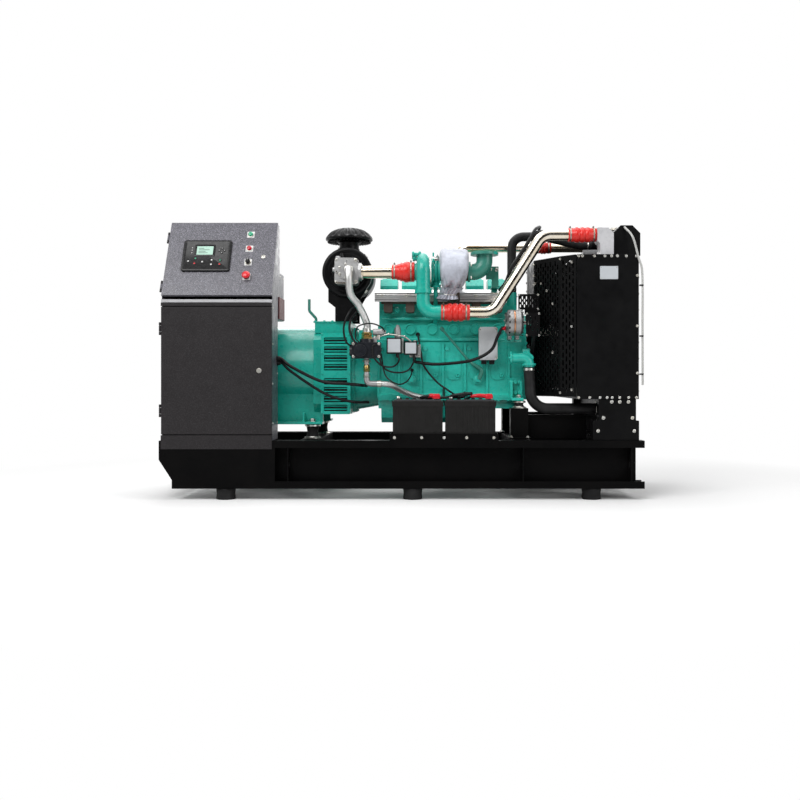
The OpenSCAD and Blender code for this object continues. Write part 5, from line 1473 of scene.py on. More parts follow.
    def moving_devices(self) -> None:
        """The mushroom stop button and the selector knob, each on its own joint."""
        stem = turned(rod(6, -24, 16), sides=28)
        head = [(0, 15), (18, 15), (21.6, 16.8), (23, 19.4), (23, 23.4), (21.6, 26.6), (18, 29.0),
                (12.6, 31.2), (6, 32.6), (0, 33)]
        parts = (turned(head, sides=48), stem.painted(1))
        stop = [self.face.put(s, self.device_x, self.rows[3]) for s in parts]
        piece("stop_mushroom", stop, [F.STOP_RED, F.BLACK], "stop_button",
              ["estop_button"], angle=35)
        skirt = turned([(0, 12.6), (13, 12.6), (14, 13.6), (14, 17.4), (13, 18.4), (0, 18.4)], sides=36)
        grip = prism(round_outline(8.4, 28, 3.6), 11.0, (0, 0, 18))
        parts = (skirt, grip, stem, *blocks((-0.8, 1, 29, 0.8, 12.5, 29.25, 1)))
        knob = [self.face.put(s, self.device_x, self.rows[2]) for s in parts]
        piece("selector_handle", knob, [F.BLACK, F.WHITE], "selector",
              ["selector_knob"], bevel=0.5, angle=35)

    def screws(self) -> None:
        """Screws along the shell's side and on the breaker housing."""
        spots = [(-455, z) for z in (420, 640, 860, 1060)] + [(-310, z) for z in (420, 700, 960)]
        spots += [(y, z) for y in (-210, -110) for z in (1040, 1260)]
        head = turned([(0, 0), (5.2, 0), (4.8, 1.6), (3.0, 2.8), (0, 3.1)], sides=16)
        skins = []
        for x, way in ((S.cab_x1, "x"), (S.cab_x0, "-x")):
            skins.append(repeated(head, [(x, y, z) for y, z in spots], way))
        piece("cabinet_screws", skins, [F.ZINC])


@dataclass
class Alternator:
    """The alternator with its louvred covers, terminal box, feet and rubber mounts."""

    windows: int = 4
    slats: int = 2
    half: float = 233.0
    wire: float = 0.9
    post_foot: float = 502.0

    def build(self) -> None:
        """Dresses the alternator."""
        softened("alternator_frame", [F.GREEN], bevel=3.0)
        softened("alternator_louvers", [F.GREEN], bevel=1.0)
        softened("terminal_box", [F.GREEN, F.DARK_GREEN], bevel=2.0, zone=self.rod_zone)
        self.louvres()
        self.fasteners()
        self.mounts()

    def rod_zone(self, c: np.ndarray) -> np.ndarray:
        """Marks the bent rod on the terminal box."""
        return (c[:, 2] > 1003.5) | ((c[:, 0] < -520) & (c[:, 2] > 1000))

    def louvres(self) -> None:
        """Sloping slats, the dark mesh in each opening of the covers and a black sheet as painted shade
        behind them.
        """
        pitch = (self.half - 30) / self.windows
        step = (pitch - 14) / self.slats
        near = []
        for k in range(2 * self.windows):
            foot = 484 + (k // self.windows) * self.half + (k % self.windows) * pitch
            for z in foot + (np.arange(self.slats) + 0.55) * step:
                section = [(-286, z - 2.6), (-284.8, z - 3.2), (-277, z + 3.4), (-278.2, z + 4.0)]
                near.append(prism(section, 138, (-454, 0, 0), "x"))
        # A black sheet behind the openings: painted shade of the alternator's dark inside.
        near += blocks((-462, -272, 476, -308, -271, 922, 1))
        r = self.wire
        near += blocks(*[(x - r, -275.4, 478, x + r, -273.6, 920, 2) for x in np.arange(-456, -310, 12.0)])
        near += blocks(*[(-460, -276.8, z - r, -310, -275.0, z + r, 2) for z in np.arange(482, 920, 12.0)])
        piece("louvre_slats", near + [s.mirrored() for s in near], [F.GREEN, F.BLACK, F.CORE])

    def fasteners(self) -> None:
        """Bolts of the terminal box's lid, the covers, the end bracket, the flange and the feet."""
        lid = [(x, s * 221, 1003) for x in (-510, -458, -411, -365, -314) for s in (-1, 1)]
        lid += [(x, y, 1003) for x in (-512, -312) for y in (-110, 0, 110)]
        cover = [(x, -289, z) for x in (-463, -307) for z in (474, 582, 699, 816, 924)]
        feet = [(x, s * S.foot_y, 422) for x in S.foot_x for s in (-1, 1)]
        skins = [bolts(7, lid), *both_sides(6, cover)]
        skins.append(bolts(12, round_x(-1057, 0, S.shaft, 225, 8, 22.5), "-x"))
        skins.append(bolts(10, round_x(-284, 0, S.shaft, 248, 16, 11.25), "x"))
        skins.append(bolts(18, feet, finish=1, head=0.8))
        piece("alternator_bolts", skins, [F.GREEN, F.ZINC])

    def mounts(self) -> None:
        """The rubber mounts under the alternator and the engine's front, with their plates and bolts."""
        spots = [(x, s * S.foot_y, S.deck, 81.0, 48.0) for x in S.foot_x for s in (-1, 1)]
        spots += [(S.post_x, s * S.post_y, self.post_foot, 43.0, 42.0) for s in (-1, 1)]
        skins = []
        for x, y, z, h, r in spots:
            base = [(0, 0), (r, 0), (r, 5), (r - 2, 7), (r - 9, 8), (r - 11, 11)]
            body = [(r - 11, 8), (r - 12, 12), (r - 16.5, h * 0.42), (r - 16.5, h * 0.55), (r - 12, h - 12),
                    (r - 8, h - 9)]
            cup = [(r - 5, h - 13), (r - 3, h - 12), (r - 3, h - 4), (r - 6, h - 1), (r - 12, h), (0, h)]
            skins += [turned(p, (x, y, z), sides=40).painted(f) for p, f in ((base, 0), (body, 1), (cup, 0))]
        skins += [hex_bolt(16, 0.8).moved((S.post_x, s * S.post_y, 561)) for s in (-1, 1)]
        piece("mounts", skins, [F.ZINC, F.FOOT_RUBBER], replaces=["vibration_mounts"])


@dataclass
class Engine:
    """The long block: castings, covers, bolts, pulleys, belt, fan, charging alternator and module."""

    cylinders: int = 6
    side_y: float = -199.0
    jacket_y: float = -151.0
    blades: int = 8
    hub_r: float = 74.0
    tip_r: float = 323.0
    dynamo_at: Point = (585.0, -330.0, 987.0)

    def build(self) -> None:
        """Dresses the engine."""
        self.relief()
        # The block's castings wear the lighter copy of the engine green: painted light.
        for node in ("flywheel_housing", "engine_block", "oil_pan", "cylinder_head", "intake_manifold",
                     "gear_cover"):
            softened(node, [F.BLOCK_GREEN_LIT], bevel=3.0)
        softened("engine_brackets", [F.BLOCK_GREEN_LIT], bevel=2.0)
        softened("rocker_covers", [F.BLOCK_GREEN_LIT], bevel=4.0)
        softened("exhaust_manifold", [F.CAST_IRON], bevel=2.0)
        softened("manifold_shield", [F.BRUSHED], bevel=0.8)
        softened("charging_alternator", [F.CAST], bevel=2.0)
        softened("control_module", [F.MODULE], bevel=3.0)
        softened("starter_and_filter", [F.GLOSS_BLACK], bevel=3.0)
        self.side_bolts()
        self.top_bolts()
        self.front()
        self.shield_trim()
        self.fan()
        self.dynamo()
        self.belt_guard()
        self.dipstick()
        self.module()

    def xs(self, shift: float = 0.0) -> np.ndarray:
        """The six cylinders' places along X, moved by shift pitches."""
        return S.cylinder_x + S.pitch * (np.arange(self.cylinders) + shift)

    def bead(self, a: Point, b: Point, r: float) -> Surface:
        """A cast bead from a to b: a rod of radius r that is half sunk and runs out at its ends."""
        return tube(along(a, b, 10), np.array([0.4, *[r] * 8, 0.4]), 14)

    def relief(self) -> None:
        """The block's cast relief: rounded ribs, rails along it, oval pads and small round bosses."""
        y = self.side_y
        near = [self.bead((x, y, 590), (x, y, 868), 9.5) for x in self.xs(0.5)[:-1]]
        boss = [(0, 0), (14, 0), (14, 11), (11, 14), (6, 14), (4, 9), (0, 9)]
        for x in self.xs():
            near.append(prism(round_outline(78, 156, 26), 7.5, (x, y, 742), "-y"))
            near.append(turned(boss, (x + 20, y, 690), "-y", 24))
            near.append(turned([(0, 0), (15, 0), (13, 9), (0, 11)], (x - 40, y, 846), "-y", 20))
        for rail_y, z, r in ((y, 898, 11.0), (self.jacket_y, 1022, 9.0), (y - 1, 578, 8.0)):
            near.append(self.bead((-138, rail_y, z), (604, rail_y, z), r))
        near += [turned(button(16, 12, 12, 17), (x, -150, 1074), "-y", 24) for x in (-112, -38, 16)]
        near = merged(near)
        piece("block_relief", [near, near.mirrored()], [F.BLOCK_GREEN_LIT], bevel=1.6)

    def side_bolts(self) -> None:
        """Bolts of the pan, the block's sides, the brackets and the housing, and the round core plugs."""
        pan = [(x, s * 206, S.sump - 12) for x in np.linspace(-130, 670, 15) for s in (-1, 1)]
        bracket = [(x, -239, z) for x in (627, 650, 676) for z in (590, 650)]
        side = [(x + S.pitch / 2, -200, z) for x in self.xs()[:-1] for z in (612, 806)]
        skins = [bolts(9, pan, "-z"), *both_sides(20, [(49, -220, 665), (433, -220, 665)], 0.5)]
        skins += [*both_sides(12, bracket), *both_sides(9, side)]
        skins.append(bolts(11, round_x(-150, 0, S.shaft, 206, 12, 15), "-x"))
        piece("block_bolts", skins, [F.BLOCK_GREEN_LIT])
        cup = turned([(34, -5), (34, 4), (31.5, 8), (26.5, 8), (25, 6), (24, 0.2), (0, 0.2)], sides=40)
        skins = [repeated(cup, [(x, y, 962) for x in self.xs()], way)
                 for y, way in ((-155, "-y"), (158, "y"))]
        piece("core_plugs", skins, [F.BLOCK_GREEN_LIT])

    def top_bolts(self) -> None:
        """Bolts of the rocker covers, the head, the inlet and the thermostat, and the ignition coils."""
        top = [(x, s * 93, 1132) for x in np.concatenate([self.xs(-0.36), self.xs(0.36)]) for s in (-1, 1)]
        head = [(x + s * 26, -140, z) for x in self.xs() for s in (-1, 1) for z in (1062, 1104)]
        inlet = [(x, 252, 1060) for x in np.linspace(-110, 580, 8)]
        thermostat = [(673.5, -51, 1160), (616.5, -69, 1160)]
        skins = [bolts(8, top), bolts(9, head, "-y"), bolts(8, inlet, "y"), bolts(8, thermostat)]
        piece("head_bolts", skins, [F.BLOCK_GREEN_LIT])
        coil = [(0, 0), (24, 0), (24, 6), (20, 9), (19, 26), (16, 30), (0, 31)]
        skins = [turned(coil, (x, 0, 1268), sides=28) for x in self.xs()]
        for x in self.xs():
            lead = [(x, 16, 1287), (x, 60, 1290), (x + 6, 92, 1262), (x + 8, 108, 1216), (x + 8, 140, 1206)]
            skins.append(tube(smooth_path(lead), 4.0, 10))
        skins.append(tube(along((-110, 140, 1206), (580, 140, 1206), 12), 9, 14))
        piece("ignition_coils", skins, [F.BLACK])

    def front(self) -> None:
        """The pulleys, the ribbed belt, the gear cover's and the pump's bolts and the crank damper."""
        softened("belt_drive", [F.BLACK, F.ZINC], bevel=0.8,
                 zone=lambda c: abs(c[:, 0] - 748) > 13.2)
        rim = [(720, s * 180, z) for s in (-1, 1) for z in (575, 650, 725, 780)]
        rim += [(720, s * y, z) for s in (-1, 1) for y, z in ((160, 880), (148, 985), (88, 1036), (30, 1040))]
        rim += [(720, y, 556) for y in (-120, -60, 0, 60, 120)]
        inlet = [(612, -312 + s * 31, 787) for s in (1, -1)]
        skins = [bolts(9, rim, "x"), bolts(8, round_x(728, -235, 787, 49, 6, 30), "x"), bolts(9, inlet, "-x")]
        piece("front_bolts", skins, [F.BLOCK_GREEN_LIT])
        damper = [(60, 0), (88, 0), (92, 4), (92, 10), (86, 14), (60, 14), (56, 8), (0, 8)]
        shaft = [(0, 0), (26, 0), (30, 4), (30, 14), (18, 20), (0, 20)]
        skins = [turned(damper, (766, 0, S.shaft), "x", 56), turned(shaft, (761, 0, S.shaft), "x").painted(1)]
        piece("crank_damper", skins, [F.BLACK, F.ZINC])

    def shield_trim(self) -> None:
        """Bolts and the pressed beads of the manifold's shield."""
        side = [(x, -250, 1150) for x in (-120, 20, 150, 420, 560)]
        top = [(x, -178, 1184) for x in (-110, 60, 190, 400, 560)]
        skins = [bolts(8, side, "-y"), bolts(8, top)]
        for a, b in ((-150, 245), (340, 585)):
            run = along((a, -222, 1184), (b, -222, 1184), 12)
            path = np.concatenate([[[a - 3, -222, 1182]], run, [[b + 3, -222, 1182]]])
            for shift, r in (((0, 0, 0), 3.4), ((0, 28.2, 30), 3.0)):
                skins.append(tube(path - shift, np.array([0.6, *[r] * 12, 0.6]), 14).painted(1))
        piece("shield_trim", skins, [F.ZINC, F.BRUSHED])

    def fan(self) -> None:
        """The cooling fan: twisted, cambered blades on a pressed spider with its hub.

        Along the blade s runs from 0 to 1 and round its section c = cos t. The chord is 78 + 34 sin(0.8 pi s)
        and rounded off at the tip, the camber 9 (1 - c^2) (1 - 0.3 s), and the twist 56 + 12 s degrees.
        """
        s = np.linspace(0, 1, 14)[:, None]
        t = np.concatenate([np.linspace(0, np.pi, 13), np.linspace(np.pi, 2 * np.pi, 13)[1:-1]])
        c = np.cos(t)[None, :]
        face = np.concatenate([np.ones(13), -np.ones(11)])[None, :]
        tip = np.sqrt(np.clip(1 - ((s - 0.93) / 0.0701).clip(0, 1) ** 2 * 0.5, 0, 1))
        chord = (78 + 34 * np.sin(np.pi * np.clip(s * 0.8, 0, 1))) * tip
        thick = 3.4 * np.sqrt(np.clip(1 - c**2, 0, 1)) * face * (1 - 0.45 * s)
        camber = 9 * (1 - c**2) * (1 - 0.3 * s)
        phi = np.radians(56 + 12 * s)
        across, lift = c * chord / 2, camber + thick - 3
        x = across * np.cos(phi) - lift * np.sin(phi)
        y = across * np.sin(phi) + lift * np.cos(phi)
        z = np.broadcast_to(self.hub_r + s * (self.tip_r - self.hub_r), x.shape)
        blade = outward(grid(np.stack([x, y, z], -1), True, Cap.FLAT))
        hub = (S.fan_x, 0, S.fan_z)
        skins = [blade.mapped(about("x", 2 * np.pi * k / self.blades), hub) for k in range(self.blades)]
        plate = [(0, -12), (88, -12), (92, -8), (92, 8), (88, 12), (64, 13), (62, 22), (58, 24), (0, 24)]
        skins.append(turned(plate, hub, "x", 56))
        skins.append(turned([(0, -22), (58, -22), (62, -18), (62, -12), (0, -12)], hub, "x", 56).painted(1))
        skins.append(bolts(8, round_x(S.fan_x - 22, 0, S.fan_z, 44, 6), "-x", 2))
        rivet = turned([(0, 0), (3.4, 0), (2.4, 1.8), (0, 2.2)], sides=10)
        places = [p for r in (76, 86) for p in round_x(S.fan_x - 12, 0, S.fan_z, r, 16)]
        skins.append(repeated(rivet, places, "-x").painted(2))
        piece("fan", skins, [F.BLACK, F.CAST, F.ZINC], replaces=["cooling_fan"])

    def dynamo(self) -> None:
        """Vents, through bolts, the rear cover and the red terminal boot of the charging alternator."""
        x, y, z = self.dynamo_at
        skins = []
        for x0 in (601, 676):
            for a in 2 * np.pi * np.arange(14) / 14:
                rows = np.array([[1, 0, 0], [0, -math.sin(a), math.cos(a)], [0, math.cos(a), math.sin(a)]])
                skins.append(box((x0, -7, 72.2), (x0 + 8, 7, 74.4)).mapped(rows, (0, y, z)))
        skins.append(bolts(6, round_x(x, y, z, 44, 4, 20), "-x", 1))
        vent = prism(round_outline(15, 26, 6), 1.2)
        for a in np.radians([60, 115, 170, 225, 280]):
            c, s = math.cos(a), math.sin(a)
            rows = np.array([[0, -s, c], [0, c, s], [-1, 0, 0]])
            skins.append(vent.mapped(rows, (x, y + 54 * c, z + 54 * s)))
        skins.append(turned([(69.5, 0), (71, 0.5), (71, 7.5), (69.5, 8)], (631, y, z), "x", 48).painted(2))
        boot = [(0, 0), (11, 0), (12, 3), (9, 18), (0, 18)]
        skins.append(turned(boot, (x, -350, 955), "-x", 20).painted(3))
        piece("dynamo_details", skins, [F.BLACK, F.ZINC, F.COPPER, F.BOOT_RED])

    def belt_guard(self) -> None:
        """The slotted guard over the belt and the perforated panel above it."""
        low = perforated((696, -382), (775, -382), 909, 1041, (11.0, 34.0), (5.0, 27.0), (7.0, 8.0))
        high = perforated((660, -310), (777, -310), 1064, 1153, (11.0, 25.0), (6.0, 18.0), (6.0, 6.0))
        walls = blocks(
            (773, -381, 909, 775, -270, 1041, 0), (696, -381, 1039, 775, -270, 1041, 0),
            (720.3, -272, 980, 724, -120, 1041, 0), (696, -310, 1040, 777, -307.5, 1065, 0),
        )
        piece("belt_guard_sheets", [low, high, *walls], [F.RADIATOR_BLACK],
              replaces=["belt_guard"])
        heads = [(x, -382, z) for x in (701, 770) for z in (914, 1036)]
        heads += [(x, -310, z) for x in (664, 773) for z in (1068, 1149)]
        piece("belt_guard_bolts", [bolts(5, heads, "-y")], [F.ZINC])

    def dipstick(self) -> None:
        """The oil level tube, which widens towards the block, with its stopper."""
        ends = [(231, -234, 951), (387, -234, 766), (460, -234, 719), (440, -227.3, 667)]
        path = bent_path(ends, 22, 10, 14)
        t = np.linspace(0, 1, len(path))
        way = unit(path[0] - path[3])
        stop = tube(path[0] + way * np.array([[-6.0], [0], [14], [22]]), np.array([9.0, 11.5, 12.5, 8.0]), 20)
        nut = turned([(0, -6), (19, -6), (19, 4), (16, 9), (0, 9)], (440, -212, 664), "-y", 28)
        skins = [tube(path, 7 + 5.5 * np.clip((t - 0.62) / 0.08, 0, 1), 20), stop, nut]
        piece("oil_level_tube", skins, [F.DARK_GREEN], replaces=["dipstick_tube"], angle=45)

    def module(self) -> None:
        """The connector blocks and bolts of the engine control module."""
        skins = blocks((452, -262, 754, 482, -232, 778, 0), (498, -262, 754, 528, -232, 778, 0))
        skins.append(bolts(7, [(x, -278, z) for x in (444, 537) for z in (790, 954)], "-y", 1))
        piece("module_details", skins, [F.BLACK, F.ZINC], bevel=0.8)


@dataclass
class Turbo:
    """The turbocharger, its blanket and the exhaust elbow."""

    axis: Point = (S.turbo_y, S.turbo)
    wheel_x: float = 118.0
    bearing_x: float = 188.0
    sleeve_x: float = 292.0
    sleeve_half: float = 81.0
    sleeve_r: float = 128.0
    seed: int = 21

    def build(self) -> None:
        """Dresses the turbocharger."""
        softened("exhaust_elbow", [F.DARK_GREEN, F.GREEN], bevel=1.5, zone=self.bracket)
        self.compressor()
        self.turbine()
        self.blanket()
        self.elbow_bolts()

    def bracket(self, c: np.ndarray) -> np.ndarray:
        """Marks the bracket that holds the elbow."""
        return (c[:, 0] > 516) | (c[:, 2] < 1222)

    def compressor(self) -> None:
        """The scroll with its inlet, outlet elbow, V clamp, bearing housing and oil lines.

        For f from 0 to 1 the scroll's section has radius 15 + 25 f^0.9 and runs round the axis through 330
        degrees at radius 76 - 4 f, then straight down into its outlet.
        """
        (y, z), x, bx = self.axis, self.wheel_x, self.bearing_x
        f = np.linspace(0, 1, 72)
        a = np.radians(-150 + 330 * f)
        rc, r = 76 - 4 * f, 15 + 25 * f**0.9
        spiral = np.column_stack([np.full(72, x), y + rc * np.cos(a), z + rc * np.sin(a)])
        tail = along((x, S.hot_y, z - 8), (x, S.hot_y, z - 106), 12)
        skins = [tube(np.concatenate([spiral, tail]), np.concatenate([r, np.linspace(40, 38.5, 12)]), 40)]
        skins.append(turned([(0, -15), (6, -14), (11, -10), (14.6, -3), (15, 0)], spiral[0], sides=20))
        cover = [(50, -78), (53, -78), (53, -66), (49, -62), (49, -44), (56, -32), (64, -22), (70, -8),
                 (72, 12), (66, 34), (60, 38)]
        throat = [(49.5, -77.5), (42, -60), (38, -40), (36, -30), (0, -30)]
        plate = [(0, 36), (78, 36), (84, 39), (84, 46), (80, 50), (0, 50)]
        clamp = [(79, 33), (86, 36), (87.5, 40), (86, 45), (79, 48)]
        bearing = [(0, 48), (58, 48), (60, 52), (60, 58), (50, 61), (50, 66), (62, 68), (64, 72), (62, 76),
                   (50, 78), (48, 84), (60, 87), (62, 91), (60, 95), (50, 97), (52, 103), (66, 105),
                   (66, 109), (0, 109)]
        for profile, sides, finish in ((cover, 64, 0), (throat, 48, 1), (plate, 64, 0), (clamp, 64, 2),
                                       (bearing, 56, 0)):
            skins.append(turned(profile, (x, y, z), "x", sides).painted(finish))
        oil = [(0, -90), (30, -90), (30, -80), (20, -78), (19, -30), (19, 30), (21, 52), (21, 62), (0, 62)]
        skins.append(turned(oil, (bx, y, z), sides=36))
        skins.append(bolts(18, [(bx, y, z + 61)], finish=2, head=0.7))
        skins.append(bolts(8, [(bx - 24, y, z - 80), (bx + 24, y, z - 80)], finish=2))
        foot = (x, S.hot_y, z - 118)
        skins.append(turned([(0, 0), (48, 0), (48, 12), (40, 12), (39, 24), (0, 24)], foot, sides=48))
        elbow = bent_path([(x, S.hot_y, z - 130), (x, S.hot_y, S.out_z), (250, S.hot_y, S.out_z)], 62, 20, 14)
        skins.append(tube(elbow, np.where(np.arange(len(elbow)) > len(elbow) - 4, 38.6, 38.0), 44))
        skins.append(turned([(0, 0), (48, 0), (48, 10), (40, 13), (0, 13)], foot, "-z", 48))
        skins.append(bolts(8, round_x(150, y, z, 80, 8, 10), "x", 2))
        skins.append(bolts(8, round_x(96, y, z, 62, 8, 35), "-x", 2))
        feed = [(bx, y, z + 70), (bx, y + 10, z + 92), (196, y + 60, z + 104), (220, y + 130, z + 60),
                (232, y + 190, z - 30), (240, -150, 1190)]
        skins.append(tube(smooth_path(feed), 6.5, 14).painted(3))
        drain = [(bx, y, z - 88), (bx, y, 1120), (bx, -206, 1050), (bx, -160, 1000)]
        skins.append(tube(bent_path(drain, 40, 10, 30), 12, 16))
        ear = [(0, 0), (15, 0), (18, 3), (18, 11), (12, 15), (11, 30), (13, 36), (19, 40), (19, 48), (16, 51),
               (0, 51)]
        skins.append(turned(ear, (54, y - 8, z + 98), "x", 28))
        skins.append(turned([(r * 0.8, h) for r, h in ear], (58, y - 6, z + 74), "x", 28))
        skins.append(box((64, y - 18, z + 64), (74, y + 6, z + 104)))
        arm = smooth_path([(58, y + 8, z + 88), (80, y + 8, z + 76), (106, y + 8, z + 66)], 8)
        skins.append(tube(arm, 12.0, 18))
        lug = prism(round_outline(13, 22, 4), 9.0, axis="x")
        skins += [lug.moved((170, y - 52 + k * 3, z + 92 - k * 34)) for k in range(5)]
        finishes = [F.GREEN, F.CAST, F.ZINC, F.BRAID]
        piece("compressor", skins, finishes, replaces=["turbocharger"])

    def turbine(self) -> None:
        """The turbine housing under its blanket, and its foot on the riser."""
        y, z = self.axis
        body = [(0, 13), (60, 13), (74, 20), (78, 40), (78, 110), (70, 130), (52, 138), (52, 158), (0, 158)]
        foot = [(0, -84), (42, -84), (42, -70), (32, -66), (32, -40), (0, -40)]
        skins = [turned(body, (213, y, z), "x", 48), turned(foot, (self.sleeve_x, y, z), sides=36)]
        piece("turbine", skins, [F.CAST_IRON])

    def blanket(self) -> None:
        """The glass-cloth blanket: a boxy sleeve and a pleated skirt, tied together below by a cord."""
        y, z = self.axis
        z += 4
        q = 2 * np.pi * np.arange(120) / 120
        tie = np.column_stack([260 + 49 * np.cos(q), y + 45 * np.sin(q), z - 134 + 4 * np.sin(2 * q + 1)])
        skins = [self.sleeve(y, z), self.skirt(y, z, q), tube(tie, 2.4, 8).painted(1)]
        obj = piece("blanket", skins, [F.CLOTH, F.ZINC], replaces=["turbine_blanket"],
                    angle=60)

    def sleeve(self, y: float, z: float) -> Surface:
        """The blanket's sleeve, with creases that run from the draw at its foot.

        Its section is a superellipse, |cos v|^p across and (sin v)^q outward, carried round the turbine's
        axis by the angle a. Towards the foot it narrows and shifts, and folds of |sin(kx + na)| are cut into
        its radius. A lining inside it closes the cloth.

        Args:
            y: the sleeve's axis.
            z: the sleeve's axis.

        Returns:
            The sleeve.
        """
        v = np.linspace(np.pi, 0, 112)[:, None]
        a = 2 * np.pi * np.arange(176)[None, :] / 176
        low, high = lobe(a, -np.pi / 2, 0.98), lobe(a, np.pi / 2, 1.2)
        across = np.sign(np.cos(v)) * np.abs(np.cos(v)) ** (0.34 + 0.30 * low)
        rise = np.clip(np.sin(v), 0, 1) ** (0.42 + 0.35 * low)
        x = self.sleeve_x + self.sleeve_half * across * (1 - 0.30 * low + 0.02 * high) - 20 * low * rise
        off = x - self.sleeve_x
        radius = 62 + (self.sleeve_r - 62) * rise
        rng = np.random.default_rng(self.seed)
        for _ in range(6):
            wave, turns, phase = rng.uniform(0.012, 0.03), rng.integers(1, 4), rng.uniform(0, 6.28)
            radius = radius + rise * np.sin(wave * off * 2 + turns * a + phase) * rng.uniform(0.5, 1.2)
        drape = np.abs(np.sin(0.055 * off + 2.1 * (a + 1.2) + 0.6 * np.sin(3 * a)))
        sharp = np.abs(np.sin(0.10 * off - 3.0 * (a + 1.9))) ** 0.5
        side = lobe(a, -0.95, 0.6) + lobe(a, -2.2, 0.6)
        radius = radius - rise * (low * (19 * (1 - drape) + 13 * (1 - sharp)) + side * 8.0 * (1 - drape))
        table = np.stack([x + 0 * a, y + radius * np.cos(a), z + radius * np.sin(a)], -1)
        middle = np.array([self.sleeve_x, y, z])
        lining = middle + (table[::-1][::8] - middle) * (0.93, 0.92, 0.92)
        whole = np.concatenate([table, lining, table[:1]])
        return outward(grid(whole, True, Cap.NONE, (520, 2 * np.pi * 120)))

    def skirt(self, y: float, z: float, q: np.ndarray) -> Surface:
        """The gathered skirt below the tie: a ring of 17 pleats, r + h cos(17 q), with its lining.

        Args:
            y: the sleeve's axis.
            z: the sleeve's axis.
            q: the angles round the skirt.

        Returns:
            The skirt.
        """
        rows = np.array([[-96, 64, 2, 282], [-108, 60, 3.5, 276], [-118, 55, 5, 270], [-127, 48, 5.5, 264],
                         [-134, 45, 5, 260], [-142, 48, 7, 257], [-152, 53, 8.5, 254], [-161, 57, 9.5, 252]])
        height, r, pleat, middle = (rows[:, k : k + 1] for k in range(4))
        ring = r + pleat * np.cos(17 * q + 0.8 * np.sin(3 * q) + 0.2 * height / 20)
        drop = z + height + 4 * np.sin(2 * q + 1)
        skirt = np.stack([middle + ring * np.cos(q), y + 0.92 * ring * np.sin(q), drop], -1)
        back = skirt[::-1].copy()
        back[..., 0] = middle[::-1] + (back[..., 0] - middle[::-1]) * 0.93
        back[..., 1] = y + (back[..., 1] - y) * 0.93
        return outward(grid(np.concatenate([skirt, back, skirt[:1]]), True, Cap.NONE, (150, 330)))

    def elbow_bolts(self) -> None:
        """Bolts of the elbow's inlet flange and its bracket."""
        y, z = self.axis
        strap = [(x, y + 50, z + 20) for x in (500, 538)] + [(529, -120, 1140), (529, -120, 1175)]
        skins = [bolts(9, round_x(385, y, z, 50, 4, 45), "x"), bolts(10, strap, "-y")]
        piece("elbow_bolts", skins, [F.ZINC])


@dataclass
class ChargePipes:
    """The polished charge pipes, the red hoses and their clamps."""

    hot_r: float = 32.0
    cold_r: float = 27.0
    cold: Point = (60.0, 1470.0)

    def build(self) -> None:
        """Dresses the charge pipes, hoses and clamps."""
        y, out, top = S.hot_y, S.out_z, S.charge_z
        hot = bent_path([(344, y, out), (508, y, out), (786, y, top), (954, y, top)], 90, 30, 30)
        legs = [(833, *self.cold), (330, *self.cold), (330, 185, 1320), (330, 185, 1135)]
        cold = bent_path(legs, 60, 24, 30)
        skins = [tube(hot, self.hot_r, 56), tube(cold, self.cold_r, 56)]
        piece("charge_tubes", skins, [F.POLISHED], replaces=["charge_pipes"], angle=40)
        self.hoses()
        self.clamps()

    def ribbed(self, length: float, r: float, ribs: int, rise: float = 7.0, end: float = 34.0) -> list[Point]:
        """A bellows hose's profile: radius r plus rise * sin^0.7 on each rib between its two cuffs.

        Args:
            length: the hose's length.
            r: its radius.
            ribs: how many ribs it has.
            rise: how far they stand out.
            end: the length of a cuff.

        Returns:
            The profile's points.
        """
        u = np.linspace(end, length - end, 12 * ribs + 1)
        wave = np.abs(np.sin(np.pi * ribs * (u - end) / (length - 2 * end))) ** 0.7
        mid = list(zip(r + rise * wave, u))
        return [(r - 6, 0.0), (r - 0.8, 0.0), (r, 0.8), *mid, (r, length - 0.8), (r - 0.8, length),
                (r - 6, length)]

    def hoses(self) -> None:
        """The four silicone hoses."""
        cone = [(36, 0), (41.5, 0), (42, 0.8), (42, 24), (44, 28), (46, 31), (47, 36), (46.6, 42), (49, 46),
                (52, 50), (53.2, 56), (52.8, 62), (55, 67), (58, 72), (59.6, 79), (59.6, 90), (58.4, 97),
                (56, 101), (56, 127), (55.4, 128), (50, 128)]
        skins = [
            turned(self.ribbed(160, 44, 3), (218, S.hot_y, S.out_z), "x", 64),
            turned(cone, (-60, S.turbo_y, S.turbo), "x", 64),
            turned(self.ribbed(158, 38, 3, 5.5), (928, S.hot_y, S.charge_z), "x", 64),
            turned(self.ribbed(92, 33, 2, 4.0, 30), (803, *self.cold), "x", 56),
        ]
        piece("red_hoses", skins, [F.HOSE_RED], replaces=["silicone_hoses"], angle=50)

    def clamps(self) -> None:
        """The T-bolt clamps at the hoses' ends."""
        out, inlet, top = (S.hot_y, S.out_z), (S.turbo_y, S.turbo), (S.hot_y, S.charge_z)
        spots = [(228, out, 44), (354, out, 44), (-50, inlet, 42), (44, inlet, 56)]
        spots += [(936, top, 38), (1066, top, 38), (809, self.cold, 33), (875, self.cold, 33)]
        skins = [band(x, *axis, r) for x, axis, r in spots]
        piece("t_bolt_clamps", skins, [F.CLAMP], replaces=["hose_clamps"], angle=35)


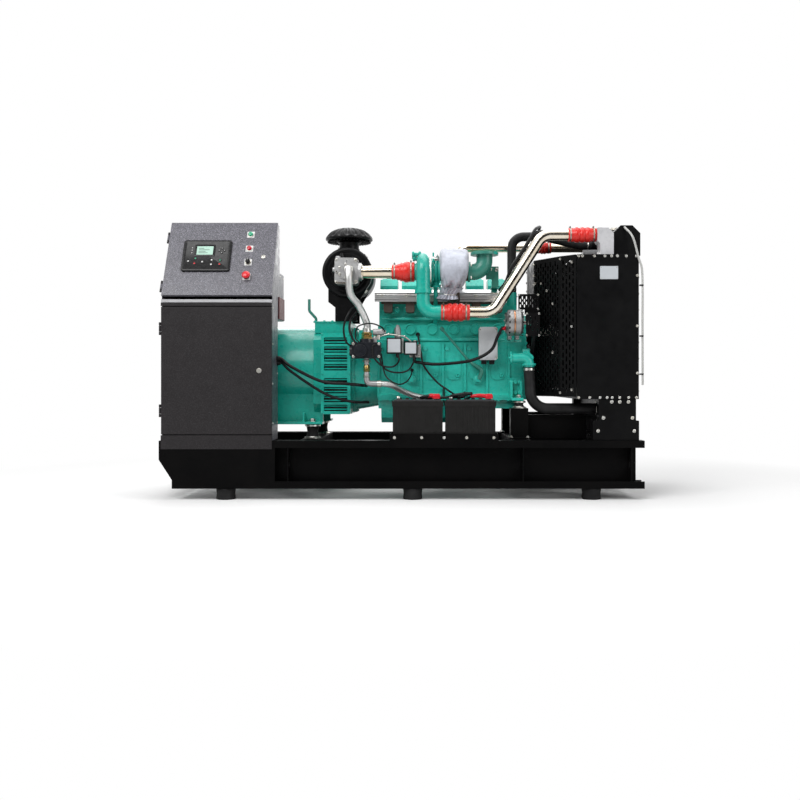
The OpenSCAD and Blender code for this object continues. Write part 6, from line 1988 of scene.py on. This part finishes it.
@dataclass
class AirIntake:
    """The air cleaner, its pre-cleaner and the gas mixer."""

    at: Point = (-322.0, -268.0, 1283.0)
    neck: Point = (-322.0, -118.0)
    cap_z: float = 1472.0
    ribs: int = 18

    def build(self) -> None:
        """Dresses the air intake."""
        softened("air_cleaner_bracket", [F.RADIATOR_BLACK], bevel=1.0)
        softened("gas_mixer", [F.CAST, F.POLISHED], bevel=3.0,
                 zone=lambda c: c[:, 0] > -231)
        self.canister()
        self.mixer_trim()

    def canister(self) -> None:
        """The canister with its rims and latches, the neck and the mushroom above it."""
        shell = [(0, 2), (84, 2), (88, 6), (117, 6), (121, 2), (126, 0), (131, 0), (139, 3), (144, 10),
                 (144, 56), (141, 60), (139, 64), (139, 80), (141, 83), (144, 87), (144, 200), (145, 203),
                 (145, 209), (144, 212), (144, 360), (138, 372), (128, 380), (0, 380)]
        seal = [(104, 5.0), (107, 3.0), (110, 5.0), (110, 6.2), (104, 6.2)]
        neck = [(58, 0), (58, 62), (62, 64), (62, 76), (58, 78), (58, 112), (62, 116), (66, 118), (0, 118)]
        skins = [turned(shell, self.at, "y", 88), turned(seal, self.at, "y", 72)]
        skins += [turned(neck, (*self.neck, 1360), sides=56), self.mushroom()]
        fin = prism([(76, -1.2), (128, -1.2), (128, 1.2), (76, 1.2)], 6.0)
        for a in 2 * np.pi * np.arange(40) / 40:
            skins.append(fin.mapped(about("z", a), (*self.neck, self.cap_z + 1)))
        for a in np.radians([45, 135, 225, 315]):
            rows = np.array([[math.sin(a), 0, -math.cos(a)], [0, 1, 0], [math.cos(a), 0, math.sin(a)]])
            latch = blocks((-9, 30, 139, 9, 96, 148, 1), (-12, 92, 142, 12, 100, 151, 1))
            skins += [s.mapped(rows, self.at) for s in latch]
        lug = [(0, 0), (7, 0), (7, 5), (5, 8), (0, 9)]
        skins.append(turned(lug, (self.neck[0] - 58, self.neck[1] - 12, 1438), "-x", 18).painted(1))
        clip = [(57.5, 0), (59.6, 0.4), (59.6, 11.6), (57.5, 12)]
        skins.append(turned(clip, (*self.neck, 1406), sides=48).painted(1))
        piece("air_canister", skins, [F.CLEANER, F.ZINC], replaces=["air_cleaner"], angle=46)

    def mushroom(self) -> Surface:
        """The pre-cleaner's dome: a turned profile, its slope cut by grooves of (0.5 - 0.5 cos(18 a))^1.5.

        Returns:
            The dome.
        """
        edge = [(66, 0), (66, 6), (100, 10), (130, 13), (137, 16), (138.5, 21), (138.5, 28), (134, 36),
                (125, 47), (113, 59), (98, 69), (80, 77), (58, 83), (36, 87), (16, 89.5), (0, 90)]
        profile = smooth_path([(r, 0, h) for r, h in edge], 4)
        a = 2 * np.pi * np.arange(288) / 288
        slope = np.clip((profile[:, 2] - 24) / 16, 0, 1) * np.clip((profile[:, 0] - 40) / 30, 0, 1)
        cut = slope[:, None] * (0.5 - 0.5 * np.cos(self.ribs * a)) ** 1.5
        r = np.maximum(profile[:, :1] - 7 * cut, 0.01)
        x, y = self.neck
        table = np.stack([x + r * np.cos(a), y + r * np.sin(a), self.cap_z + profile[:, 2:] - 6 * cut], -1)
        return outward(grid(table, True, Cap.FLAT))

    def mixer_trim(self) -> None:
        """Bolts, plugs and plates of the gas mixer."""
        face = [(x, -382, z) for x in (-370, -262) for z in (1214, 1337)]
        cover = [(-318 + 38 * math.cos(a), -396, 1275 + 38 * math.sin(a))
                 for a in np.radians(np.arange(30, 390, 60))]
        flange = round_x(-232, S.turbo_y, S.turbo, 44, 4, 45)
        skins = [bolts(9, face, "-y"), bolts(7, cover, "-y"), bolts(9, flange, "x")]
        skins.append(turned(button(16, 10, 12, 13), (-365, -340, 1351), sides=24).painted(1))
        stalk = [(0, 0), (11, 0), (11, 22), (8, 24), (8, 34), (0, 34)]
        skins.append(turned(stalk, (-345, -340, 1347), sides=24).painted(2))
        skins.append(turned(button(14, 14, 9, 18), (-382, -320, 1290), "-x", 24).painted(1))
        skins += blocks(
            (-376, -388, 1276, -316, -380, 1342, 1), (-372, -386, 1212, -322, -380, 1262, 1),
            (-374, -391, 1263, -316, -380, 1270, 0), (-372, -392, 1205, -316, -376, 1212, 3),
        )
        lip = [(35.8, 0), (37.4, 1), (37.4, 4), (35.8, 5)]
        skins += [turned(lip, (x, S.turbo_y, S.turbo), "x", 48).painted(3) for x in (-226, -66)]
        piece("mixer_trim", skins, [F.ZINC, F.CAST, F.BLACK, F.POLISHED], bevel=1.2)


@dataclass
class GasTrain:
    """The gas valves, fittings and braided hoses, and the cables."""

    x: float = -203.0
    y: float = -346.0
    joints: Point = ((-160, -330, 905), (-80, -300, 925), (10, -262, 914), (60, -240, 872))

    def build(self) -> None:
        """Dresses the gas train and the cables."""
        softened("gas_valve_train", [F.BLUE_GREY, F.BRASS, F.CAST], bevel=2.0, zone=self.parts)
        self.hoses()
        self.trim()
        self.wires()
        self.cables()

    def parts(self, c: np.ndarray) -> np.ndarray:
        """Marks the brass fittings and the pale regulators."""
        fitting = (abs(c[:, 0] - self.x) < 64) & ((c[:, 2] > 894) | (c[:, 2] < 783.5))
        return np.where(fitting, np.where(c[:, 2] > 894, 1, 2), np.where(c[:, 0] > -90, 2, 0))

    def hoses(self) -> None:
        """Two braided hoses with crimped steel ends."""
        x, y = self.x, self.y
        upper = [(-300, -397, 1279), (-300, -420, 1278), (-296, -434, 1225), (-288, -414, 1141),
                 (-243, -370, 1075), (x, y, 985), (x, y, 932.3)]
        lower = [(-142.7, y, 641), (-119, y, 641), (-63, -342, 633), (7, -282, 595), (97, -237, 565),
                 (197, -237, 553)]
        crimp = [(20, 0), (23, 0), (23.6, 2), (22.6, 8), (23.6, 12), (22.6, 18), (23.4, 22), (20, 24)]
        skins = [
            tube(smooth_path(upper, 14), 20, 40),
            tube(smooth_path(lower, 14), 17, 36),
            turned(crimp, (x, y, 934)).painted(1),
            turned(crimp, (-300, -398, 1279), "-y").painted(1),
            turned([(r * 0.86, h) for r, h in crimp], (-142, y, 641), "x").painted(1),
        ]
        piece("braided_hoses", skins, [F.BRAID, F.ZINC], replaces=["gas_hoses"], angle=50)

    def trim(self) -> None:
        """Linkages, regulators' lids, sensor plugs, screws and the fittings' hexagons."""
        x, y = self.x, self.y
        skins = [hex_bolt(32, 0.55, False).moved((x, y, z)) for z in (896, 914)]
        skins.append(turned([(0, 0), (19, 0), (19, 30), (17, 33), (17, 42), (0, 42)], (x, y, 708), sides=6))
        skins.append(hex_bolt(26, 0.6, False).moved((x, y, 762)).painted(1))
        skins.append(turned(rod(21, 0, 14), (x, y, 676), sides=6).painted(1))
        for size, xs, depth, zs in ((7, (-275, -131), -392, (794, 866)), (6, (-68, -4), -290, (825, 893)),
                                    (6, (46, 94), -274, (801, 859))):
            skins.append(bolts(size, [(a, depth, b) for a in xs for b in zs], "-y", 1))
        skins += [tube(along(a, b, 4), 5.0, 12).painted(1) for a, b in zip(self.joints, self.joints[1:])]
        can = [(0, 0), (17, 0), (19, 3), (19, 52), (16, 56), (16, 62), (10, 64), (10, 74), (0, 74)]
        skins.append(turned(can, (-168, -330, 934), "x").painted(2))
        skins.append(turned(rod(11, 0, 44), (-138, -330, 892), sides=24).painted(1))
        skins.append(turned(can, (-30, -262, 905), sides=28).painted(2))
        skins.append(turned(button(13, 22, 9, 26), (70, -245, 866), sides=6).painted(1))
        ball = turned([(0, -8), (5.6, -5.6), (8, 0), (5.6, 5.6), (0, 8)], sides=18)
        skins += [ball.moved(p).painted(1) for p in self.joints[:3]]
        skins += blocks((-176, -344, 873, -146, -316, 904, 2))
        for x0, x1, y0, z0, z1 in ((-92, -6, -318, 812, 904), (8, 84, -298, 806, 884)):
            skins += blocks((x0, y0, z0, x1, y0 + 28, z1, 4),
                            (x0 + 7, y0 - 2, z0 + 8, x1 - 7, y0 + 1, z1 - 8, 3))
            skins.append(turned(button(8, 18, 5, 22), ((x0 + x1) / 2 + 18, y0 + 12, z0), "-z", 20).painted(4))
        piece("gas_trim", skins, [F.BRASS, F.ZINC, F.CAST, F.LABEL, F.BLACK], bevel=1.2)

    def wires(self) -> None:
        """The thin wiring between the valves, the air cleaner's bracket, the engine and the charge pipe."""
        routes = (
            (5.0, [(-25, -306, 812), (-22, -320, 770), (-52, -372, 738), (-112, -392, 742), (-160, -398, 790),
                   (-168, -394, 846), (-150, -392, 862)]),
            (5.0, [(64, -286, 806), (64, -300, 770), (30, -352, 716), (-40, -380, 704), (-104, -384, 730),
                   (-128, -372, 790), (-121, -352, 842)]),
            (5.5, [(-284, -352, 850), (-318, -372, 880), (-330, -382, 960), (-300, -372, 1044),
                   (-268, -330, 1084), (-262, -276, 1092)]),
            (4.0, [(-240, -386, 872), (-262, -402, 900), (-250, -402, 960), (-180, -392, 980),
                   (-120, -372, 962), (-100, -342, 938)]),
            (5.5, [(84, -158, 930), (90, -236, 900), (104, -268, 822), (122, -280, 742), (190, -300, 656),
                   (258, -330, 604), (300, -384, 578), (316, -430, 570)]),
            (6.5, [(-262, -276, 1060), (-292, -330, 1010), (-300, -352, 950), (-278, -366, 890),
                   (-262, -372, 872)]),
            (4.0, [(-121, -340, 812), (-96, -372, 690), (-30, -396, 640), (20, -372, 650), (48, -300, 690),
                   (52, -222, 720)]),
            (9.0, [(545, -120, 1168), (560, -230, 1186), (584, -360, 1216), (612, -398, 1290),
                   (664, -402, 1372), (716, -396, 1452), (750, -360, 1512), (790, -250, 1546),
                   (800, -130, 1552), (815, -78, 1548)]),
            (9.0, [(560, -120, 1150), (590, -210, 1180), (622, -330, 1240), (646, -362, 1326),
                   (700, -366, 1420), (744, -340, 1490), (800, -240, 1522), (850, -140, 1528),
                   (868, -84, 1538)]),
            (11.0, [(600, -100, 1150), (640, -150, 1230), (690, -200, 1330), (730, -220, 1420),
                    (780, -180, 1480), (812, -96, 1500)]),
        )
        skins = [tube(smooth_path(route, 12), r, 14) for r, route in routes]
        plug = turned([(0, 0), (13, 0), (13, 5), (9.5, 7), (9.5, 26), (8, 29), (0, 29)], sides=20)
        skins.append(repeated(plug, [(84, -150, 930), (52, -199, 720)], "-y"))
        piece("engine_wires", skins, [F.CABLE_BLACK], angle=60)

    def cables(self) -> None:
        """The cabinet's two cables and the engine's loom, on the routes of the part's own cables."""
        routes = (
            (9, [(-715.5, -330, 785), (-694, -330, 785), (-626, -345, 735), (-460, -350, 655),
                 (-320, -350, 641), (-240, -330, 633), (-210, -250, 630)]),
            (8, [(-715, -320, 765), (-692, -320, 764), (-626, -335, 705), (-440, -345, 585),
                 (-290, -330, 539), (-200, -240, 535)]),
            (9, [(70, -244, 791.5), (70, -244, 769), (152, -270, 755), (242, -288, 755), (396, -300, 775),
                 (502, -322, 830), (540, -346, 910), (565, -350, 955), (584.7, -350, 955)]),
        )
        paths = [smooth_path(route, 16) for _, route in routes]
        skins = [tube(path, r, 20) for path, (r, _) in zip(paths, routes)]
        tie = [(9.2, -2), (10.4, -1.6), (10.4, 1.6), (9.2, 2)]
        skins += [turned(tie, paths[2][k], "x", 18).painted(1) for k in (36, 60, 84)]
        gland = [(0, 0), (15, 0), (15, 8), (12, 10), (12, 18), (10, 22), (0, 22)]
        skins += [turned(gland, (S.cab_x1, y, z), "x", 24) for y, z in ((-330, 785), (-320, 759))]
        piece("engine_loom", skins, [F.CABLE_BLACK, F.BLACK], replaces=["engine_cables"],
              angle=50)


@dataclass
class Radiator:
    """The radiator package: frame, finned cores, tank, ducts, guard, stands, hoses and overflow tube."""

    bolt: float = 6.5
    core_y: float = 475.7
    guard_z: Point = (569.0, 1359.0)
    cell: Point = (19.0, 40.0)
    hole: Point = (11.0, 30.0)
    pump_y: float = -312.0

    def build(self) -> None:
        """Dresses the radiator."""
        softened("radiator_frame", [F.RADIATOR_BLACK], bevel=1.0)
        softened("radiator_top_tank", [F.RADIATOR_BLACK], bevel=5.0)
        softened("radiator_stands", [F.RADIATOR_BLACK], bevel=1.5)
        softened("charge_cooler_headers", [F.DUCT, F.POLISHED], bevel=5.0,
                 zone=lambda c: c[:, 0] < 1058)
        self.cores()
        self.guard()
        self.fasteners()
        self.hoses()
        self.cap_and_label()

    def cores(self) -> None:
        """The two cores: tubes and folded fins on both open faces, with their tanks."""
        w = self.core_y
        skins = blocks(
            (1131, -w, 616, 1257, w, 1297, 0), (1111, -w, 1297, 1277, w, 1352.7, 0),
            (1111, -w, 560.3, 1277, w, 616, 0), (1129, -395.7, 478, 1259, 395.7, 556, 0),
            (1022, -w, 560.3, 1079, w, 1352.7, 0),
        )
        skins.append(folded((-w, 616), (w, 1297), 1269, 11, 5.0, 11.0).painted(1))
        skins.append(folded((-w, 560.3), (w, 1352.7), 1009.5, -11, 8.0, 14.0).painted(1))
        piece("cores", skins, [F.RADIATOR_BLACK, F.CORE], replaces=["radiator_core"])

    def guard(self) -> None:
        """The perforated guard round the fan: three panels a side, with folded tops and feet."""
        p = [(764, -115), (764, -190), (890, -380), (967.2, -459)]
        z0, z1 = self.guard_z
        near, far = [], []
        for a, b, margin in ((p[2], p[3], 9.0), (p[1], p[2], 10.0), (p[0], p[1], 8.0)):
            near.append(perforated(b, a, z0, z1, self.cell, self.hole, (margin, 16.0)))
            far.append(sheet(b, a, z0, z1))
        inner = perforated((764, 0), (764, -115), S.fan_z + 112, z1, self.cell, self.hole, (8.0, 12.0))
        lips = [(967.2, -351), (887, -351), (764, -120), (764, -190), (890, -380), (967.2, -459)]
        shared = [inner, *(prism(lips, 2.0, (0, 0, z)) for z in (z0, z1 - 2))]
        plan = [(967, -458), (890, -379), (765, -189), (765, 189), (890, 379), (967, 458)]
        collar = [(108, -1), (116, -1), (116, 3), (108, 3), (108, -1)]
        ring = turned(collar, (764, 0, S.fan_z), "x", 64, Cap.NONE)
        skins = [merged(near + shared), merged(far + shared).mirrored(), ring,
                 prism(plan, 2.0, (0, 0, z1 - 4))]
        piece("guard_sheets", skins, [F.RADIATOR_BLACK], replaces=["fan_guard"])
        edge = [(764, -191, z) for z in (1217, 1270, 1335, 640)] + [(890, -381.5, z) for z in (590, 1343)]
        edge += [(770, -201, 1225), (799, -244, 1220), (827, -286, 1175), (855, -328, 1097), (855, -328, 818)]
        edge += [(945, -441, z) for z in (607, 960, 1319)]
        heads = bolts(self.bolt, edge, "-y")
        piece("guard_bolts", [heads, heads.mirrored()], [F.ZINC])

    def fasteners(self) -> None:
        """The zinc bolts along the side plates, the end frame and the stands."""
        rows = [(x, S.side_y, 565) for x in (977, 1038, 1095, 1134, 1162, 1204, 1253, 1296)]
        rows += [(x, S.side_y, 1347) for x in (977, 998, 1064, 1122, 1159, 1191, 1240, 1296)]
        rows += [(1301, S.side_y, z) for z in (700, 960, 1240)]
        feet = {541: (1161, 1205, 1253), 452: (1115, 1275), 380: (1085, 1285)}
        stand = [(x, -474, z) for z, xs in feet.items() for x in xs]
        near, base = bolts(self.bolt, rows, "-y"), bolts(8.5, stand, "-y")
        ends = bolts(self.bolt, [(1310, s * 462, z) for s in (-1, 1) for z in np.linspace(600, 1320, 9)], "x")
        skins = [near, near.mirrored(), base, base.mirrored(), ends]
        piece("radiator_bolts", skins, [F.ZINC])

    def cap_and_label(self) -> None:
        """The pressure cap and the bare label plate."""
        cap = [(0, 0), (38, 0), (40, 3), (40, 12), (34, 17), (20, 20), (0, 21)]
        skins = [turned(cap, (1255, -120, 1543), sides=48)]
        skins += blocks(*[(1255 + x, -130, 1545, 1273 + x, -110, 1556, 0) for x in (-47, 29)])
        skins.append(prism(round_outline(100, 72, 4), 0.8, (1145, S.side_y, 1255), "-y").painted(1))
        rivet = turned([(0, 0), (2.4, 0), (1.8, 1.2), (0, 1.5)], sides=12)
        places = [(1145 + a, S.side_y - 0.8, 1255 + b) for a in (-43, 43) for b in (-29, 29)]
        skins.append(repeated(rivet, places, "-y"))
        piece("cap_and_label", skins, [F.ZINC, F.LABEL])

    def hoses(self) -> None:
        """The two coolant hoses with their clamps, and the clear overflow tube."""
        y = self.pump_y
        lower = bent_path([(721, y, 734.7), (721, y, 707), (734, y, 499), (1129, y, 499)], 100, 20, 30)
        upper = [(1118, -70, 1467), (1048, -70, 1467), (839, -70, 1519), (645, -60, 1519), (645, -60, 1185)]
        skins = [tube(lower, 31, 44), tube(bent_path(upper, 70, 20, 30), 27, 40),
                 band(1100, y, 499, 31.0, finish=1)]
        strap = [(31, 0), (32.6, 0.4), (32.6, 13.6), (31, 14)]
        skins.append(turned(strap, (721, y, 716), sides=40).painted(1))
        skins.append(turned([(r - 4, h) for r, h in strap], (645, -60, 1196), sides=40).painted(1))
        skins.append(band(1092, -70, 1467, 27.0, finish=1))
        piece("coolant_tubes", skins, [F.HOSE_BLACK, F.ZINC], replaces=["coolant_hoses"],
              angle=50)
        route = [(1242, -425, 1516), (1278, -470, 1453), (1306, -488, 1337), (1327, -488, 1247),
                 (1328, -488, 957), (1329, -488, 634)]
        clips = blocks(*[(1312, -496, z, 1332, -480, z + 8, 1) for z in (1180, 900, 690)])
        skins = [tube(smooth_path(route, 16), 6, 18), *clips]
        piece("overflow_line", skins, [F.CLEAR, F.BLACK], replaces=["overflow_tube"], angle=50)


@dataclass
class Batteries:
    """The two starting batteries, their terminals and red boots."""

    xs: Point = (-54.0, 238.0)
    length: float = 284.0
    post_y: float = -441.0
    leads: tuple = (
        (7.5, [(176, -441, 571), (150, -440, 574), (110, -420, 566), (120, -395, 562), (250, -392, 563),
               (330, -400, 566), (345, -425, 570), (315, -440, 573)]),
        (7.5, [(272, -436, 574), (300, -452, 580), (346, -462, 586), (384, -446, 588), (380, -414, 584),
               (330, -398, 578), (296, -404, 574), (268, -380, 568), (240, -340, 562), (236, -300, 575),
               (236, -222, 610)]),
        (8.0, [(430, -434, 570), (400, -420, 572), (380, -380, 566), (372, -330, 560), (366, -290, 566),
               (362, -240, 572), (358, -212, 590)]),
    )

    def build(self) -> None:
        """Dresses the batteries."""
        # Faces above 544 mm wear the lighter lid paint: painted highlight.
        softened("batteries", [F.BATTERY, F.BATTERY_LID_HIGHLIGHT], bevel=2.5,
                 zone=lambda c: c[:, 2] > 544)
        y = self.post_y
        skins = []
        for x in self.xs:
            for k in range(1, 7):
                at = (x + k * self.length / 7, -357, 557)
                skins.append(turned(button(10, 2.5, 8, 4), at, sides=24).painted(1))
            skins += [turned(button(11, 9, 9, 11), (x + a, y, 560), sides=24).painted(2) for a in (34, 250)]
        hood = round_outline(42, 34, 9)
        boot = stacked([(hood * f, h) for f, h in ((1, 0), (1.05, 8), (1, 20), (0.72, 27))])
        for x, reach in ((196, 26), (488, 82)):
            skins.append(boot.moved((x - 4, y, 558)))
            bend = x - 24 - reach * 0.4
            neck = smooth_path([(x - 14, y, 571), (bend, -440, 575), (x - 24 - reach, -434, 571)], 10)
            skins.append(tube(neck, np.linspace(13, 9, len(neck)), 22))
        skins.append(prism(round_outline(30, 40, 10), 5.0, (272, -436, 569)).painted(1))
        skins += [tube(smooth_path(route, 12), r, 18).painted(1) for r, route in self.leads]
        piece("battery_fittings", skins, [F.BOOT_RED, F.BLACK, F.ZINC], angle=45)


@dataclass
class Studio:
    """The camera, the soft lights and the white floor and backdrop, in metres."""

    eye: Point = (0.156, -5.5, 0.648)
    lens: float = 40.9
    shift: Point = (-0.0375, -0.0219)
    fade: Point = (2.2, 3.4)
    ambient: float = 0.36
    floor_r: float = 60.0
    lamps: tuple = (
        ("key", (4.0, 2.6), 215.0, (-2.4, -3.9, 4.2), (-0.2, 0, 0.75)),
        ("fill", (3.0, 2.6), 70.0, (4.4, -4.2, 2.2), (0.3, 0, 0.8)),
        ("top", (5.0, 2.4), 110.0, (0.2, 0.2, 4.4), (0, 0, 0.6)),
        ("back", (5.0, 3.0), 110.0, (0.5, 5.4, 3.4), (0, 0, 0.8)),
    )

    def build(self) -> None:
        """Sets up the scene's camera, lights, world and floor."""
        scene = bpy.context.scene
        scene.view_settings.view_transform = "Standard"
        cam = bpy.data.cameras.new("camera")
        cam.lens = self.lens
        cam.shift_x, cam.shift_y = self.shift
        cam.dof.use_dof = False
        scene.camera = self.placed("camera", cam, self.eye, (math.radians(90), 0, 0))
        self.lights()
        self.world()
        self.floor()
        self.flag()

    def placed(self, name: str, data: bpy.types.ID, at: Point = (0, 0, 0),
               turn: Point = (0, 0, 0)) -> bpy.types.Object:
        """Puts a camera, light or mesh into the scene and returns its object.

        Args:
            name: the object's name.
            data: what it shows.
            at: its place.
            turn: its turn.

        Returns:
            The object.
        """
        obj = bpy.data.objects.new(name, data)
        obj.location = at
        obj.rotation_euler = turn
        bpy.context.scene.collection.objects.link(obj)
        return obj

    def lights(self) -> None:
        """Large soft lights in front, above and behind."""
        for name, size, power, at, aim in self.lamps:
            light = bpy.data.lights.new(name, "AREA")
            light.shape = "RECTANGLE"
            light.size, light.size_y = size
            light.energy = power
            way = np.subtract(aim, at)
            turn = (math.atan2(math.hypot(way[0], way[1]), -way[2]), 0,
                    math.atan2(way[1], way[0]) - math.pi / 2)
            obj = self.placed(name, light, at, turn)
            obj.visible_camera = False
            obj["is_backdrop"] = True

    def world(self) -> None:
        """White to the camera, in reflections and through glass, a soft grey as a light."""
        world = bpy.data.worlds.new("world")
        bpy.context.scene.world = world
        world.use_nodes = True
        nodes, links = world.node_tree.nodes, world.node_tree.links
        back, path = nodes["Background"], nodes.new("ShaderNodeLightPath")
        first, second = nodes.new("ShaderNodeMath"), nodes.new("ShaderNodeMath")
        first.operation = second.operation = "ADD"
        second.use_clamp = True
        level = nodes.new("ShaderNodeMapRange")
        level.inputs["To Min"].default_value = self.ambient
        links.new(path.outputs["Is Camera Ray"], first.inputs[0])
        links.new(path.outputs["Is Glossy Ray"], first.inputs[1])
        links.new(first.outputs[0], second.inputs[0])
        links.new(path.outputs["Is Transmission Ray"], second.inputs[1])
        links.new(second.outputs[0], level.inputs["Value"])
        back.inputs["Color"].default_value = (1, 1, 1, 1)
        links.new(level.outputs["Result"], back.inputs["Strength"])

    def card(self, name: str, corners: Sequence[Point], s: Shader) -> bpy.types.Object:
        """A flat card of the scene through four corners.

        Args:
            name: its name.
            corners: its corners.
            s: the shader it wears.

        Returns:
            The card.
        """
        mesh = bpy.data.meshes.new(name)
        mesh.from_pydata(corners, [], [(0, 1, 2, 3)])
        mesh.materials.append(s.material)
        obj = self.placed(name, mesh)
        obj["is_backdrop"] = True
        return obj

    def floor(self) -> None:
        """A wide pale floor, which fades to the background's white."""
        s = Shader("floor_white")
        path = s.node("LightPath").outputs
        seen = s.math("MAXIMUM", path["Is Glossy Ray"], path["Is Transmission Ray"])
        seen = s.math("MAXIMUM", path["Is Camera Ray"], seen)
        s.link(s.blend(seen, (0.5, 0.5, 0.5), (0.95, 0.95, 0.95)), "Base Color")
        s.set(Roughness=0.9, Specular_IOR_Level=0.0)
        reach = s.node("VectorMath", operation="LENGTH")
        s.tree.links.new(s.coords.outputs["Object"], reach.inputs[0])
        far = s.spread(reach.outputs["Value"], *self.fade, 0.0, 1.0)
        glow = s.node("Emission", Color=(1, 1, 1, 1), Strength=1.0)
        mix = s.node("MixShader")
        for k, source in enumerate((s.math("MULTIPLY", far, seen), s.surface.outputs[0], glow.outputs[0])):
            s.tree.links.new(source, mix.inputs[k])
        s.tree.links.new(mix.outputs[0], s.tree.nodes["Material Output"].inputs["Surface"])
        r = self.floor_r
        self.card("floor", [(-r, -r, 0), (r, -r, 0), (r, r, 0), (-r, r, 0)], s)

    def flag(self) -> None:
        """A dark card behind the camera, which only reflections see, so that bright metal has an edge."""
        wide, low, high, y = 6.5, -0.6, 7.0, -8.5
        s = Shader("flag_dark")
        s.set(Base_Color=(0.02, 0.02, 0.02, 1), Roughness=1.0, Specular_IOR_Level=0.0)
        obj = self.card("flag", [(-wide, y, high), (wide, y, high), (wide, y, low), (-wide, y, low)], s)
        obj.visible_camera = obj.visible_diffuse = obj.visible_shadow = obj.visible_transmission = False


def clear_scene() -> None:
    """Empties the start-up scene."""
    for obj in list(bpy.data.objects):
        bpy.data.objects.remove(obj)


def corners(pair: object) -> list:
    """Turns a pair of corners into plain lists of numbers."""
    return [[float(v) for v in corner] for corner in pair]


def main() -> None:
    """Builds the dressed generating set round its frame."""
    logging.basicConfig(level=logging.INFO, format="%(message)s")
    clear_scene()
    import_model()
    size = {"cad": corners(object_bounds())}
    for kind in (Skid, Cabinet, Alternator, Engine, Turbo, ChargePipes, AirIntake, GasTrain, Radiator,
                 Batteries):
        kind().build()
        LOG.info("%s is done", kind.__name__)
    Studio().build()
    size["dressed"] = corners(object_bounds())


if __name__ == "__main__":
    main()
